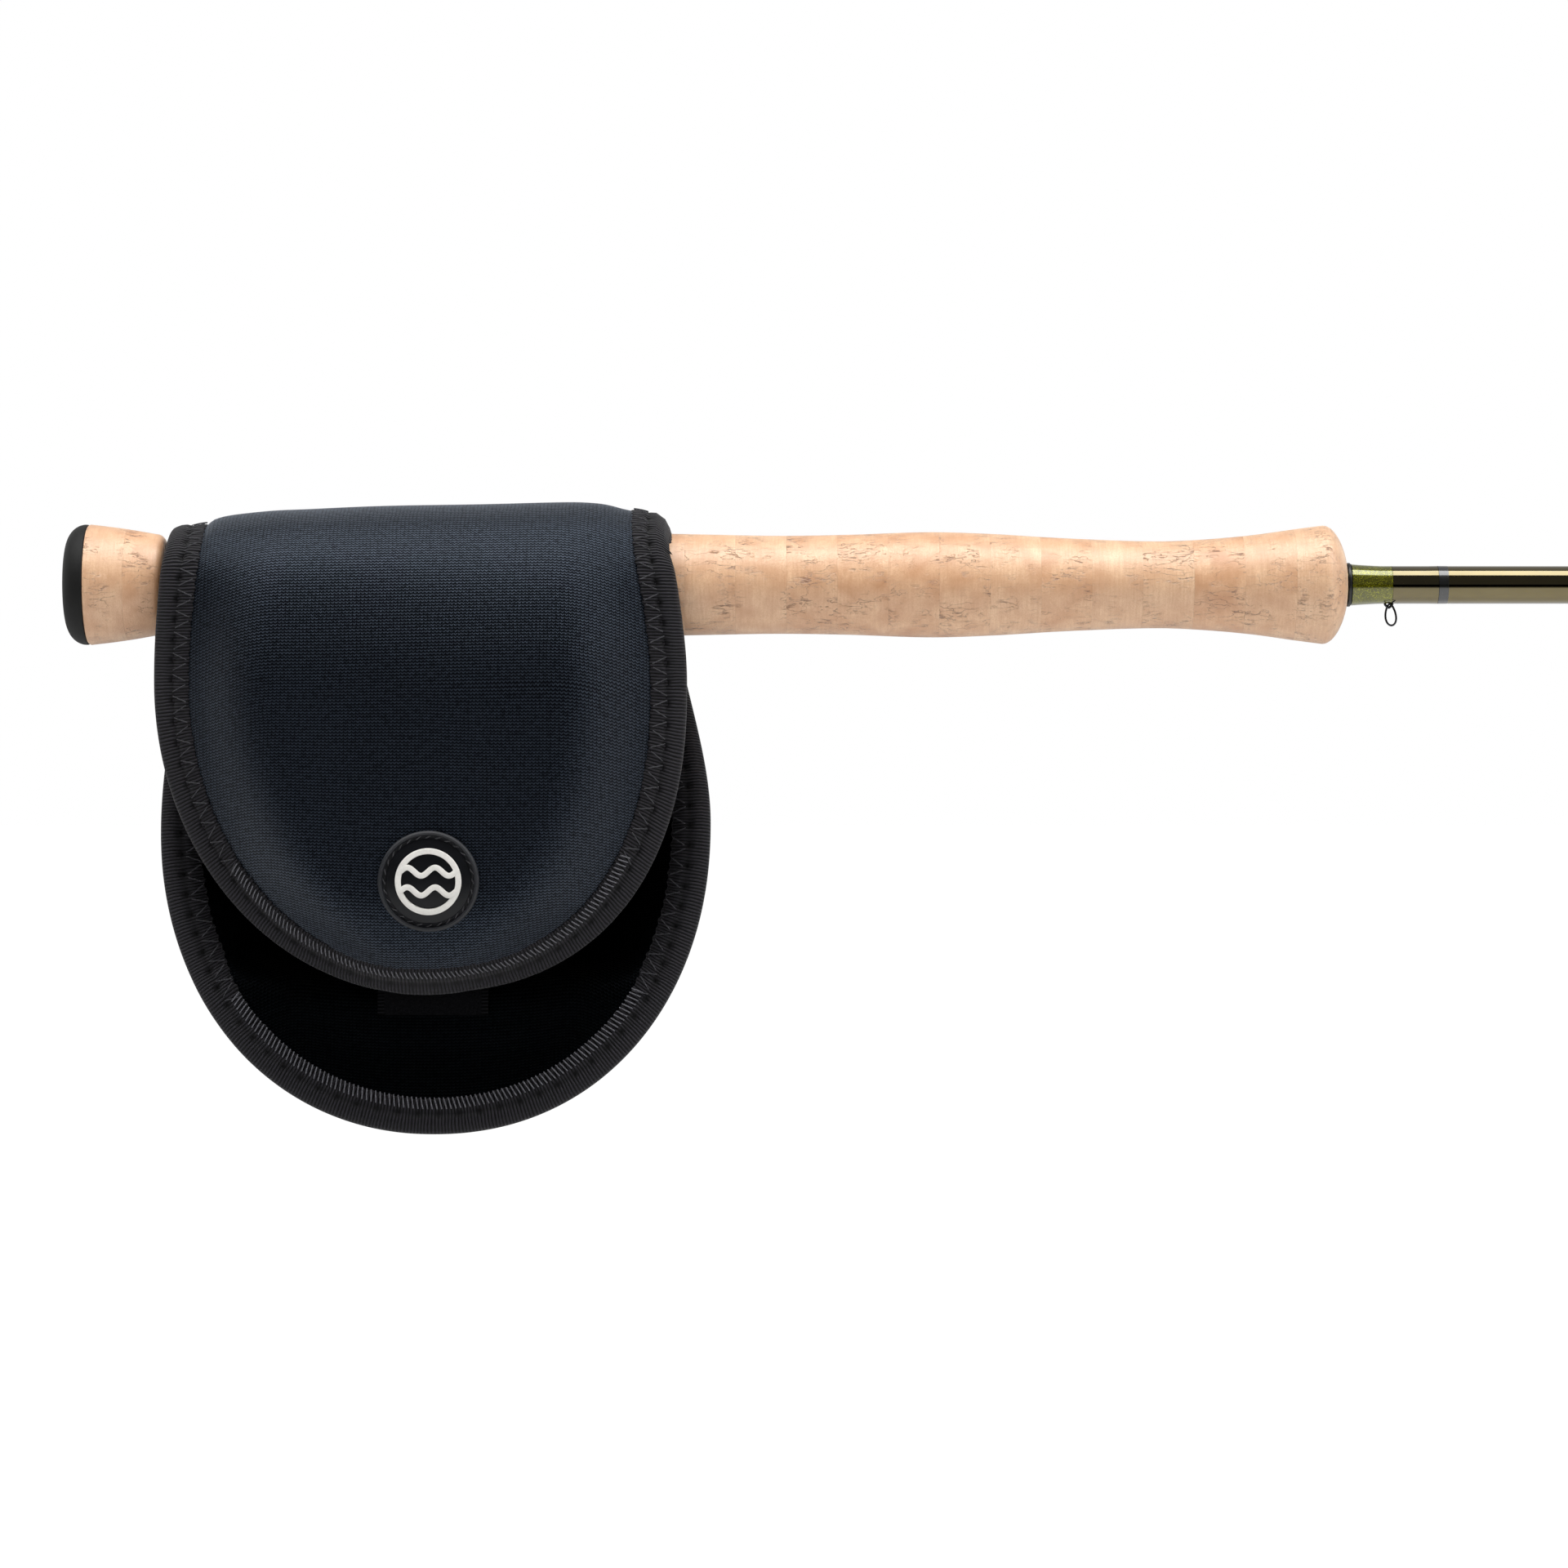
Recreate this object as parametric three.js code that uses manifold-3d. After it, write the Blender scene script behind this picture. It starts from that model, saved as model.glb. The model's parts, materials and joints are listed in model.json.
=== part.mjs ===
// A nine-foot, four-piece fly rod with its reel, carried in a folded neoprene on-rod pouch.
//
// Millimetres, +Z up. The rod lies along +X, butt at -X and tip at +X, and the reel hangs below it
// with its spindle along Y and its handle on the -Y side. The origin is on the rod's axis, at the
// middle of the cork grip. "Station" means the distance from the butt end along the rod.

import * as THREE from 'three';
import { mergeVertices } from 'three/addons/utils/BufferGeometryUtils.js';
import Module from 'manifold-3d';

const wasm = await Module();
wasm.setup();

// ---------------------------------------------------------------------------------------------
// Driving dimensions
// ---------------------------------------------------------------------------------------------

// Fits
const SEAT_GAP = 0.3; // between pieces that are seated on each other
const NEST_GAP = 0.08; // between coaxial turned pieces that are glued or wound on each other
const RUN_GAP = 0.15; // radial clearance of a turning fit
const SWEEP_GAP = 1.2; // between a moving piece and the cloth round it

// Fighting butt
const CAP_LENGTH = 5.5;
const CAP_RADIUS = 15.1;
const CAP_FLAT_RADIUS = 9;
const CAP_SPIGOT_LENGTH = 3;
const CAP_SPIGOT_RADIUS = 3.6;
const BUTT_CORK_LENGTH = 19.4;
const BUTT_CORK_END_RADIUS = 12.7;
const BUTT_CORK_LIP = 2.4; // length of the rounded edge beside the reel seat
const TURNED_EDGE = 0.3; // small edge break on a turned piece
const RING_CHAMFER = 0.6;

// Reel seat
const SEAT_LENGTH = 118;
const SEAT_RADIUS = 8.3;
const SEAT_TUBE_RADIUS = 6.4;
const SEAT_FLANGE_LENGTH = 1.7;
const SEAT_FLANGE_RADIUS = 11;
const THREAD_LENGTH = 38;
const FIXED_HOOD_LENGTH = 21.6;
const HOOD_RADIUS = 10.6;
const SLIDING_HOOD_LENGTH = 14.3;
const LOCK_RING_LENGTH = 5.4;
const HOOD_GRIP_ON_FOOT = 5.3;
const HOOD_POCKET_WALL = 1.2;
const HOOD_POCKET_SIDE = 1.8;

// Cork grip
const GRIP_LENGTH = 178;
const GRIP_REAR_RADIUS = 12.9;
const GRIP_REAR_WAIST_RADIUS = 12.3;
const GRIP_SWELL_RADIUS = 13.2;
const GRIP_WAIST_RADIUS = 11;
const GRIP_FRONT_RADIUS = 14.8;
const GRIP_NOSE_LENGTH = 5.8;

// Blank
const BLANK_BUTT_RADIUS = 4.72;
const BLANK_START = 9;
const BLANK_WALL = 0.9;
const SECTION_LENGTH = 713;
const FERRULE_OVERLAP = 36;
const FERRULE_WALL = 0.6;
const BLANK_TAPER = 0.00108; // radius lost for each millimetre of butt section
const SECTION_2_TIP_RADIUS = 2.95;
const SECTION_3_TIP_RADIUS = 1.85;
const SECTION_4_TIP_RADIUS = 0.9;
const COAT_RADIUS = 4.7;
const COAT_LENGTH = 150;

// Trim in front of the grip
const CHECK_LENGTH = 1.3;
const CHECK_RADIUS = 5.4;
const METAL_WRAP_LENGTH = 9.7;
const METAL_WRAP_REAR_RADIUS = 5.05;
const METAL_WRAP_FRONT_RADIUS = 4.62;
const PLAIN_WRAP_LENGTH = 11.5;
const PLAIN_WRAP_RADIUS = 4.56;
const BAND_LENGTH = 2.5;
const BAND_RADIUS = 4.66;

// Hook keeper
const KEEPER_WIRE_RADIUS = 0.32;
const KEEPER_EYE_RADIUS = 1.05;
const KEEPER_RING_RADIUS = 2.65;
const KEEPER_RING_TURN = 60; // degrees that the loose ring is turned from the rod's side view

// Reel
const REEL_RADIUS = 37.5;
const REEL_WIDTH = 28;
const REEL_OFFSET = 66.7; // reel centre in front of the seat's butt end
const CAGE_WALL = 2.6;
const CAGE_CHAMFER = 0.8;
const PILLAR_SPREAD = 18; // degrees of the rim that a lower pillar takes
const TOP_PILLAR_SPREAD = 48;
const FOOT_PAD_HALF_WIDTH = 9;
const VENT_ORBIT = 26;
const VENT_RADIUS = 5.6;
const BOSS_HEIGHT = 1.6;
const BOSS_WALL = 0.8;
const BACK_PLATE = 3;
const FRONT_RING = 3.2;
const FOOT_LENGTH = 72;
const FOOT_WIDTH = 13;
const FOOT_THICKNESS = 2.5;
const FOOT_TOE_THICKNESS = 1.3;
const PEDESTAL_LENGTH = 28;
const PEDESTAL_HEIGHT = 2;
const FOOT_SCREW_SPACING = 18;
const FOOT_SCREW_RADIUS = 1.5;
const FOOT_SCREW_HEAD = 0.9; // how much wider the head is than the shank
const FOOT_SCREW_SINK = 1.6; // how deep the head sits in the frame
const SPINDLE_RADIUS = 2.8;
const BEARING_WALL = 2.4;
const BEARING_WIDTH = 4;
const CLUTCH_LENGTH = 6;
const CLICK_GEAR_RADIUS = 9.6;
const CLICK_GEAR_WIDTH = 2;
const CLICK_TEETH = 20;
const PAWL_LENGTH = 4.8;
const PAWL_POST_RADIUS = 0.9;
const CLICK_SPRING_RADIUS = 0.35;
const PAWL_ANGLE = 40; // degrees round the spindle from the tip's direction
const HUB_WALL = 2;
const ARBOR_RADIUS = 20;
const ARBOR_WALL = 1.6;
const FLANGE_THICKNESS = 1.5;
const FLANGE_HOLES = 10;
const FLANGE_HOLE_RADIUS = 2.6;
const WEB_HOLES = 6;
const WEB_HOLE_RADIUS = 2.9;
const COUNTERWEIGHT_RADIUS = 4.6;
const COUNTERWEIGHT_HEIGHT = 2.4;
const COUNTERWEIGHT_CHAMFER = 0.6;
const HANDLE_ORBIT = 21;
const HANDLE_POST_RADIUS = 1.6;
const KNOB_LENGTH = 15.2;
const KNOB_RADIUS = 5;
const DRAG_DISC_RADIUS = 7.6;
const DRAG_DISC_THICKNESS = 1.4;
const DRAG_KNOB_RADIUS = 14;
const DRAG_KNOB_LENGTH = 8;
const DRAG_KNOB_LOBES = 12;
const DRAG_KNOB_GROOVE = 0.9; // depth of the grooves between the lobes
const DRAG_SPRING_RADIUS = 5;
const DRAG_SPRING_WIRE = 0.5;
const DRAG_SPRING_TURNS = 2;
const DRAG_SPRING_RISE = 2.7;
const KNOB_SCREW_RADIUS = 2;
const KNOB_SCREW_HEAD_RADIUS = 4;
const CAP_NUT_RADIUS = 7.5;
const CAP_NUT_LENGTH = 4.2;

// Pouch
const NEOPRENE = 3;
const TAPE = 0.6; // thickness of the binding tape
const BINDING_WIDTH = 8.5;
const POUCH_OFFSET = 63.8; // flap centre in front of the seat's butt end
const SHELL_SHIFT = 3.7; // shell centre in front of the flap centre
const FOLD_RADIUS = 15.9; // middle of the cloth, round the rod at the pouch's sides
const FOLD_CROWN = 2.4; // how much higher the fold stands at the middle
const FLAP_HALF_WIDTH = 66.2;
const FLAP_WAIST_HALF_WIDTH = 62;
const FLAP_WAIST_HEIGHT = 25; // where the sides stop narrowing, above the rod's axis
const FLAP_WIDEST_DROP = 25;
const FLAP_DROP = 102.7;
const SHELL_HALF_WIDTH = 68.9;
const SHELL_WAIST_HALF_WIDTH = 63;
const SHELL_WAIST_HEIGHT = -8;
const SHELL_WIDEST_DROP = 60;
const SHELL_DROP = 137.8;
const FLAP_EDGE_DEPTH = 13; // flap edge in front of the rod's axis, below the reel seat
const SHELL_EDGE_DEPTH = 10; // shell rim in front of the rod's axis, at its lowest point
const ROLL_WIDTH = 34; // how far in from its edge the cloth reaches its full depth
const PATCH_WIDTH = 27.5;
const HOOK_PATCH_HEIGHT = 7;
const LOOP_PATCH_HEIGHT = 18;
const LOOP_PATCH_SHOWS = 4.9; // how far the loop tape shows below the flap
const PATCH_THICKNESS = 1.4;
const BADGE_RADIUS = 12.4;
const BADGE_THICKNESS = 1.6;
const BADGE_RIM = 2;
const BADGE_DROP = 74.6;
const BADGE_SHIFT = 2.1; // badge centre in front of the flap centre
const MOTIF_RADIUS = 7.4;
const MOTIF_LINE = 1.5;

// Line guides
const TIP_SPACING = 115; // tip-top to the first guide
const SPACING_GROWTH = 23.5; // each spacing is this much longer than the one before it
const SNAKE_GUIDES = 7;
const SNAKE_WIRE_RADIUS = 0.5;
const SNAKE_LENGTH = 17;
const SNAKE_HEIGHT = 4.4;
const STRIPPER_RING_RADII = [8, 6];
const STRIPPER_STANCE = 17; // ring centre below the blank's surface, beyond the ring's radius
const STRIPPER_WIRE_RADIUS = 0.8;
const CERAMIC_RADIUS = 1;
const TIP_TUBE_LENGTH = 9;
const TIP_LOOP_RADIUS = 2.9;

// Fineness
const ROUND = 22; // facets round a turned piece
const SMALL_ROUND = 12; // facets round a small turned piece
const HOLE_ROUND = 10; // facets round a lightening hole
const WIRE_SIDES = 6;
const CLOTH_COLUMNS = 12; // cells across a cloth panel
const CLOTH_ROWS = 20; // cells down a cloth panel
const BOWL_STEPS = 11; // straight steps round each lower corner of a cloth panel

// ---------------------------------------------------------------------------------------------
// Derived places
// ---------------------------------------------------------------------------------------------

const seatStart = CAP_LENGTH + BUTT_CORK_LENGTH;
const gripStart = seatStart + SEAT_LENGTH;
const gripEnd = gripStart + GRIP_LENGTH;
const originStation = gripStart + GRIP_LENGTH / 2;
const reelX = seatStart + REEL_OFFSET - originStation;
const pouchX = seatStart + POUCH_OFFSET - originStation;

const footTop = SEAT_RADIUS + SEAT_GAP;
const pedestalBottom = footTop + FOOT_THICKNESS + PEDESTAL_HEIGHT;
const reelZ = -(pedestalBottom + SEAT_GAP + REEL_RADIUS);
const reelHalf = REEL_WIDTH / 2;
const cageInner = REEL_RADIUS - CAGE_WALL;

const hubBore = SPINDLE_RADIUS + RUN_GAP + BEARING_WALL + RUN_GAP;
const hubRadius = hubBore + HUB_WALL;
const spoolRadius = cageInner - 0.7;
const spoolFront = -reelHalf + 1.5;
const spoolBack = reelHalf - BACK_PLATE - 1.5;
const handleFront = spoolFront - SEAT_GAP - RUN_GAP - KNOB_LENGTH - 1;

const bindingHalf = NEOPRENE / 2 + SEAT_GAP + TAPE;
const flapDepth = -handleFront + SWEEP_GAP + NEOPRENE / 2;
const shellDepth = reelHalf + SEAT_GAP + DRAG_KNOB_LENGTH + SWEEP_GAP + NEOPRENE;
const hingeZ = FOLD_RADIUS + FOLD_CROWN / 2;

/** X of a station along the rod. */
const at = (station) => station - originStation;

/** Degrees to radians. */
const rad = (degrees) => THREE.MathUtils.degToRad(degrees);

// ---------------------------------------------------------------------------------------------
// Solids
// ---------------------------------------------------------------------------------------------

/** The manifold solid of a closed geometry, whichever way its faces point. */
function solidOf(geometry) {
  geometry.deleteAttribute('normal');
  geometry.deleteAttribute('uv');
  const merged = mergeVertices(geometry, 1e-4);
  const place = merged.getAttribute('position').array;
  const triangles = [];
  let volume = 0;
  const corner = (i) => new THREE.Vector3(place[3 * i], place[3 * i + 1], place[3 * i + 2]);
  for (let i = 0; i < merged.index.count; i += 3) {
    const [a, b, c] = [0, 1, 2].map((k) => merged.index.getX(i + k));
    if (a === b || b === c || c === a) continue;
    triangles.push(a, b, c);
    volume += corner(a).dot(corner(b).cross(corner(c)));
  }
  if (volume < 0) triangles.reverse();
  const mesh = new wasm.Mesh({
    numProp: 3,
    vertProperties: new Float32Array(place),
    triVerts: new Uint32Array(triangles),
  });
  return new wasm.Manifold(mesh);
}

/** The three.js geometry of a manifold solid. */
function geometryOf(solid) {
  const { vertProperties, triVerts } = solid.getMesh();
  const geometry = new THREE.BufferGeometry();
  geometry.setAttribute('position', new THREE.BufferAttribute(new Float32Array(vertProperties), 3));
  geometry.setIndex(new THREE.BufferAttribute(new Uint32Array(triVerts), 1));
  geometry.computeVertexNormals();
  return geometry;
}

/** One solid made of several. */
const join = (...solids) => solids.reduce((whole, next) => whole.add(next));

/** A solid with others taken out of it. */
const cut = (solid, ...tools) => tools.reduce((whole, tool) => whole.subtract(tool), solid);

/** A solid turned round the rod's direction: the profile lists [x, radius]. */
function turnedX(profile, facets = ROUND) {
  const points = profile.map(([x, radius]) => new THREE.Vector2(radius, x));
  return solidOf(new THREE.LatheGeometry(points, facets).rotateZ(-Math.PI / 2));
}

/** A solid turned round the reel's spindle direction, at the reel's centre: the profile lists [y, radius]. */
function turnedY(profile, facets = ROUND, x = reelX, z = reelZ) {
  const points = profile.map(([y, radius]) => new THREE.Vector2(radius, y));
  return solidOf(new THREE.LatheGeometry(points, facets).translate(x, 0, z));
}

/** A tube's profile, from one end to the other, closed on itself. */
const tube = (start, end, inner, outer) => [
  [start, inner],
  [end, inner],
  [end, outer],
  [start, outer],
  [start, inner],
];

/** A rod's profile, from axis to axis. */
const bar = (start, end, radius) => [
  [start, 0],
  [start, radius],
  [end, radius],
  [end, 0],
];

/** A box between two corners. */
function block([x0, y0, z0], [x1, y1, z1]) {
  const geometry = new THREE.BoxGeometry(x1 - x0, y1 - y0, z1 - z0);
  return solidOf(geometry.translate((x0 + x1) / 2, (y0 + y1) / 2, (z0 + z1) / 2));
}

/** A round pin along Z. */
function pinZ(x, y, z0, z1, radius) {
  const geometry = new THREE.CylinderGeometry(radius, radius, z1 - z0, SMALL_ROUND);
  return solidOf(geometry.rotateX(Math.PI / 2).translate(x, y, (z0 + z1) / 2));
}

/** A round pin along Y. */
function pinY(x, z, y0, y1, radius, facets = SMALL_ROUND) {
  const geometry = new THREE.CylinderGeometry(radius, radius, y1 - y0, facets);
  return solidOf(geometry.translate(x, (y0 + y1) / 2, z));
}

/** An outline in X and Z, pushed through Y from y0 to y1. */
function plate(outline, y0, y1) {
  const shape = new THREE.Shape(outline.map(([x, z]) => new THREE.Vector2(x, z)));
  const geometry = new THREE.ExtrudeGeometry(shape, { depth: y1 - y0, bevelEnabled: false });
  return solidOf(geometry.rotateX(Math.PI / 2).translate(0, y1, 0));
}

/** A round wire along a curve. */
function wire(curve, radius, steps, sides = WIRE_SIDES) {
  const section = new THREE.Shape();
  section.absarc(0, 0, radius, 0, 2 * Math.PI);
  const options = { steps, curveSegments: sides / 2, extrudePath: curve, bevelEnabled: false };
  return solidOf(new THREE.ExtrudeGeometry(section, options));
}

/** A wire ring about the X axis through a centre, turned about Z by some degrees. */
function wireRing(x, z, radius, wireRadius, turn = 0, facets = 18) {
  const geometry = new THREE.TorusGeometry(radius, wireRadius, WIRE_SIDES, facets);
  return solidOf(geometry.rotateY(Math.PI / 2).rotateZ(rad(turn)).translate(x, 0, z));
}

/** A smooth curve through points given as [x, y, z]. */
const curveThrough = (points) => new THREE.CatmullRomCurve3(points.map((p) => new THREE.Vector3(...p)));

/** A smooth step from 0 to 1. */
const ease = (t) => THREE.MathUtils.smootherstep(t, 0, 1);

// ---------------------------------------------------------------------------------------------
// Materials and the object
// ---------------------------------------------------------------------------------------------

const finish = (color, roughness, metalness = 0) =>
  new THREE.MeshStandardMaterial({ color, roughness, metalness });

const FINISHES = {
  rubber: finish('#2b2d2f', 0.8),
  cork: finish('#dcb385', 0.75),
  gunmetal: finish('#3c3f44', 0.35, 0.9),
  silver: finish('#b9bdc2', 0.3, 1),
  wood: finish('#5a3420', 0.4),
  blank: finish('#55563a', 0.15),
  wrap: finish('#6d6a3a', 0.25),
  flake: finish('#8f8a2c', 0.3, 0.5),
  black: finish('#0c0c0d', 0.4),
  steel: finish('#9a9da1', 0.3, 1),
  cloth: finish('#1c2129', 0.9),
  binding: finish('#2c2e33', 0.85),
  badge: finish('#3a3c40', 0.6),
  motif: finish('#e8e6e0', 0.6),
  patch: finish('#0a0b0c', 0.95),
  ceramic: finish('#d8d4cc', 0.15),
  carbon: finish('#1a1a1b', 0.5),
};

const rodAndReel = new THREE.Group();

/** Adds one named piece to the object. */
function piece(name, solid, material) {
  const mesh = new THREE.Mesh(geometryOf(solid), FINISHES[material]);
  mesh.name = name;
  rodAndReel.add(mesh);
}

// ---------------------------------------------------------------------------------------------
// Blank sections: each one's sleeve slips over the end of the section before it
// ---------------------------------------------------------------------------------------------

const buttTipRadius = BLANK_BUTT_RADIUS - BLANK_TAPER * (SECTION_LENGTH - BLANK_START);

const SECTIONS = [];
for (const tipRadius of [buttTipRadius, SECTION_2_TIP_RADIUS, SECTION_3_TIP_RADIUS, SECTION_4_TIP_RADIUS]) {
  const before = SECTIONS.at(-1);
  const start = before ? before.end - FERRULE_OVERLAP : BLANK_START;
  const end = before ? start + SECTION_LENGTH : SECTION_LENGTH;
  const socket = before ? before.tipRadius + NEST_GAP : 0;
  const baseRadius = before ? socket + FERRULE_WALL : BLANK_BUTT_RADIUS;
  SECTIONS.push({ start, end, socket, baseRadius, tipRadius });
}
const rodLength = SECTIONS.at(-1).end;

/** Outer radius of a section at a station. The end that enters the next sleeve runs straight. */
function sectionRadius(section, station) {
  const straight = section === SECTIONS.at(-1) ? 0 : FERRULE_OVERLAP;
  const t = (station - section.start) / (section.end - straight - section.start);
  return THREE.MathUtils.lerp(section.baseRadius, section.tipRadius, THREE.MathUtils.clamp(t, 0, 1));
}

/** Outer radius of the whole rod at a station. */
function rodRadius(station) {
  const section = SECTIONS.findLast((candidate) => station >= candidate.start) ?? SECTIONS[0];
  return sectionRadius(section, station);
}

/** A hollow blank section, with its socket and with any raised coat given as [start, end, radius]. */
function blankSection(section, coat) {
  const { start, end, socket, baseRadius, tipRadius } = section;
  const straight = section === SECTIONS.at(-1) ? 0 : FERRULE_OVERLAP;
  const wall = Math.min(BLANK_WALL, tipRadius * 0.45);
  const taperEnd = end - straight;
  const outer = [[at(start), baseRadius]];
  if (coat) {
    const [coatStart, coatEnd, coatRadius] = coat;
    outer.push([at(coatStart), sectionRadius(section, coatStart)], [at(coatStart), coatRadius]);
    outer.push([at(coatEnd - 4), coatRadius], [at(coatEnd), sectionRadius(section, coatEnd)]);
  }
  outer.push([at(taperEnd), tipRadius]);
  if (straight) outer.push([at(end), tipRadius]);
  const inner = [[at(end), tipRadius - wall]];
  if (socket) {
    const socketEnd = start + FERRULE_OVERLAP + SEAT_GAP;
    inner.push([at(socketEnd + 2), Math.min(socket - wall / 2, sectionRadius(section, socketEnd) - wall)]);
    inner.push([at(socketEnd), socket], [at(start), socket]);
  } else {
    inner.push([at(start), baseRadius - wall]);
  }
  return turnedX([...outer, ...inner, [at(start), baseRadius]], SMALL_ROUND);
}

// ---------------------------------------------------------------------------------------------
// Handle: fighting butt, reel seat and grip
// ---------------------------------------------------------------------------------------------

function addFightingButt() {
  const end = CAP_LENGTH;
  const domeLength = end - RING_CHAMFER;
  const dome = [
    [0, 0],
    ...[0, 22, 45, 68, 90].map((angle) => [
      domeLength * (1 - Math.cos(rad(angle))),
      CAP_FLAT_RADIUS + (CAP_RADIUS - CAP_FLAT_RADIUS) * Math.sin(rad(angle)),
    ]),
    [end, CAP_RADIUS - TURNED_EDGE],
    [end, CAP_SPIGOT_RADIUS],
    [end + CAP_SPIGOT_LENGTH, CAP_SPIGOT_RADIUS],
    [end + CAP_SPIGOT_LENGTH, 0],
  ];
  piece('butt_cap', turnedX(dome.map(([s, radius]) => [at(s), radius])), 'rubber');

  const start = end + NEST_GAP;
  const stop = seatStart;
  const bore = BLANK_BUTT_RADIUS + SEAT_GAP;
  const cork = [
    [start, bore],
    [stop, bore],
    [stop, BUTT_CORK_END_RADIUS - BUTT_CORK_LIP],
    [stop - BUTT_CORK_LIP * 0.35, BUTT_CORK_END_RADIUS - BUTT_CORK_LIP * 0.25],
    [stop - BUTT_CORK_LIP, BUTT_CORK_END_RADIUS],
    [start + RING_CHAMFER, CAP_RADIUS],
    [start, CAP_RADIUS - TURNED_EDGE],
    [start, bore],
  ];
  piece('butt_cork', turnedX(cork.map(([s, radius]) => [at(s), radius])), 'cork');
}

const threadEnd = seatStart + THREAD_LENGTH;
const fixedHoodStart = gripStart - FIXED_HOOD_LENGTH;
const footStart = seatStart + REEL_OFFSET - FOOT_LENGTH / 2;
const slidingHoodEnd = footStart + HOOD_GRIP_ON_FOOT;
const slidingHoodStart = slidingHoodEnd - SLIDING_HOOD_LENGTH;
const seatTubeBore = BLANK_BUTT_RADIUS + SEAT_GAP;

/** The reel foot's blade: a curved strip under the seat, thinner towards its toes. */
function footBlade(extra = 0) {
  const [start, end] = [at(footStart) - extra, at(footStart + FOOT_LENGTH) + extra];
  const inner = footTop - extra;
  const toe = footTop + FOOT_TOE_THICKNESS + extra;
  const middle = footTop + FOOT_THICKNESS + extra;
  const strip = turnedX([
    [start, inner],
    [end, inner],
    [end, toe],
    [reelX + PEDESTAL_LENGTH / 2, middle],
    [reelX - PEDESTAL_LENGTH / 2, middle],
    [start, toe],
    [start, inner],
  ]);
  const half = FOOT_WIDTH / 2 + extra;
  return strip.intersect(block([start - 1, -half, -2 * HOOD_RADIUS], [end + 1, half, 0]));
}

function addReelSeat() {
  const barrel = [
    [seatStart + SEAT_GAP, seatTubeBore],
    [gripStart - SEAT_GAP, seatTubeBore],
    [gripStart - SEAT_GAP, SEAT_TUBE_RADIUS],
    [threadEnd, SEAT_TUBE_RADIUS],
    [threadEnd, SEAT_RADIUS],
    [seatStart + SEAT_FLANGE_LENGTH, SEAT_RADIUS],
    [seatStart + SEAT_FLANGE_LENGTH, SEAT_FLANGE_RADIUS],
    [seatStart + SEAT_GAP, SEAT_FLANGE_RADIUS],
    [seatStart + SEAT_GAP, seatTubeBore],
  ];
  piece('seat_barrel', turnedX(barrel.map(([s, radius]) => [at(s), radius])), 'gunmetal');

  const insertBore = SEAT_TUBE_RADIUS + NEST_GAP;
  const insert = tube(at(threadEnd + SEAT_GAP), at(fixedHoodStart - SEAT_GAP), insertBore, SEAT_RADIUS);
  piece('seat_insert', turnedX(insert), 'wood');

  const footRoom = footBlade(SEAT_GAP);
  const pocketDepth = footTop + FOOT_THICKNESS + SEAT_GAP + HOOD_POCKET_WALL;
  const hood = (start, end, bore) => {
    const ring = turnedX(tube(at(start), at(end), bore, HOOD_RADIUS));
    const half = FOOT_WIDTH / 2 + HOOD_POCKET_SIDE;
    const bulge = turnedX(tube(at(start), at(end), bore, pocketDepth));
    const lower = block([at(start) - 1, -half, -2 * HOOD_RADIUS], [at(end) + 1, half, 0]);
    return join(ring, bulge.intersect(lower));
  };
  const fixed = hood(fixedHoodStart, gripStart - SEAT_GAP, insertBore);
  piece('fixed_hood', cut(fixed, footRoom), 'gunmetal');

  const ringBore = SEAT_RADIUS + RUN_GAP;
  const sliding = hood(slidingHoodStart, slidingHoodEnd, ringBore);
  piece('sliding_hood', cut(sliding, footRoom), 'gunmetal');

  ['lock_ring', 'jam_ring'].forEach((name, index) => {
    const end = slidingHoodStart - SEAT_GAP - index * (LOCK_RING_LENGTH + SEAT_GAP);
    const start = end - LOCK_RING_LENGTH;
    const ring = [
      [start, ringBore],
      [end, ringBore],
      [end, HOOD_RADIUS - RING_CHAMFER],
      [end - RING_CHAMFER, HOOD_RADIUS],
      [start + RING_CHAMFER, HOOD_RADIUS],
      [start, HOOD_RADIUS - RING_CHAMFER],
      [start, ringBore],
    ];
    piece(name, turnedX(ring.map(([s, radius]) => [at(s), radius])), 'gunmetal');
  });
}

function addGrip() {
  const bore = BLANK_BUTT_RADIUS + SEAT_GAP;
  const nose = gripEnd - GRIP_NOSE_LENGTH;
  const along = (share) => gripStart + share * GRIP_LENGTH;
  const shoulders = [
    [gripStart, GRIP_REAR_RADIUS],
    [along(0.18), GRIP_REAR_WAIST_RADIUS],
    [along(0.42), GRIP_SWELL_RADIUS],
    [along(0.72), GRIP_WAIST_RADIUS],
    [along(0.89), (GRIP_WAIST_RADIUS + GRIP_FRONT_RADIUS) / 2],
    [nose, GRIP_FRONT_RADIUS],
  ];
  const side = new THREE.SplineCurve(shoulders.map(([s, radius]) => new THREE.Vector2(at(s), radius)));
  const profile = side.getPoints(11).map((point) => [point.x, point.y]);
  const round = [20, 40, 60, 80].map((angle) => [
    at(nose + GRIP_NOSE_LENGTH * Math.sin(rad(angle))),
    CHECK_RADIUS + (GRIP_FRONT_RADIUS - CHECK_RADIUS) * Math.cos(rad(angle)) ** 0.8,
  ]);
  const face = [
    [at(gripEnd), CHECK_RADIUS + 0.6],
    [at(gripEnd), bore],
    [at(gripStart), bore],
    profile[0],
  ];
  piece('cork_grip', turnedX([...profile, ...round, ...face]), 'cork');
}

// ---------------------------------------------------------------------------------------------
// Rod: blank, trim and hook keeper
// ---------------------------------------------------------------------------------------------

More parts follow.
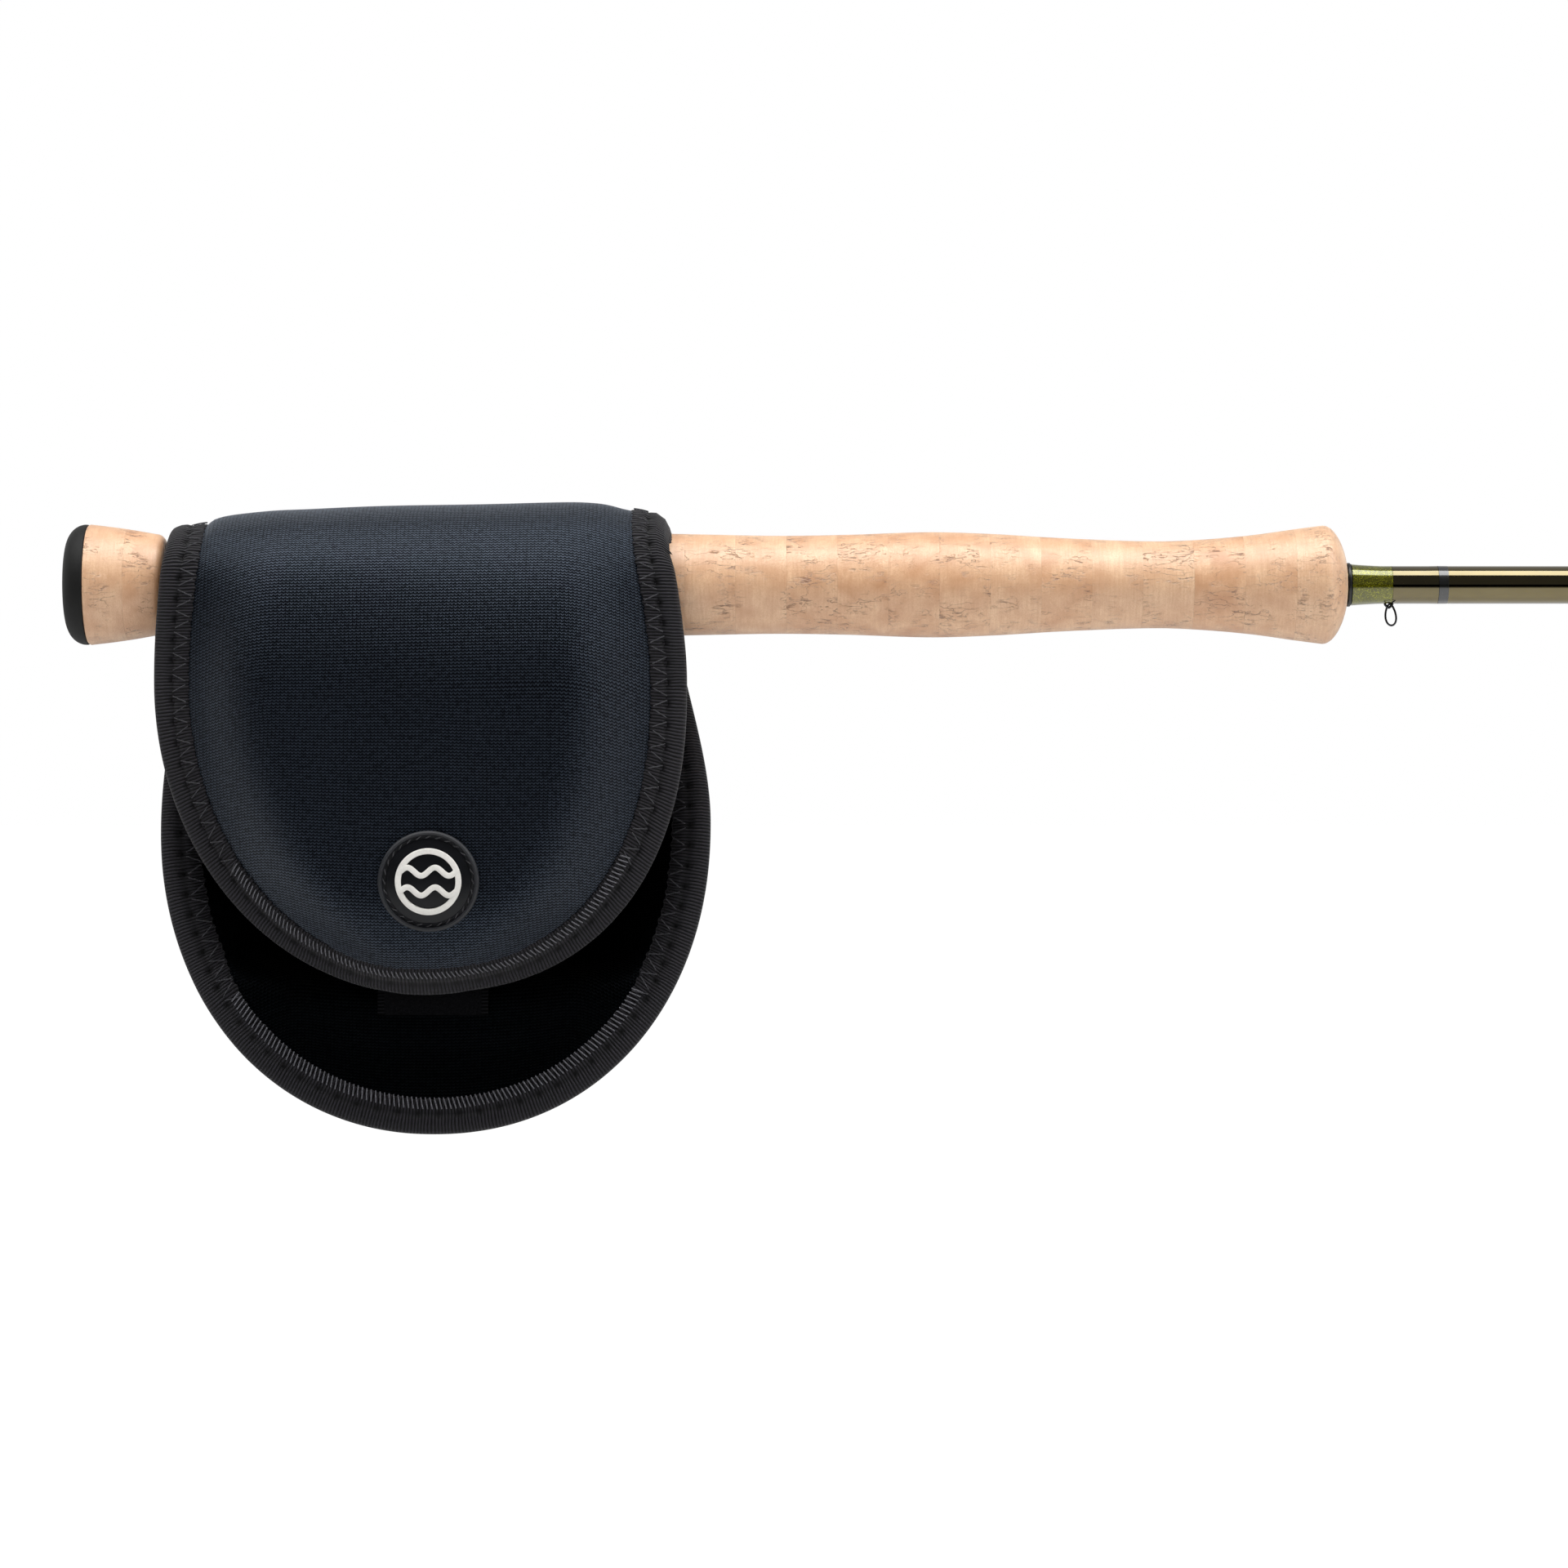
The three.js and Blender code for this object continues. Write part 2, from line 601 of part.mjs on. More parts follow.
const checkStart = gripEnd + SEAT_GAP;
const metalStart = checkStart + CHECK_LENGTH + SEAT_GAP / 2;
const plainStart = metalStart + METAL_WRAP_LENGTH;
const coatStart = plainStart + PLAIN_WRAP_LENGTH + BAND_LENGTH;

function addButtSection() {
  const coat = [coatStart, coatStart + COAT_LENGTH, COAT_RADIUS];
  piece('blank_butt', blankSection(SECTIONS[0], coat), 'blank');

  const onBlank = (station) => rodRadius(station) + NEST_GAP;
  const sleeve = (start, length, rearRadius, frontRadius) =>
    turnedX([
      [at(start), onBlank(start)],
      [at(start + length - NEST_GAP), onBlank(start)],
      [at(start + length - NEST_GAP), frontRadius],
      [at(start), rearRadius],
      [at(start), onBlank(start)],
    ], SMALL_ROUND);
  piece('winding_check', sleeve(checkStart, CHECK_LENGTH, CHECK_RADIUS, CHECK_RADIUS), 'black');
  const metal = sleeve(metalStart, METAL_WRAP_LENGTH, METAL_WRAP_REAR_RADIUS, METAL_WRAP_FRONT_RADIUS);
  piece('metallic_wrap', metal, 'flake');
  const plain = sleeve(plainStart, PLAIN_WRAP_LENGTH, PLAIN_WRAP_RADIUS, PLAIN_WRAP_RADIUS);
  piece('plain_wrap', plain, 'wrap');
  const band = sleeve(plainStart + PLAIN_WRAP_LENGTH, BAND_LENGTH, BAND_RADIUS, BAND_RADIUS);
  piece('black_band', band, 'black');
}

function addHookKeeper() {
  const x = at(plainStart) - 0.7;
  const surface = -METAL_WRAP_FRONT_RADIUS - RUN_GAP;
  const eyeZ = surface - KEEPER_WIRE_RADIUS;
  const bridge = curveThrough([
    [x - 2.6, 0, eyeZ],
    [x - 1.5, 0, eyeZ],
    [x - 0.7, 0, eyeZ - KEEPER_EYE_RADIUS],
    [x + 0.7, 0, eyeZ - KEEPER_EYE_RADIUS],
    [x + 1.5, 0, eyeZ],
    [x + 2.6, 0, eyeZ],
  ]);
  piece('keeper_foot', wire(bridge, KEEPER_WIRE_RADIUS, 12), 'gunmetal');
  const bridgeZ = eyeZ - KEEPER_EYE_RADIUS;
  const ringTop = bridgeZ + 2 * KEEPER_WIRE_RADIUS + 0.1;
  const ring = wireRing(x, ringTop - KEEPER_RING_RADIUS, KEEPER_RING_RADIUS, KEEPER_WIRE_RADIUS * 0.8,
    90 - KEEPER_RING_TURN);
  piece('keeper_ring', ring, 'gunmetal');
}

// ---------------------------------------------------------------------------------------------
// Reel
// ---------------------------------------------------------------------------------------------

/** Points at even angles on a circle round the spindle, from a first angle in degrees. */
function circleOf(count, radius, first = 0) {
  return Array.from({ length: count }, (_, index) => {
    const angle = rad(first + (360 * index) / count);
    return [reelX + radius * Math.cos(angle), reelZ + radius * Math.sin(angle)];
  });
}

/** The part of a solid inside a wedge round the spindle. */
function wedge(solid, middle, spread) {
  const reach = 3 * REEL_RADIUS;
  const [low, high] = [rad(middle - spread / 2), rad(middle + spread / 2)];
  const outline = [
    [reelX, reelZ],
    [reelX + reach * Math.cos(low), reelZ + reach * Math.sin(low)],
    [reelX + reach * Math.cos(high), reelZ + reach * Math.sin(high)],
  ];
  return solid.intersect(plate(outline, -REEL_WIDTH, REEL_WIDTH));
}

const backInner = reelHalf - BACK_PLATE;
const bossFace = backInner - BOSS_HEIGHT;
const bossRadius = hubBore + BOSS_WALL;
const clickGearBack = spoolBack - 4;
const pawlOrbit = CLICK_GEAR_RADIUS + PAWL_LENGTH;

function addReelFrame() {
  const cage = turnedY(tube(-reelHalf, reelHalf, cageInner, REEL_RADIUS));
  const pillars = [
    [90, TOP_PILLAR_SPREAD],
    [205, PILLAR_SPREAD],
    [270, PILLAR_SPREAD],
    [335, PILLAR_SPREAD],
  ].map(([middle, spread]) => wedge(cage, middle, spread));
  const rim = [
    [-reelHalf, cageInner],
    [-reelHalf + FRONT_RING, cageInner],
    [-reelHalf + FRONT_RING, REEL_RADIUS],
    [-reelHalf + CAGE_CHAMFER, REEL_RADIUS],
    [-reelHalf, REEL_RADIUS - CAGE_CHAMFER],
    [-reelHalf, cageInner],
  ];
  const back = [
    [backInner, 0],
    [backInner, REEL_RADIUS],
    [reelHalf - CAGE_CHAMFER, REEL_RADIUS],
    [reelHalf, REEL_RADIUS - CAGE_CHAMFER],
    [reelHalf, 0],
  ];
  const boss = turnedY(bar(bossFace, backInner + 0.5, bossRadius));
  const padHalf = PEDESTAL_LENGTH / 2;
  const padTop = -pedestalBottom - SEAT_GAP;
  const pad = block([reelX - padHalf, -FOOT_PAD_HALF_WIDTH, padTop - CAGE_WALL - 1], [reelX + padHalf, FOOT_PAD_HALF_WIDTH, padTop]);
  const padRoom = turnedY(bar(-reelHalf, backInner, cageInner));
  const postEnd = clickGearBack - CLICK_GEAR_WIDTH - SEAT_GAP;
  const post = circleOf(1, pawlOrbit, PAWL_ANGLE).map(([x, z]) =>
    pinY(x, z, postEnd, backInner + 0.5, PAWL_POST_RADIUS));
  const body = join(...pillars, turnedY(rim), turnedY(back), cut(pad, padRoom), boss, ...post);
  const vents = circleOf(8, VENT_ORBIT, 22.5).map(([x, z]) =>
    pinY(x, z, backInner - 1, reelHalf + 1, VENT_RADIUS, HOLE_ROUND));
  const screwHoles = footScrewPlaces().flatMap((x) => [
    pinZ(x, 0, -pedestalBottom - 6, -pedestalBottom + 1, FOOT_SCREW_RADIUS + RUN_GAP),
    pinZ(x, 0, -pedestalBottom - 9, padTop - FOOT_SCREW_SINK, FOOT_SCREW_RADIUS + FOOT_SCREW_HEAD + SEAT_GAP),
  ]);
  const axleBore = turnedY(bar(bossFace - 1, reelHalf + 1, SPINDLE_RADIUS + RUN_GAP));
  piece('reel_frame', cut(body, ...vents, ...screwHoles, axleBore), 'gunmetal');
}

const footScrewPlaces = () => [-1, 1].map((side) => reelX + (side * FOOT_SCREW_SPACING) / 2);

function addReelFoot() {
  const half = PEDESTAL_LENGTH / 2;
  const wide = FOOT_WIDTH / 2;
  const saddle = turnedX(bar(reelX - half - 1, reelX + half + 1, footTop + FOOT_THICKNESS / 2));
  const pedestal = cut(block([reelX - half, -wide, -pedestalBottom], [reelX + half, wide, -footTop]), saddle);
  const holes = footScrewPlaces().map((x) =>
    pinZ(x, 0, -pedestalBottom - 1, -footTop - 0.8, FOOT_SCREW_RADIUS + RUN_GAP));
  piece('reel_foot', cut(join(footBlade(), pedestal), ...holes), 'gunmetal');

  footScrewPlaces().forEach((x, index) => {
    const frameTop = -pedestalBottom - SEAT_GAP;
    const headTop = frameTop - FOOT_SCREW_SINK - RUN_GAP;
    const shank = pinZ(x, 0, headTop - 1, -footTop - 1, FOOT_SCREW_RADIUS);
    const head = pinZ(x, 0, headTop - 1.15, headTop, FOOT_SCREW_RADIUS + FOOT_SCREW_HEAD);
    piece(`foot_screw_${index + 1}`, join(shank, head), 'steel');
  });
}

const rearBearing = clickGearBack - BEARING_WIDTH / 2 - 0.4;
const frontBearing = spoolFront + FLANGE_THICKNESS + 0.6;

function addDrag() {
  piece('spindle', turnedY(bar(spoolFront - 2.6, reelHalf + 0.2, SPINDLE_RADIUS), SMALL_ROUND), 'steel');
  const bearingBore = SPINDLE_RADIUS + RUN_GAP;
  const bearing = (start) =>
    turnedY(tube(start, start + BEARING_WIDTH, bearingBore, bearingBore + BEARING_WALL), SMALL_ROUND);
  piece('front_bearing', bearing(frontBearing), 'silver');
  piece('rear_bearing', bearing(rearBearing - BEARING_WIDTH / 2), 'silver');
  const clutchStart = frontBearing + BEARING_WIDTH + SEAT_GAP;
  const clutch = tube(clutchStart, clutchStart + CLUTCH_LENGTH, bearingBore, bearingBore + BEARING_WALL);
  piece('one_way_clutch', turnedY(clutch, SMALL_ROUND), 'steel');

  const discFace = bossFace - SEAT_GAP;
  const discBore = SPINDLE_RADIUS + RUN_GAP;
  const disc = tube(discFace - DRAG_DISC_THICKNESS, discFace, discBore, DRAG_DISC_RADIUS);
  piece('drag_disc', turnedY(disc), 'carbon');
  const plateFace = discFace - DRAG_DISC_THICKNESS - SEAT_GAP;
  const pressure = tube(plateFace - DRAG_DISC_THICKNESS, plateFace, discBore, DRAG_DISC_RADIUS);
  piece('pressure_plate', turnedY(pressure), 'steel');
  const sealY = (bossFace + backInner) / 2;
  const seal = new THREE.TorusGeometry(bossRadius + 0.75 + NEST_GAP, 0.65, WIRE_SIDES, ROUND);
  piece('seal_ring', solidOf(seal.rotateX(Math.PI / 2).translate(reelX, sealY, reelZ)), 'black');

  const knobBack = reelHalf + SEAT_GAP;
  const knobFront = knobBack + DRAG_KNOB_LENGTH;
  const lobes = Array.from({ length: 4 * DRAG_KNOB_LOBES }, (_, index) => {
    const angle = (2 * Math.PI * index) / (4 * DRAG_KNOB_LOBES);
    const radius = DRAG_KNOB_RADIUS - (index % 4 < 2 ? 0 : DRAG_KNOB_GROOVE);
    return [reelX + radius * Math.cos(angle), reelZ + radius * Math.sin(angle)];
  });
  const crown = plate(lobes, knobBack, knobFront);
  const slope = turnedY([
    [knobBack - 1, 0],
    [knobBack - 1, DRAG_KNOB_RADIUS + 1],
    [knobFront - 2.5, DRAG_KNOB_RADIUS + 1],
    [knobFront + 0.5, DRAG_KNOB_RADIUS - 3.5],
    [knobFront + 0.5, 0],
  ]);
  const springRoom = turnedY(bar(knobBack - 1, knobBack + 4.6, DRAG_SPRING_RADIUS + 2));
  const screwRoom = turnedY(bar(knobBack, knobFront + 1, KNOB_SCREW_RADIUS + RUN_GAP), SMALL_ROUND);
  const recess = turnedY(bar(knobFront - 1.6, knobFront + 1, KNOB_SCREW_HEAD_RADIUS + RUN_GAP), SMALL_ROUND);
  piece('drag_knob', cut(crown.intersect(slope), springRoom, screwRoom, recess), 'gunmetal');
  const screw = join(
    turnedY(bar(knobBack + SEAT_GAP, knobFront - 1, KNOB_SCREW_RADIUS), SMALL_ROUND),
    turnedY(bar(knobFront - 1.4, knobFront - 0.2, KNOB_SCREW_HEAD_RADIUS), SMALL_ROUND),
  );
  piece('knob_screw', screw, 'steel');

  const coilSteps = DRAG_SPRING_TURNS * SMALL_ROUND;
  const coil = curveThrough(Array.from({ length: coilSteps + 1 }, (_, index) => {
    const angle = (2 * Math.PI * index) / SMALL_ROUND;
    const y = knobBack + 0.9 + (DRAG_SPRING_RISE * index) / coilSteps;
    return [reelX + DRAG_SPRING_RADIUS * Math.cos(angle), y, reelZ + DRAG_SPRING_RADIUS * Math.sin(angle)];
  }));
  piece('drag_spring', wire(coil, DRAG_SPRING_WIRE, coilSteps), 'steel');
}

function addClicker() {
  const [[x, z]] = circleOf(1, pawlOrbit, PAWL_ANGLE);
  const toAxis = Math.atan2(reelZ - z, reelX - x);
  const point = (distance, aside) => [
    x + distance * Math.cos(toAxis) - aside * Math.sin(toAxis),
    z + distance * Math.sin(toAxis) + aside * Math.cos(toAxis),
  ];
  const tip = PAWL_LENGTH - SEAT_GAP;
  const outline = [
    point(-2, -1.4),
    point(-2, 1.4),
    point(0.6, 1.9),
    point(tip, 0.3),
    point(tip, -0.3),
    point(0.6, -1.9),
  ];
  const [y0, y1] = [clickGearBack - CLICK_GEAR_WIDTH, clickGearBack];
  const bore = pinY(x, z, y0 - 1, y1 + 1, PAWL_POST_RADIUS + RUN_GAP);
  piece('click_pawl', cut(plate(outline, y0, y1), bore), 'steel');

  const leaf = (distance, aside) => {
    const [px, pz] = point(distance, aside);
    return [px, (y0 + y1) / 2, pz];
  };
  const back = -2 - SEAT_GAP - CLICK_SPRING_RADIUS;
  const spring = curveThrough([leaf(back, -3), leaf(back, 0), leaf(back, 3)]);
  piece('click_spring', wire(spring, CLICK_SPRING_RADIUS, 4), 'steel');
}

function addSpool() {
  const flange = (y) => tube(y, y + FLANGE_THICKNESS, ARBOR_RADIUS - ARBOR_WALL, spoolRadius);
  const web = tube(spoolFront, spoolFront + FLANGE_THICKNESS, hubBore, ARBOR_RADIUS);
  const hub = tube(spoolFront, clickGearBack, hubBore, hubRadius);
  const teeth = Array.from({ length: 2 * CLICK_TEETH }, (_, index) => {
    const angle = (Math.PI * index) / CLICK_TEETH;
    const radius = CLICK_GEAR_RADIUS - (index % 2);
    return [reelX + radius * Math.cos(angle), reelZ + radius * Math.sin(angle)];
  });
  const gearBore = turnedY(bar(clickGearBack - CLICK_GEAR_WIDTH - 1, clickGearBack + 1, hubBore));
  const gear = cut(plate(teeth, clickGearBack - CLICK_GEAR_WIDTH, clickGearBack), gearBore);
  const arbor = tube(spoolFront, spoolBack, ARBOR_RADIUS - ARBOR_WALL, ARBOR_RADIUS);
  const body = join(
    turnedY(flange(spoolFront)),
    turnedY(flange(spoolBack - FLANGE_THICKNESS)),
    turnedY(web),
    turnedY(hub),
    turnedY(arbor),
    gear,
  );
  const flangeHoles = circleOf(FLANGE_HOLES, (ARBOR_RADIUS + spoolRadius) / 2, 18).map(([x, z]) =>
    pinY(x, z, spoolFront - 1, spoolFront + FLANGE_THICKNESS + 0.5, FLANGE_HOLE_RADIUS, HOLE_ROUND));
  const webHoles = circleOf(WEB_HOLES, (hubRadius + ARBOR_RADIUS) / 2 - 0.4, 30).map(([x, z]) =>
    pinY(x, z, spoolFront - 1, spoolFront + FLANGE_THICKNESS + 0.5, WEB_HOLE_RADIUS, HOLE_ROUND));
  const postHole = pinY(reelX, reelZ + HANDLE_ORBIT, spoolFront - 1, spoolFront + FLANGE_THICKNESS + 1,
    HANDLE_POST_RADIUS + RUN_GAP);
  piece('spool', cut(body, ...flangeHoles, ...webHoles, postHole), 'silver');

  const nutBack = spoolFront - SEAT_GAP;
  const nut = [
    [nutBack - CAP_NUT_LENGTH, 0],
    [nutBack - CAP_NUT_LENGTH, CAP_NUT_RADIUS - 1.2],
    [nutBack - CAP_NUT_LENGTH + 1, CAP_NUT_RADIUS],
    [nutBack, CAP_NUT_RADIUS],
    [nutBack, SPINDLE_RADIUS + RUN_GAP],
    [nutBack - 2.9, SPINDLE_RADIUS + RUN_GAP],
    [nutBack - 2.9, 0],
  ];
  piece('spool_cap', turnedY(nut), 'gunmetal');

  const handleZ = reelZ + HANDLE_ORBIT;
  const knobBack = spoolFront - SEAT_GAP - RUN_GAP;
  const knobFront = knobBack - KNOB_LENGTH;
  const post = join(
    turnedY(bar(knobFront - 1, spoolFront + FLANGE_THICKNESS, HANDLE_POST_RADIUS), SMALL_ROUND, reelX, handleZ),
    turnedY(bar(knobFront - 1, knobFront - SEAT_GAP, HANDLE_POST_RADIUS + 0.9), SMALL_ROUND, reelX, handleZ),
  );
  piece('handle_post', post, 'steel');
  const grip = [
    [knobBack, HANDLE_POST_RADIUS + RUN_GAP],
    [knobBack, KNOB_RADIUS - 0.8],
    [knobBack - 1, KNOB_RADIUS - 0.2],
    [knobBack - KNOB_LENGTH * 0.42, KNOB_RADIUS - 1.2],
    [knobFront + 2.4, KNOB_RADIUS],
    [knobFront + 0.7, KNOB_RADIUS - 0.4],
    [knobFront, KNOB_RADIUS - 1.4],
    [knobFront, HANDLE_POST_RADIUS + RUN_GAP],
    [knobBack, HANDLE_POST_RADIUS + RUN_GAP],
  ];
  piece('handle_knob', turnedY(grip, SMALL_ROUND, reelX, handleZ), 'black');

  const weightBack = spoolFront - SEAT_GAP;
  const weight = [
    [weightBack, 0],
    [weightBack, COUNTERWEIGHT_RADIUS],
    [weightBack - COUNTERWEIGHT_HEIGHT + COUNTERWEIGHT_CHAMFER, COUNTERWEIGHT_RADIUS],
    [weightBack - COUNTERWEIGHT_HEIGHT, COUNTERWEIGHT_RADIUS - COUNTERWEIGHT_CHAMFER],
    [weightBack - COUNTERWEIGHT_HEIGHT, 0],
  ];
  piece('counterweight', turnedY(weight, SMALL_ROUND, reelX, reelZ - HANDLE_ORBIT), 'silver');
}

// ---------------------------------------------------------------------------------------------
// Pouch: one folded sheet of neoprene, bound all round, as a back shell and a front flap
// ---------------------------------------------------------------------------------------------

const FULL_REACH = 80; // deep enough to cut right through the pouch

/** Closed outline of a flap or shell, drawn in by an inset. It runs up past the fold, open upwards. */
function clothOutline(cloth, inset) {
  const { halfWidth, widest, drop, roundness } = cloth;
  const edge = (side, round) => {
    const upper = [0, 0.2, 0.4, 0.6, 0.8].map((t) => {
      const z = THREE.MathUtils.lerp(hingeZ, -widest, t);
      return [side * (halfWidthAt(cloth, z, side) - inset), z];
    });
    const bowl = Array.from({ length: BOWL_STEPS + 1 }, (_, index) => {
      const angle = (Math.PI * index) / (2 * BOWL_STEPS);
      return [
        side * (halfWidth - inset) * Math.cos(angle) ** (2 / round),
        -widest - (drop - widest - inset) * Math.sin(angle) ** (2 / round),
      ];
    });
    return [[upper[0][0], FULL_REACH], ...upper, ...bowl];
  };
  const outline = [...edge(1, roundness.tip), ...edge(-1, roundness.butt).slice(0, -1).reverse()];
  return outline.map(([x, z]) => [centreAt(cloth, z) + x, z]);
}

/** Middle of a flap or shell at a height: the shell's bowl stands a little in front of the fold. */
function centreAt({ shift, waist, widest }, z) {
  return pouchX + shift * (1 - THREE.MathUtils.smoothstep(z, -widest, waist));
}

/** The roundness of a flap or shell on its butt side (below 0) or its tip side. */
const roundnessOn = ({ roundness }, side) => (side < 0 ? roundness.butt : roundness.tip);

/** Half the width of a flap or shell at a height: it narrows up to its waist and rounds off below. */
function halfWidthAt(cloth, z, side) {
  const { halfWidth, waistHalfWidth, waist, widest, drop } = cloth;
  const round = roundnessOn(cloth, side);
  if (z > -widest) {
    return halfWidth - (halfWidth - waistHalfWidth) * THREE.MathUtils.smoothstep(z, -widest, waist);
  }
  const down = Math.min(1, (-widest - z) / (drop - widest));
  return halfWidth * (1 - down ** round) ** (1 / round);
}

/** How far below the rod's axis the inset edge of a cloth is, at a distance from its middle. */
function dropAt(cloth, inset, x) {
  const { halfWidth, widest, drop } = cloth;
  const round = roundnessOn(cloth, x);
  const across = Math.min(1, Math.abs(x) / (halfWidth - inset));
  return widest + (drop - widest - inset) * (1 - across ** round) ** (1 / round);
}

/** Points of the fold, from the top of the pouch to the rod's level, as [y, z]. */
function foldPoints(side, radius) {
  return [0, 30, 60, 90].map((angle) => [side * radius * Math.sin(rad(angle)), radius * Math.cos(rad(angle))]);
}

/**
 * The middle surface of a cloth panel. Its depth goes from the edge's profile to the middle's profile
 * further in from its side edges. Both profiles list [y, z] from the fold down.
 */
function clothSurface(cloth, edgeProfile, middleProfile) {
  const curve = (profile) => new THREE.SplineCurve(profile.map(([y, z]) => new THREE.Vector2(y, z)));
  const [edge, middle] = [curve(edgeProfile), curve(middleProfile)];
  const reach = cloth.halfWidth + 4;
  return (u, v) => {
    const [low, high] = [edge.getPoint(v), middle.getPoint(v)];
    const inwards = halfWidthAt(cloth, high.y, u) - Math.abs(reach * u);
    const t = ease(THREE.MathUtils.clamp(inwards / ROLL_WIDTH, 0, 1));
    const [y, z] = [THREE.MathUtils.lerp(low.x, high.x, t), THREE.MathUtils.lerp(low.y, high.y, t)];
    return new THREE.Vector3(centreAt(cloth, high.y) + reach * u, y, z);
  };
}

/** The solid between two distances from a surface's middle, counted towards the front of the pouch. */
function clothBand(surface, near, far) {
  const [columns, rows] = [CLOTH_COLUMNS, CLOTH_ROWS];
  const step = 1e-3;
  const grids = [near, far].map(() => []);
  for (let row = 0; row <= rows; row += 1) {
    for (let column = 0; column <= columns; column += 1) {
      const [u, v] = [(2 * column) / columns - 1, row / rows];
      const across = surface(u + step, v).sub(surface(u - step, v));
      const down = surface(u, Math.min(1, v + step)).sub(surface(u, Math.max(0, v - step)));
      const normal = down.cross(across).normalize();
      [near, far].forEach((distance, index) => {
        grids[index].push(surface(u, v).addScaledVector(normal, distance));
      });
    }
  }
  const wide = columns + 1;
  const count = grids[0].length;
  const index = [];
  const quad = (a, b, c, d) => index.push(a, b, c, a, c, d);
  for (let row = 0; row < rows; row += 1) {
    for (let column = 0; column < columns; column += 1) {
      const a = row * wide + column;
      quad(a, a + 1, a + wide + 1, a + wide);
      quad(count + a, count + a + wide, count + a + wide + 1, count + a + 1);
    }
  }
  const rim = [];
  for (let column = 0; column < columns; column += 1) rim.push(column);
  for (let row = 0; row < rows; row += 1) rim.push(row * wide + columns);
  for (let column = columns; column > 0; column -= 1) rim.push(rows * wide + column);
  for (let row = rows; row > 0; row -= 1) rim.push(row * wide);
  rim.forEach((a, place) => {
    const b = rim[(place + 1) % rim.length];
    quad(a, count + a, count + b, b);
  });
  const geometry = new THREE.BufferGeometry();
  const places = grids.flat().flatMap((point) => point.toArray());
  geometry.setAttribute('position', new THREE.Float32BufferAttribute(places, 3));
  geometry.setIndex(index);
  return solidOf(geometry);
}

const FLAP = {
  shift: 0,
  halfWidth: FLAP_HALF_WIDTH,
  waistHalfWidth: FLAP_WAIST_HALF_WIDTH,
  waist: FLAP_WAIST_HEIGHT,
  widest: FLAP_WIDEST_DROP,
  drop: FLAP_DROP,
  roundness: { butt: 2, tip: 2.3 },
};

const SHELL = {
  shift: SHELL_SHIFT,
  halfWidth: SHELL_HALF_WIDTH,
  waistHalfWidth: SHELL_WAIST_HALF_WIDTH,
  waist: SHELL_WAIST_HEIGHT,
  widest: SHELL_WIDEST_DROP,
  drop: SHELL_DROP,
  roundness: { butt: 2.17, tip: 2.17 },
};

const reelBottom = reelZ - REEL_RADIUS;
const handleTop = reelZ + HANDLE_ORBIT + KNOB_RADIUS;
const handleBottom = reelZ - HANDLE_ORBIT - KNOB_RADIUS;

function flapSurface() {
  const middle = [
    ...foldPoints(-1, FOLD_RADIUS + FOLD_CROWN),
    [-flapDepth * 0.78, -13],
    [-flapDepth, handleTop + 1],
    [-flapDepth - 1, reelZ + 8],
    [-flapDepth - 1, reelZ - 12],
    [-flapDepth, handleBottom - 1],
    [-flapDepth * 0.78, reelBottom + 2],
    [-FLAP_EDGE_DEPTH - 5, reelBottom - 5],
    [-FLAP_EDGE_DEPTH - 0.5, reelBottom - 10],
    [-FLAP_EDGE_DEPTH, -FLAP_DROP - 6],
  ];
  const edge = [
    ...foldPoints(-1, FOLD_RADIUS),
    ...middle.slice(4).map(([, z], index) => [-FLAP_EDGE_DEPTH - 2.4 / (1 + index), z]),
  ];
  return clothSurface(FLAP, edge, middle);
}

function shellSurface() {
  const patchY = -FLAP_EDGE_DEPTH + bindingHalf + PATCH_THICKNESS + 3 * SEAT_GAP + NEOPRENE / 2;
  const middle = [
    ...foldPoints(1, FOLD_RADIUS + FOLD_CROWN),
    [shellDepth * 0.86, -14],
    [shellDepth, -30],
    [shellDepth, reelZ],
    [shellDepth * 0.98, reelZ - DRAG_KNOB_RADIUS - 4],
    [reelHalf + NEOPRENE + 1.5, reelBottom - 0.5],
    [reelHalf * 0.65, reelBottom - 6],
    [patchY + 5, reelBottom - 10],
    [patchY + 0.5, reelBottom - 14],
    [patchY, reelBottom - 22],
    [patchY + 0.2, -SHELL_DROP + 20],
    [patchY - 1, -SHELL_DROP + 9],
    [-SHELL_EDGE_DEPTH, -SHELL_DROP - 6],
  ];
  const rim = [14.5, 8, 0, -3.5, -5.5, -6, -6.5, -7.2, -8, -9, -9.5, -SHELL_EDGE_DEPTH];
  const edge = [...foldPoints(1, FOLD_RADIUS), ...middle.slice(4).map(([, z], index) => [rim[index], z])];
  return clothSurface(SHELL, edge, middle);
}

/** One panel of cloth and the binding that folds round its edge. */
function boundPanel(cloth, surface) {
  const plateOf = (inset) => plate(clothOutline(cloth, inset), -FULL_REACH, FULL_REACH);
  const half = NEOPRENE / 2;
  const sheet = clothBand(surface, -half, half).intersect(plateOf(TAPE + SEAT_GAP));
  const room = clothBand(surface, -half - SEAT_GAP, half + SEAT_GAP).intersect(plateOf(TAPE));
  const wrapped = clothBand(surface, -bindingHalf, bindingHalf).intersect(plateOf(0));
  return { sheet, binding: cut(wrapped, plateOf(BINDING_WIDTH), room) };
}

/** A circle's outline in X and Z. */
function circleOutline(x, z, radius, facets = ROUND) {
  return Array.from({ length: facets }, (_, index) => {
    const angle = (2 * Math.PI * index) / facets;
    return [x + radius * Math.cos(angle), z + radius * Math.sin(angle)];
  });
}

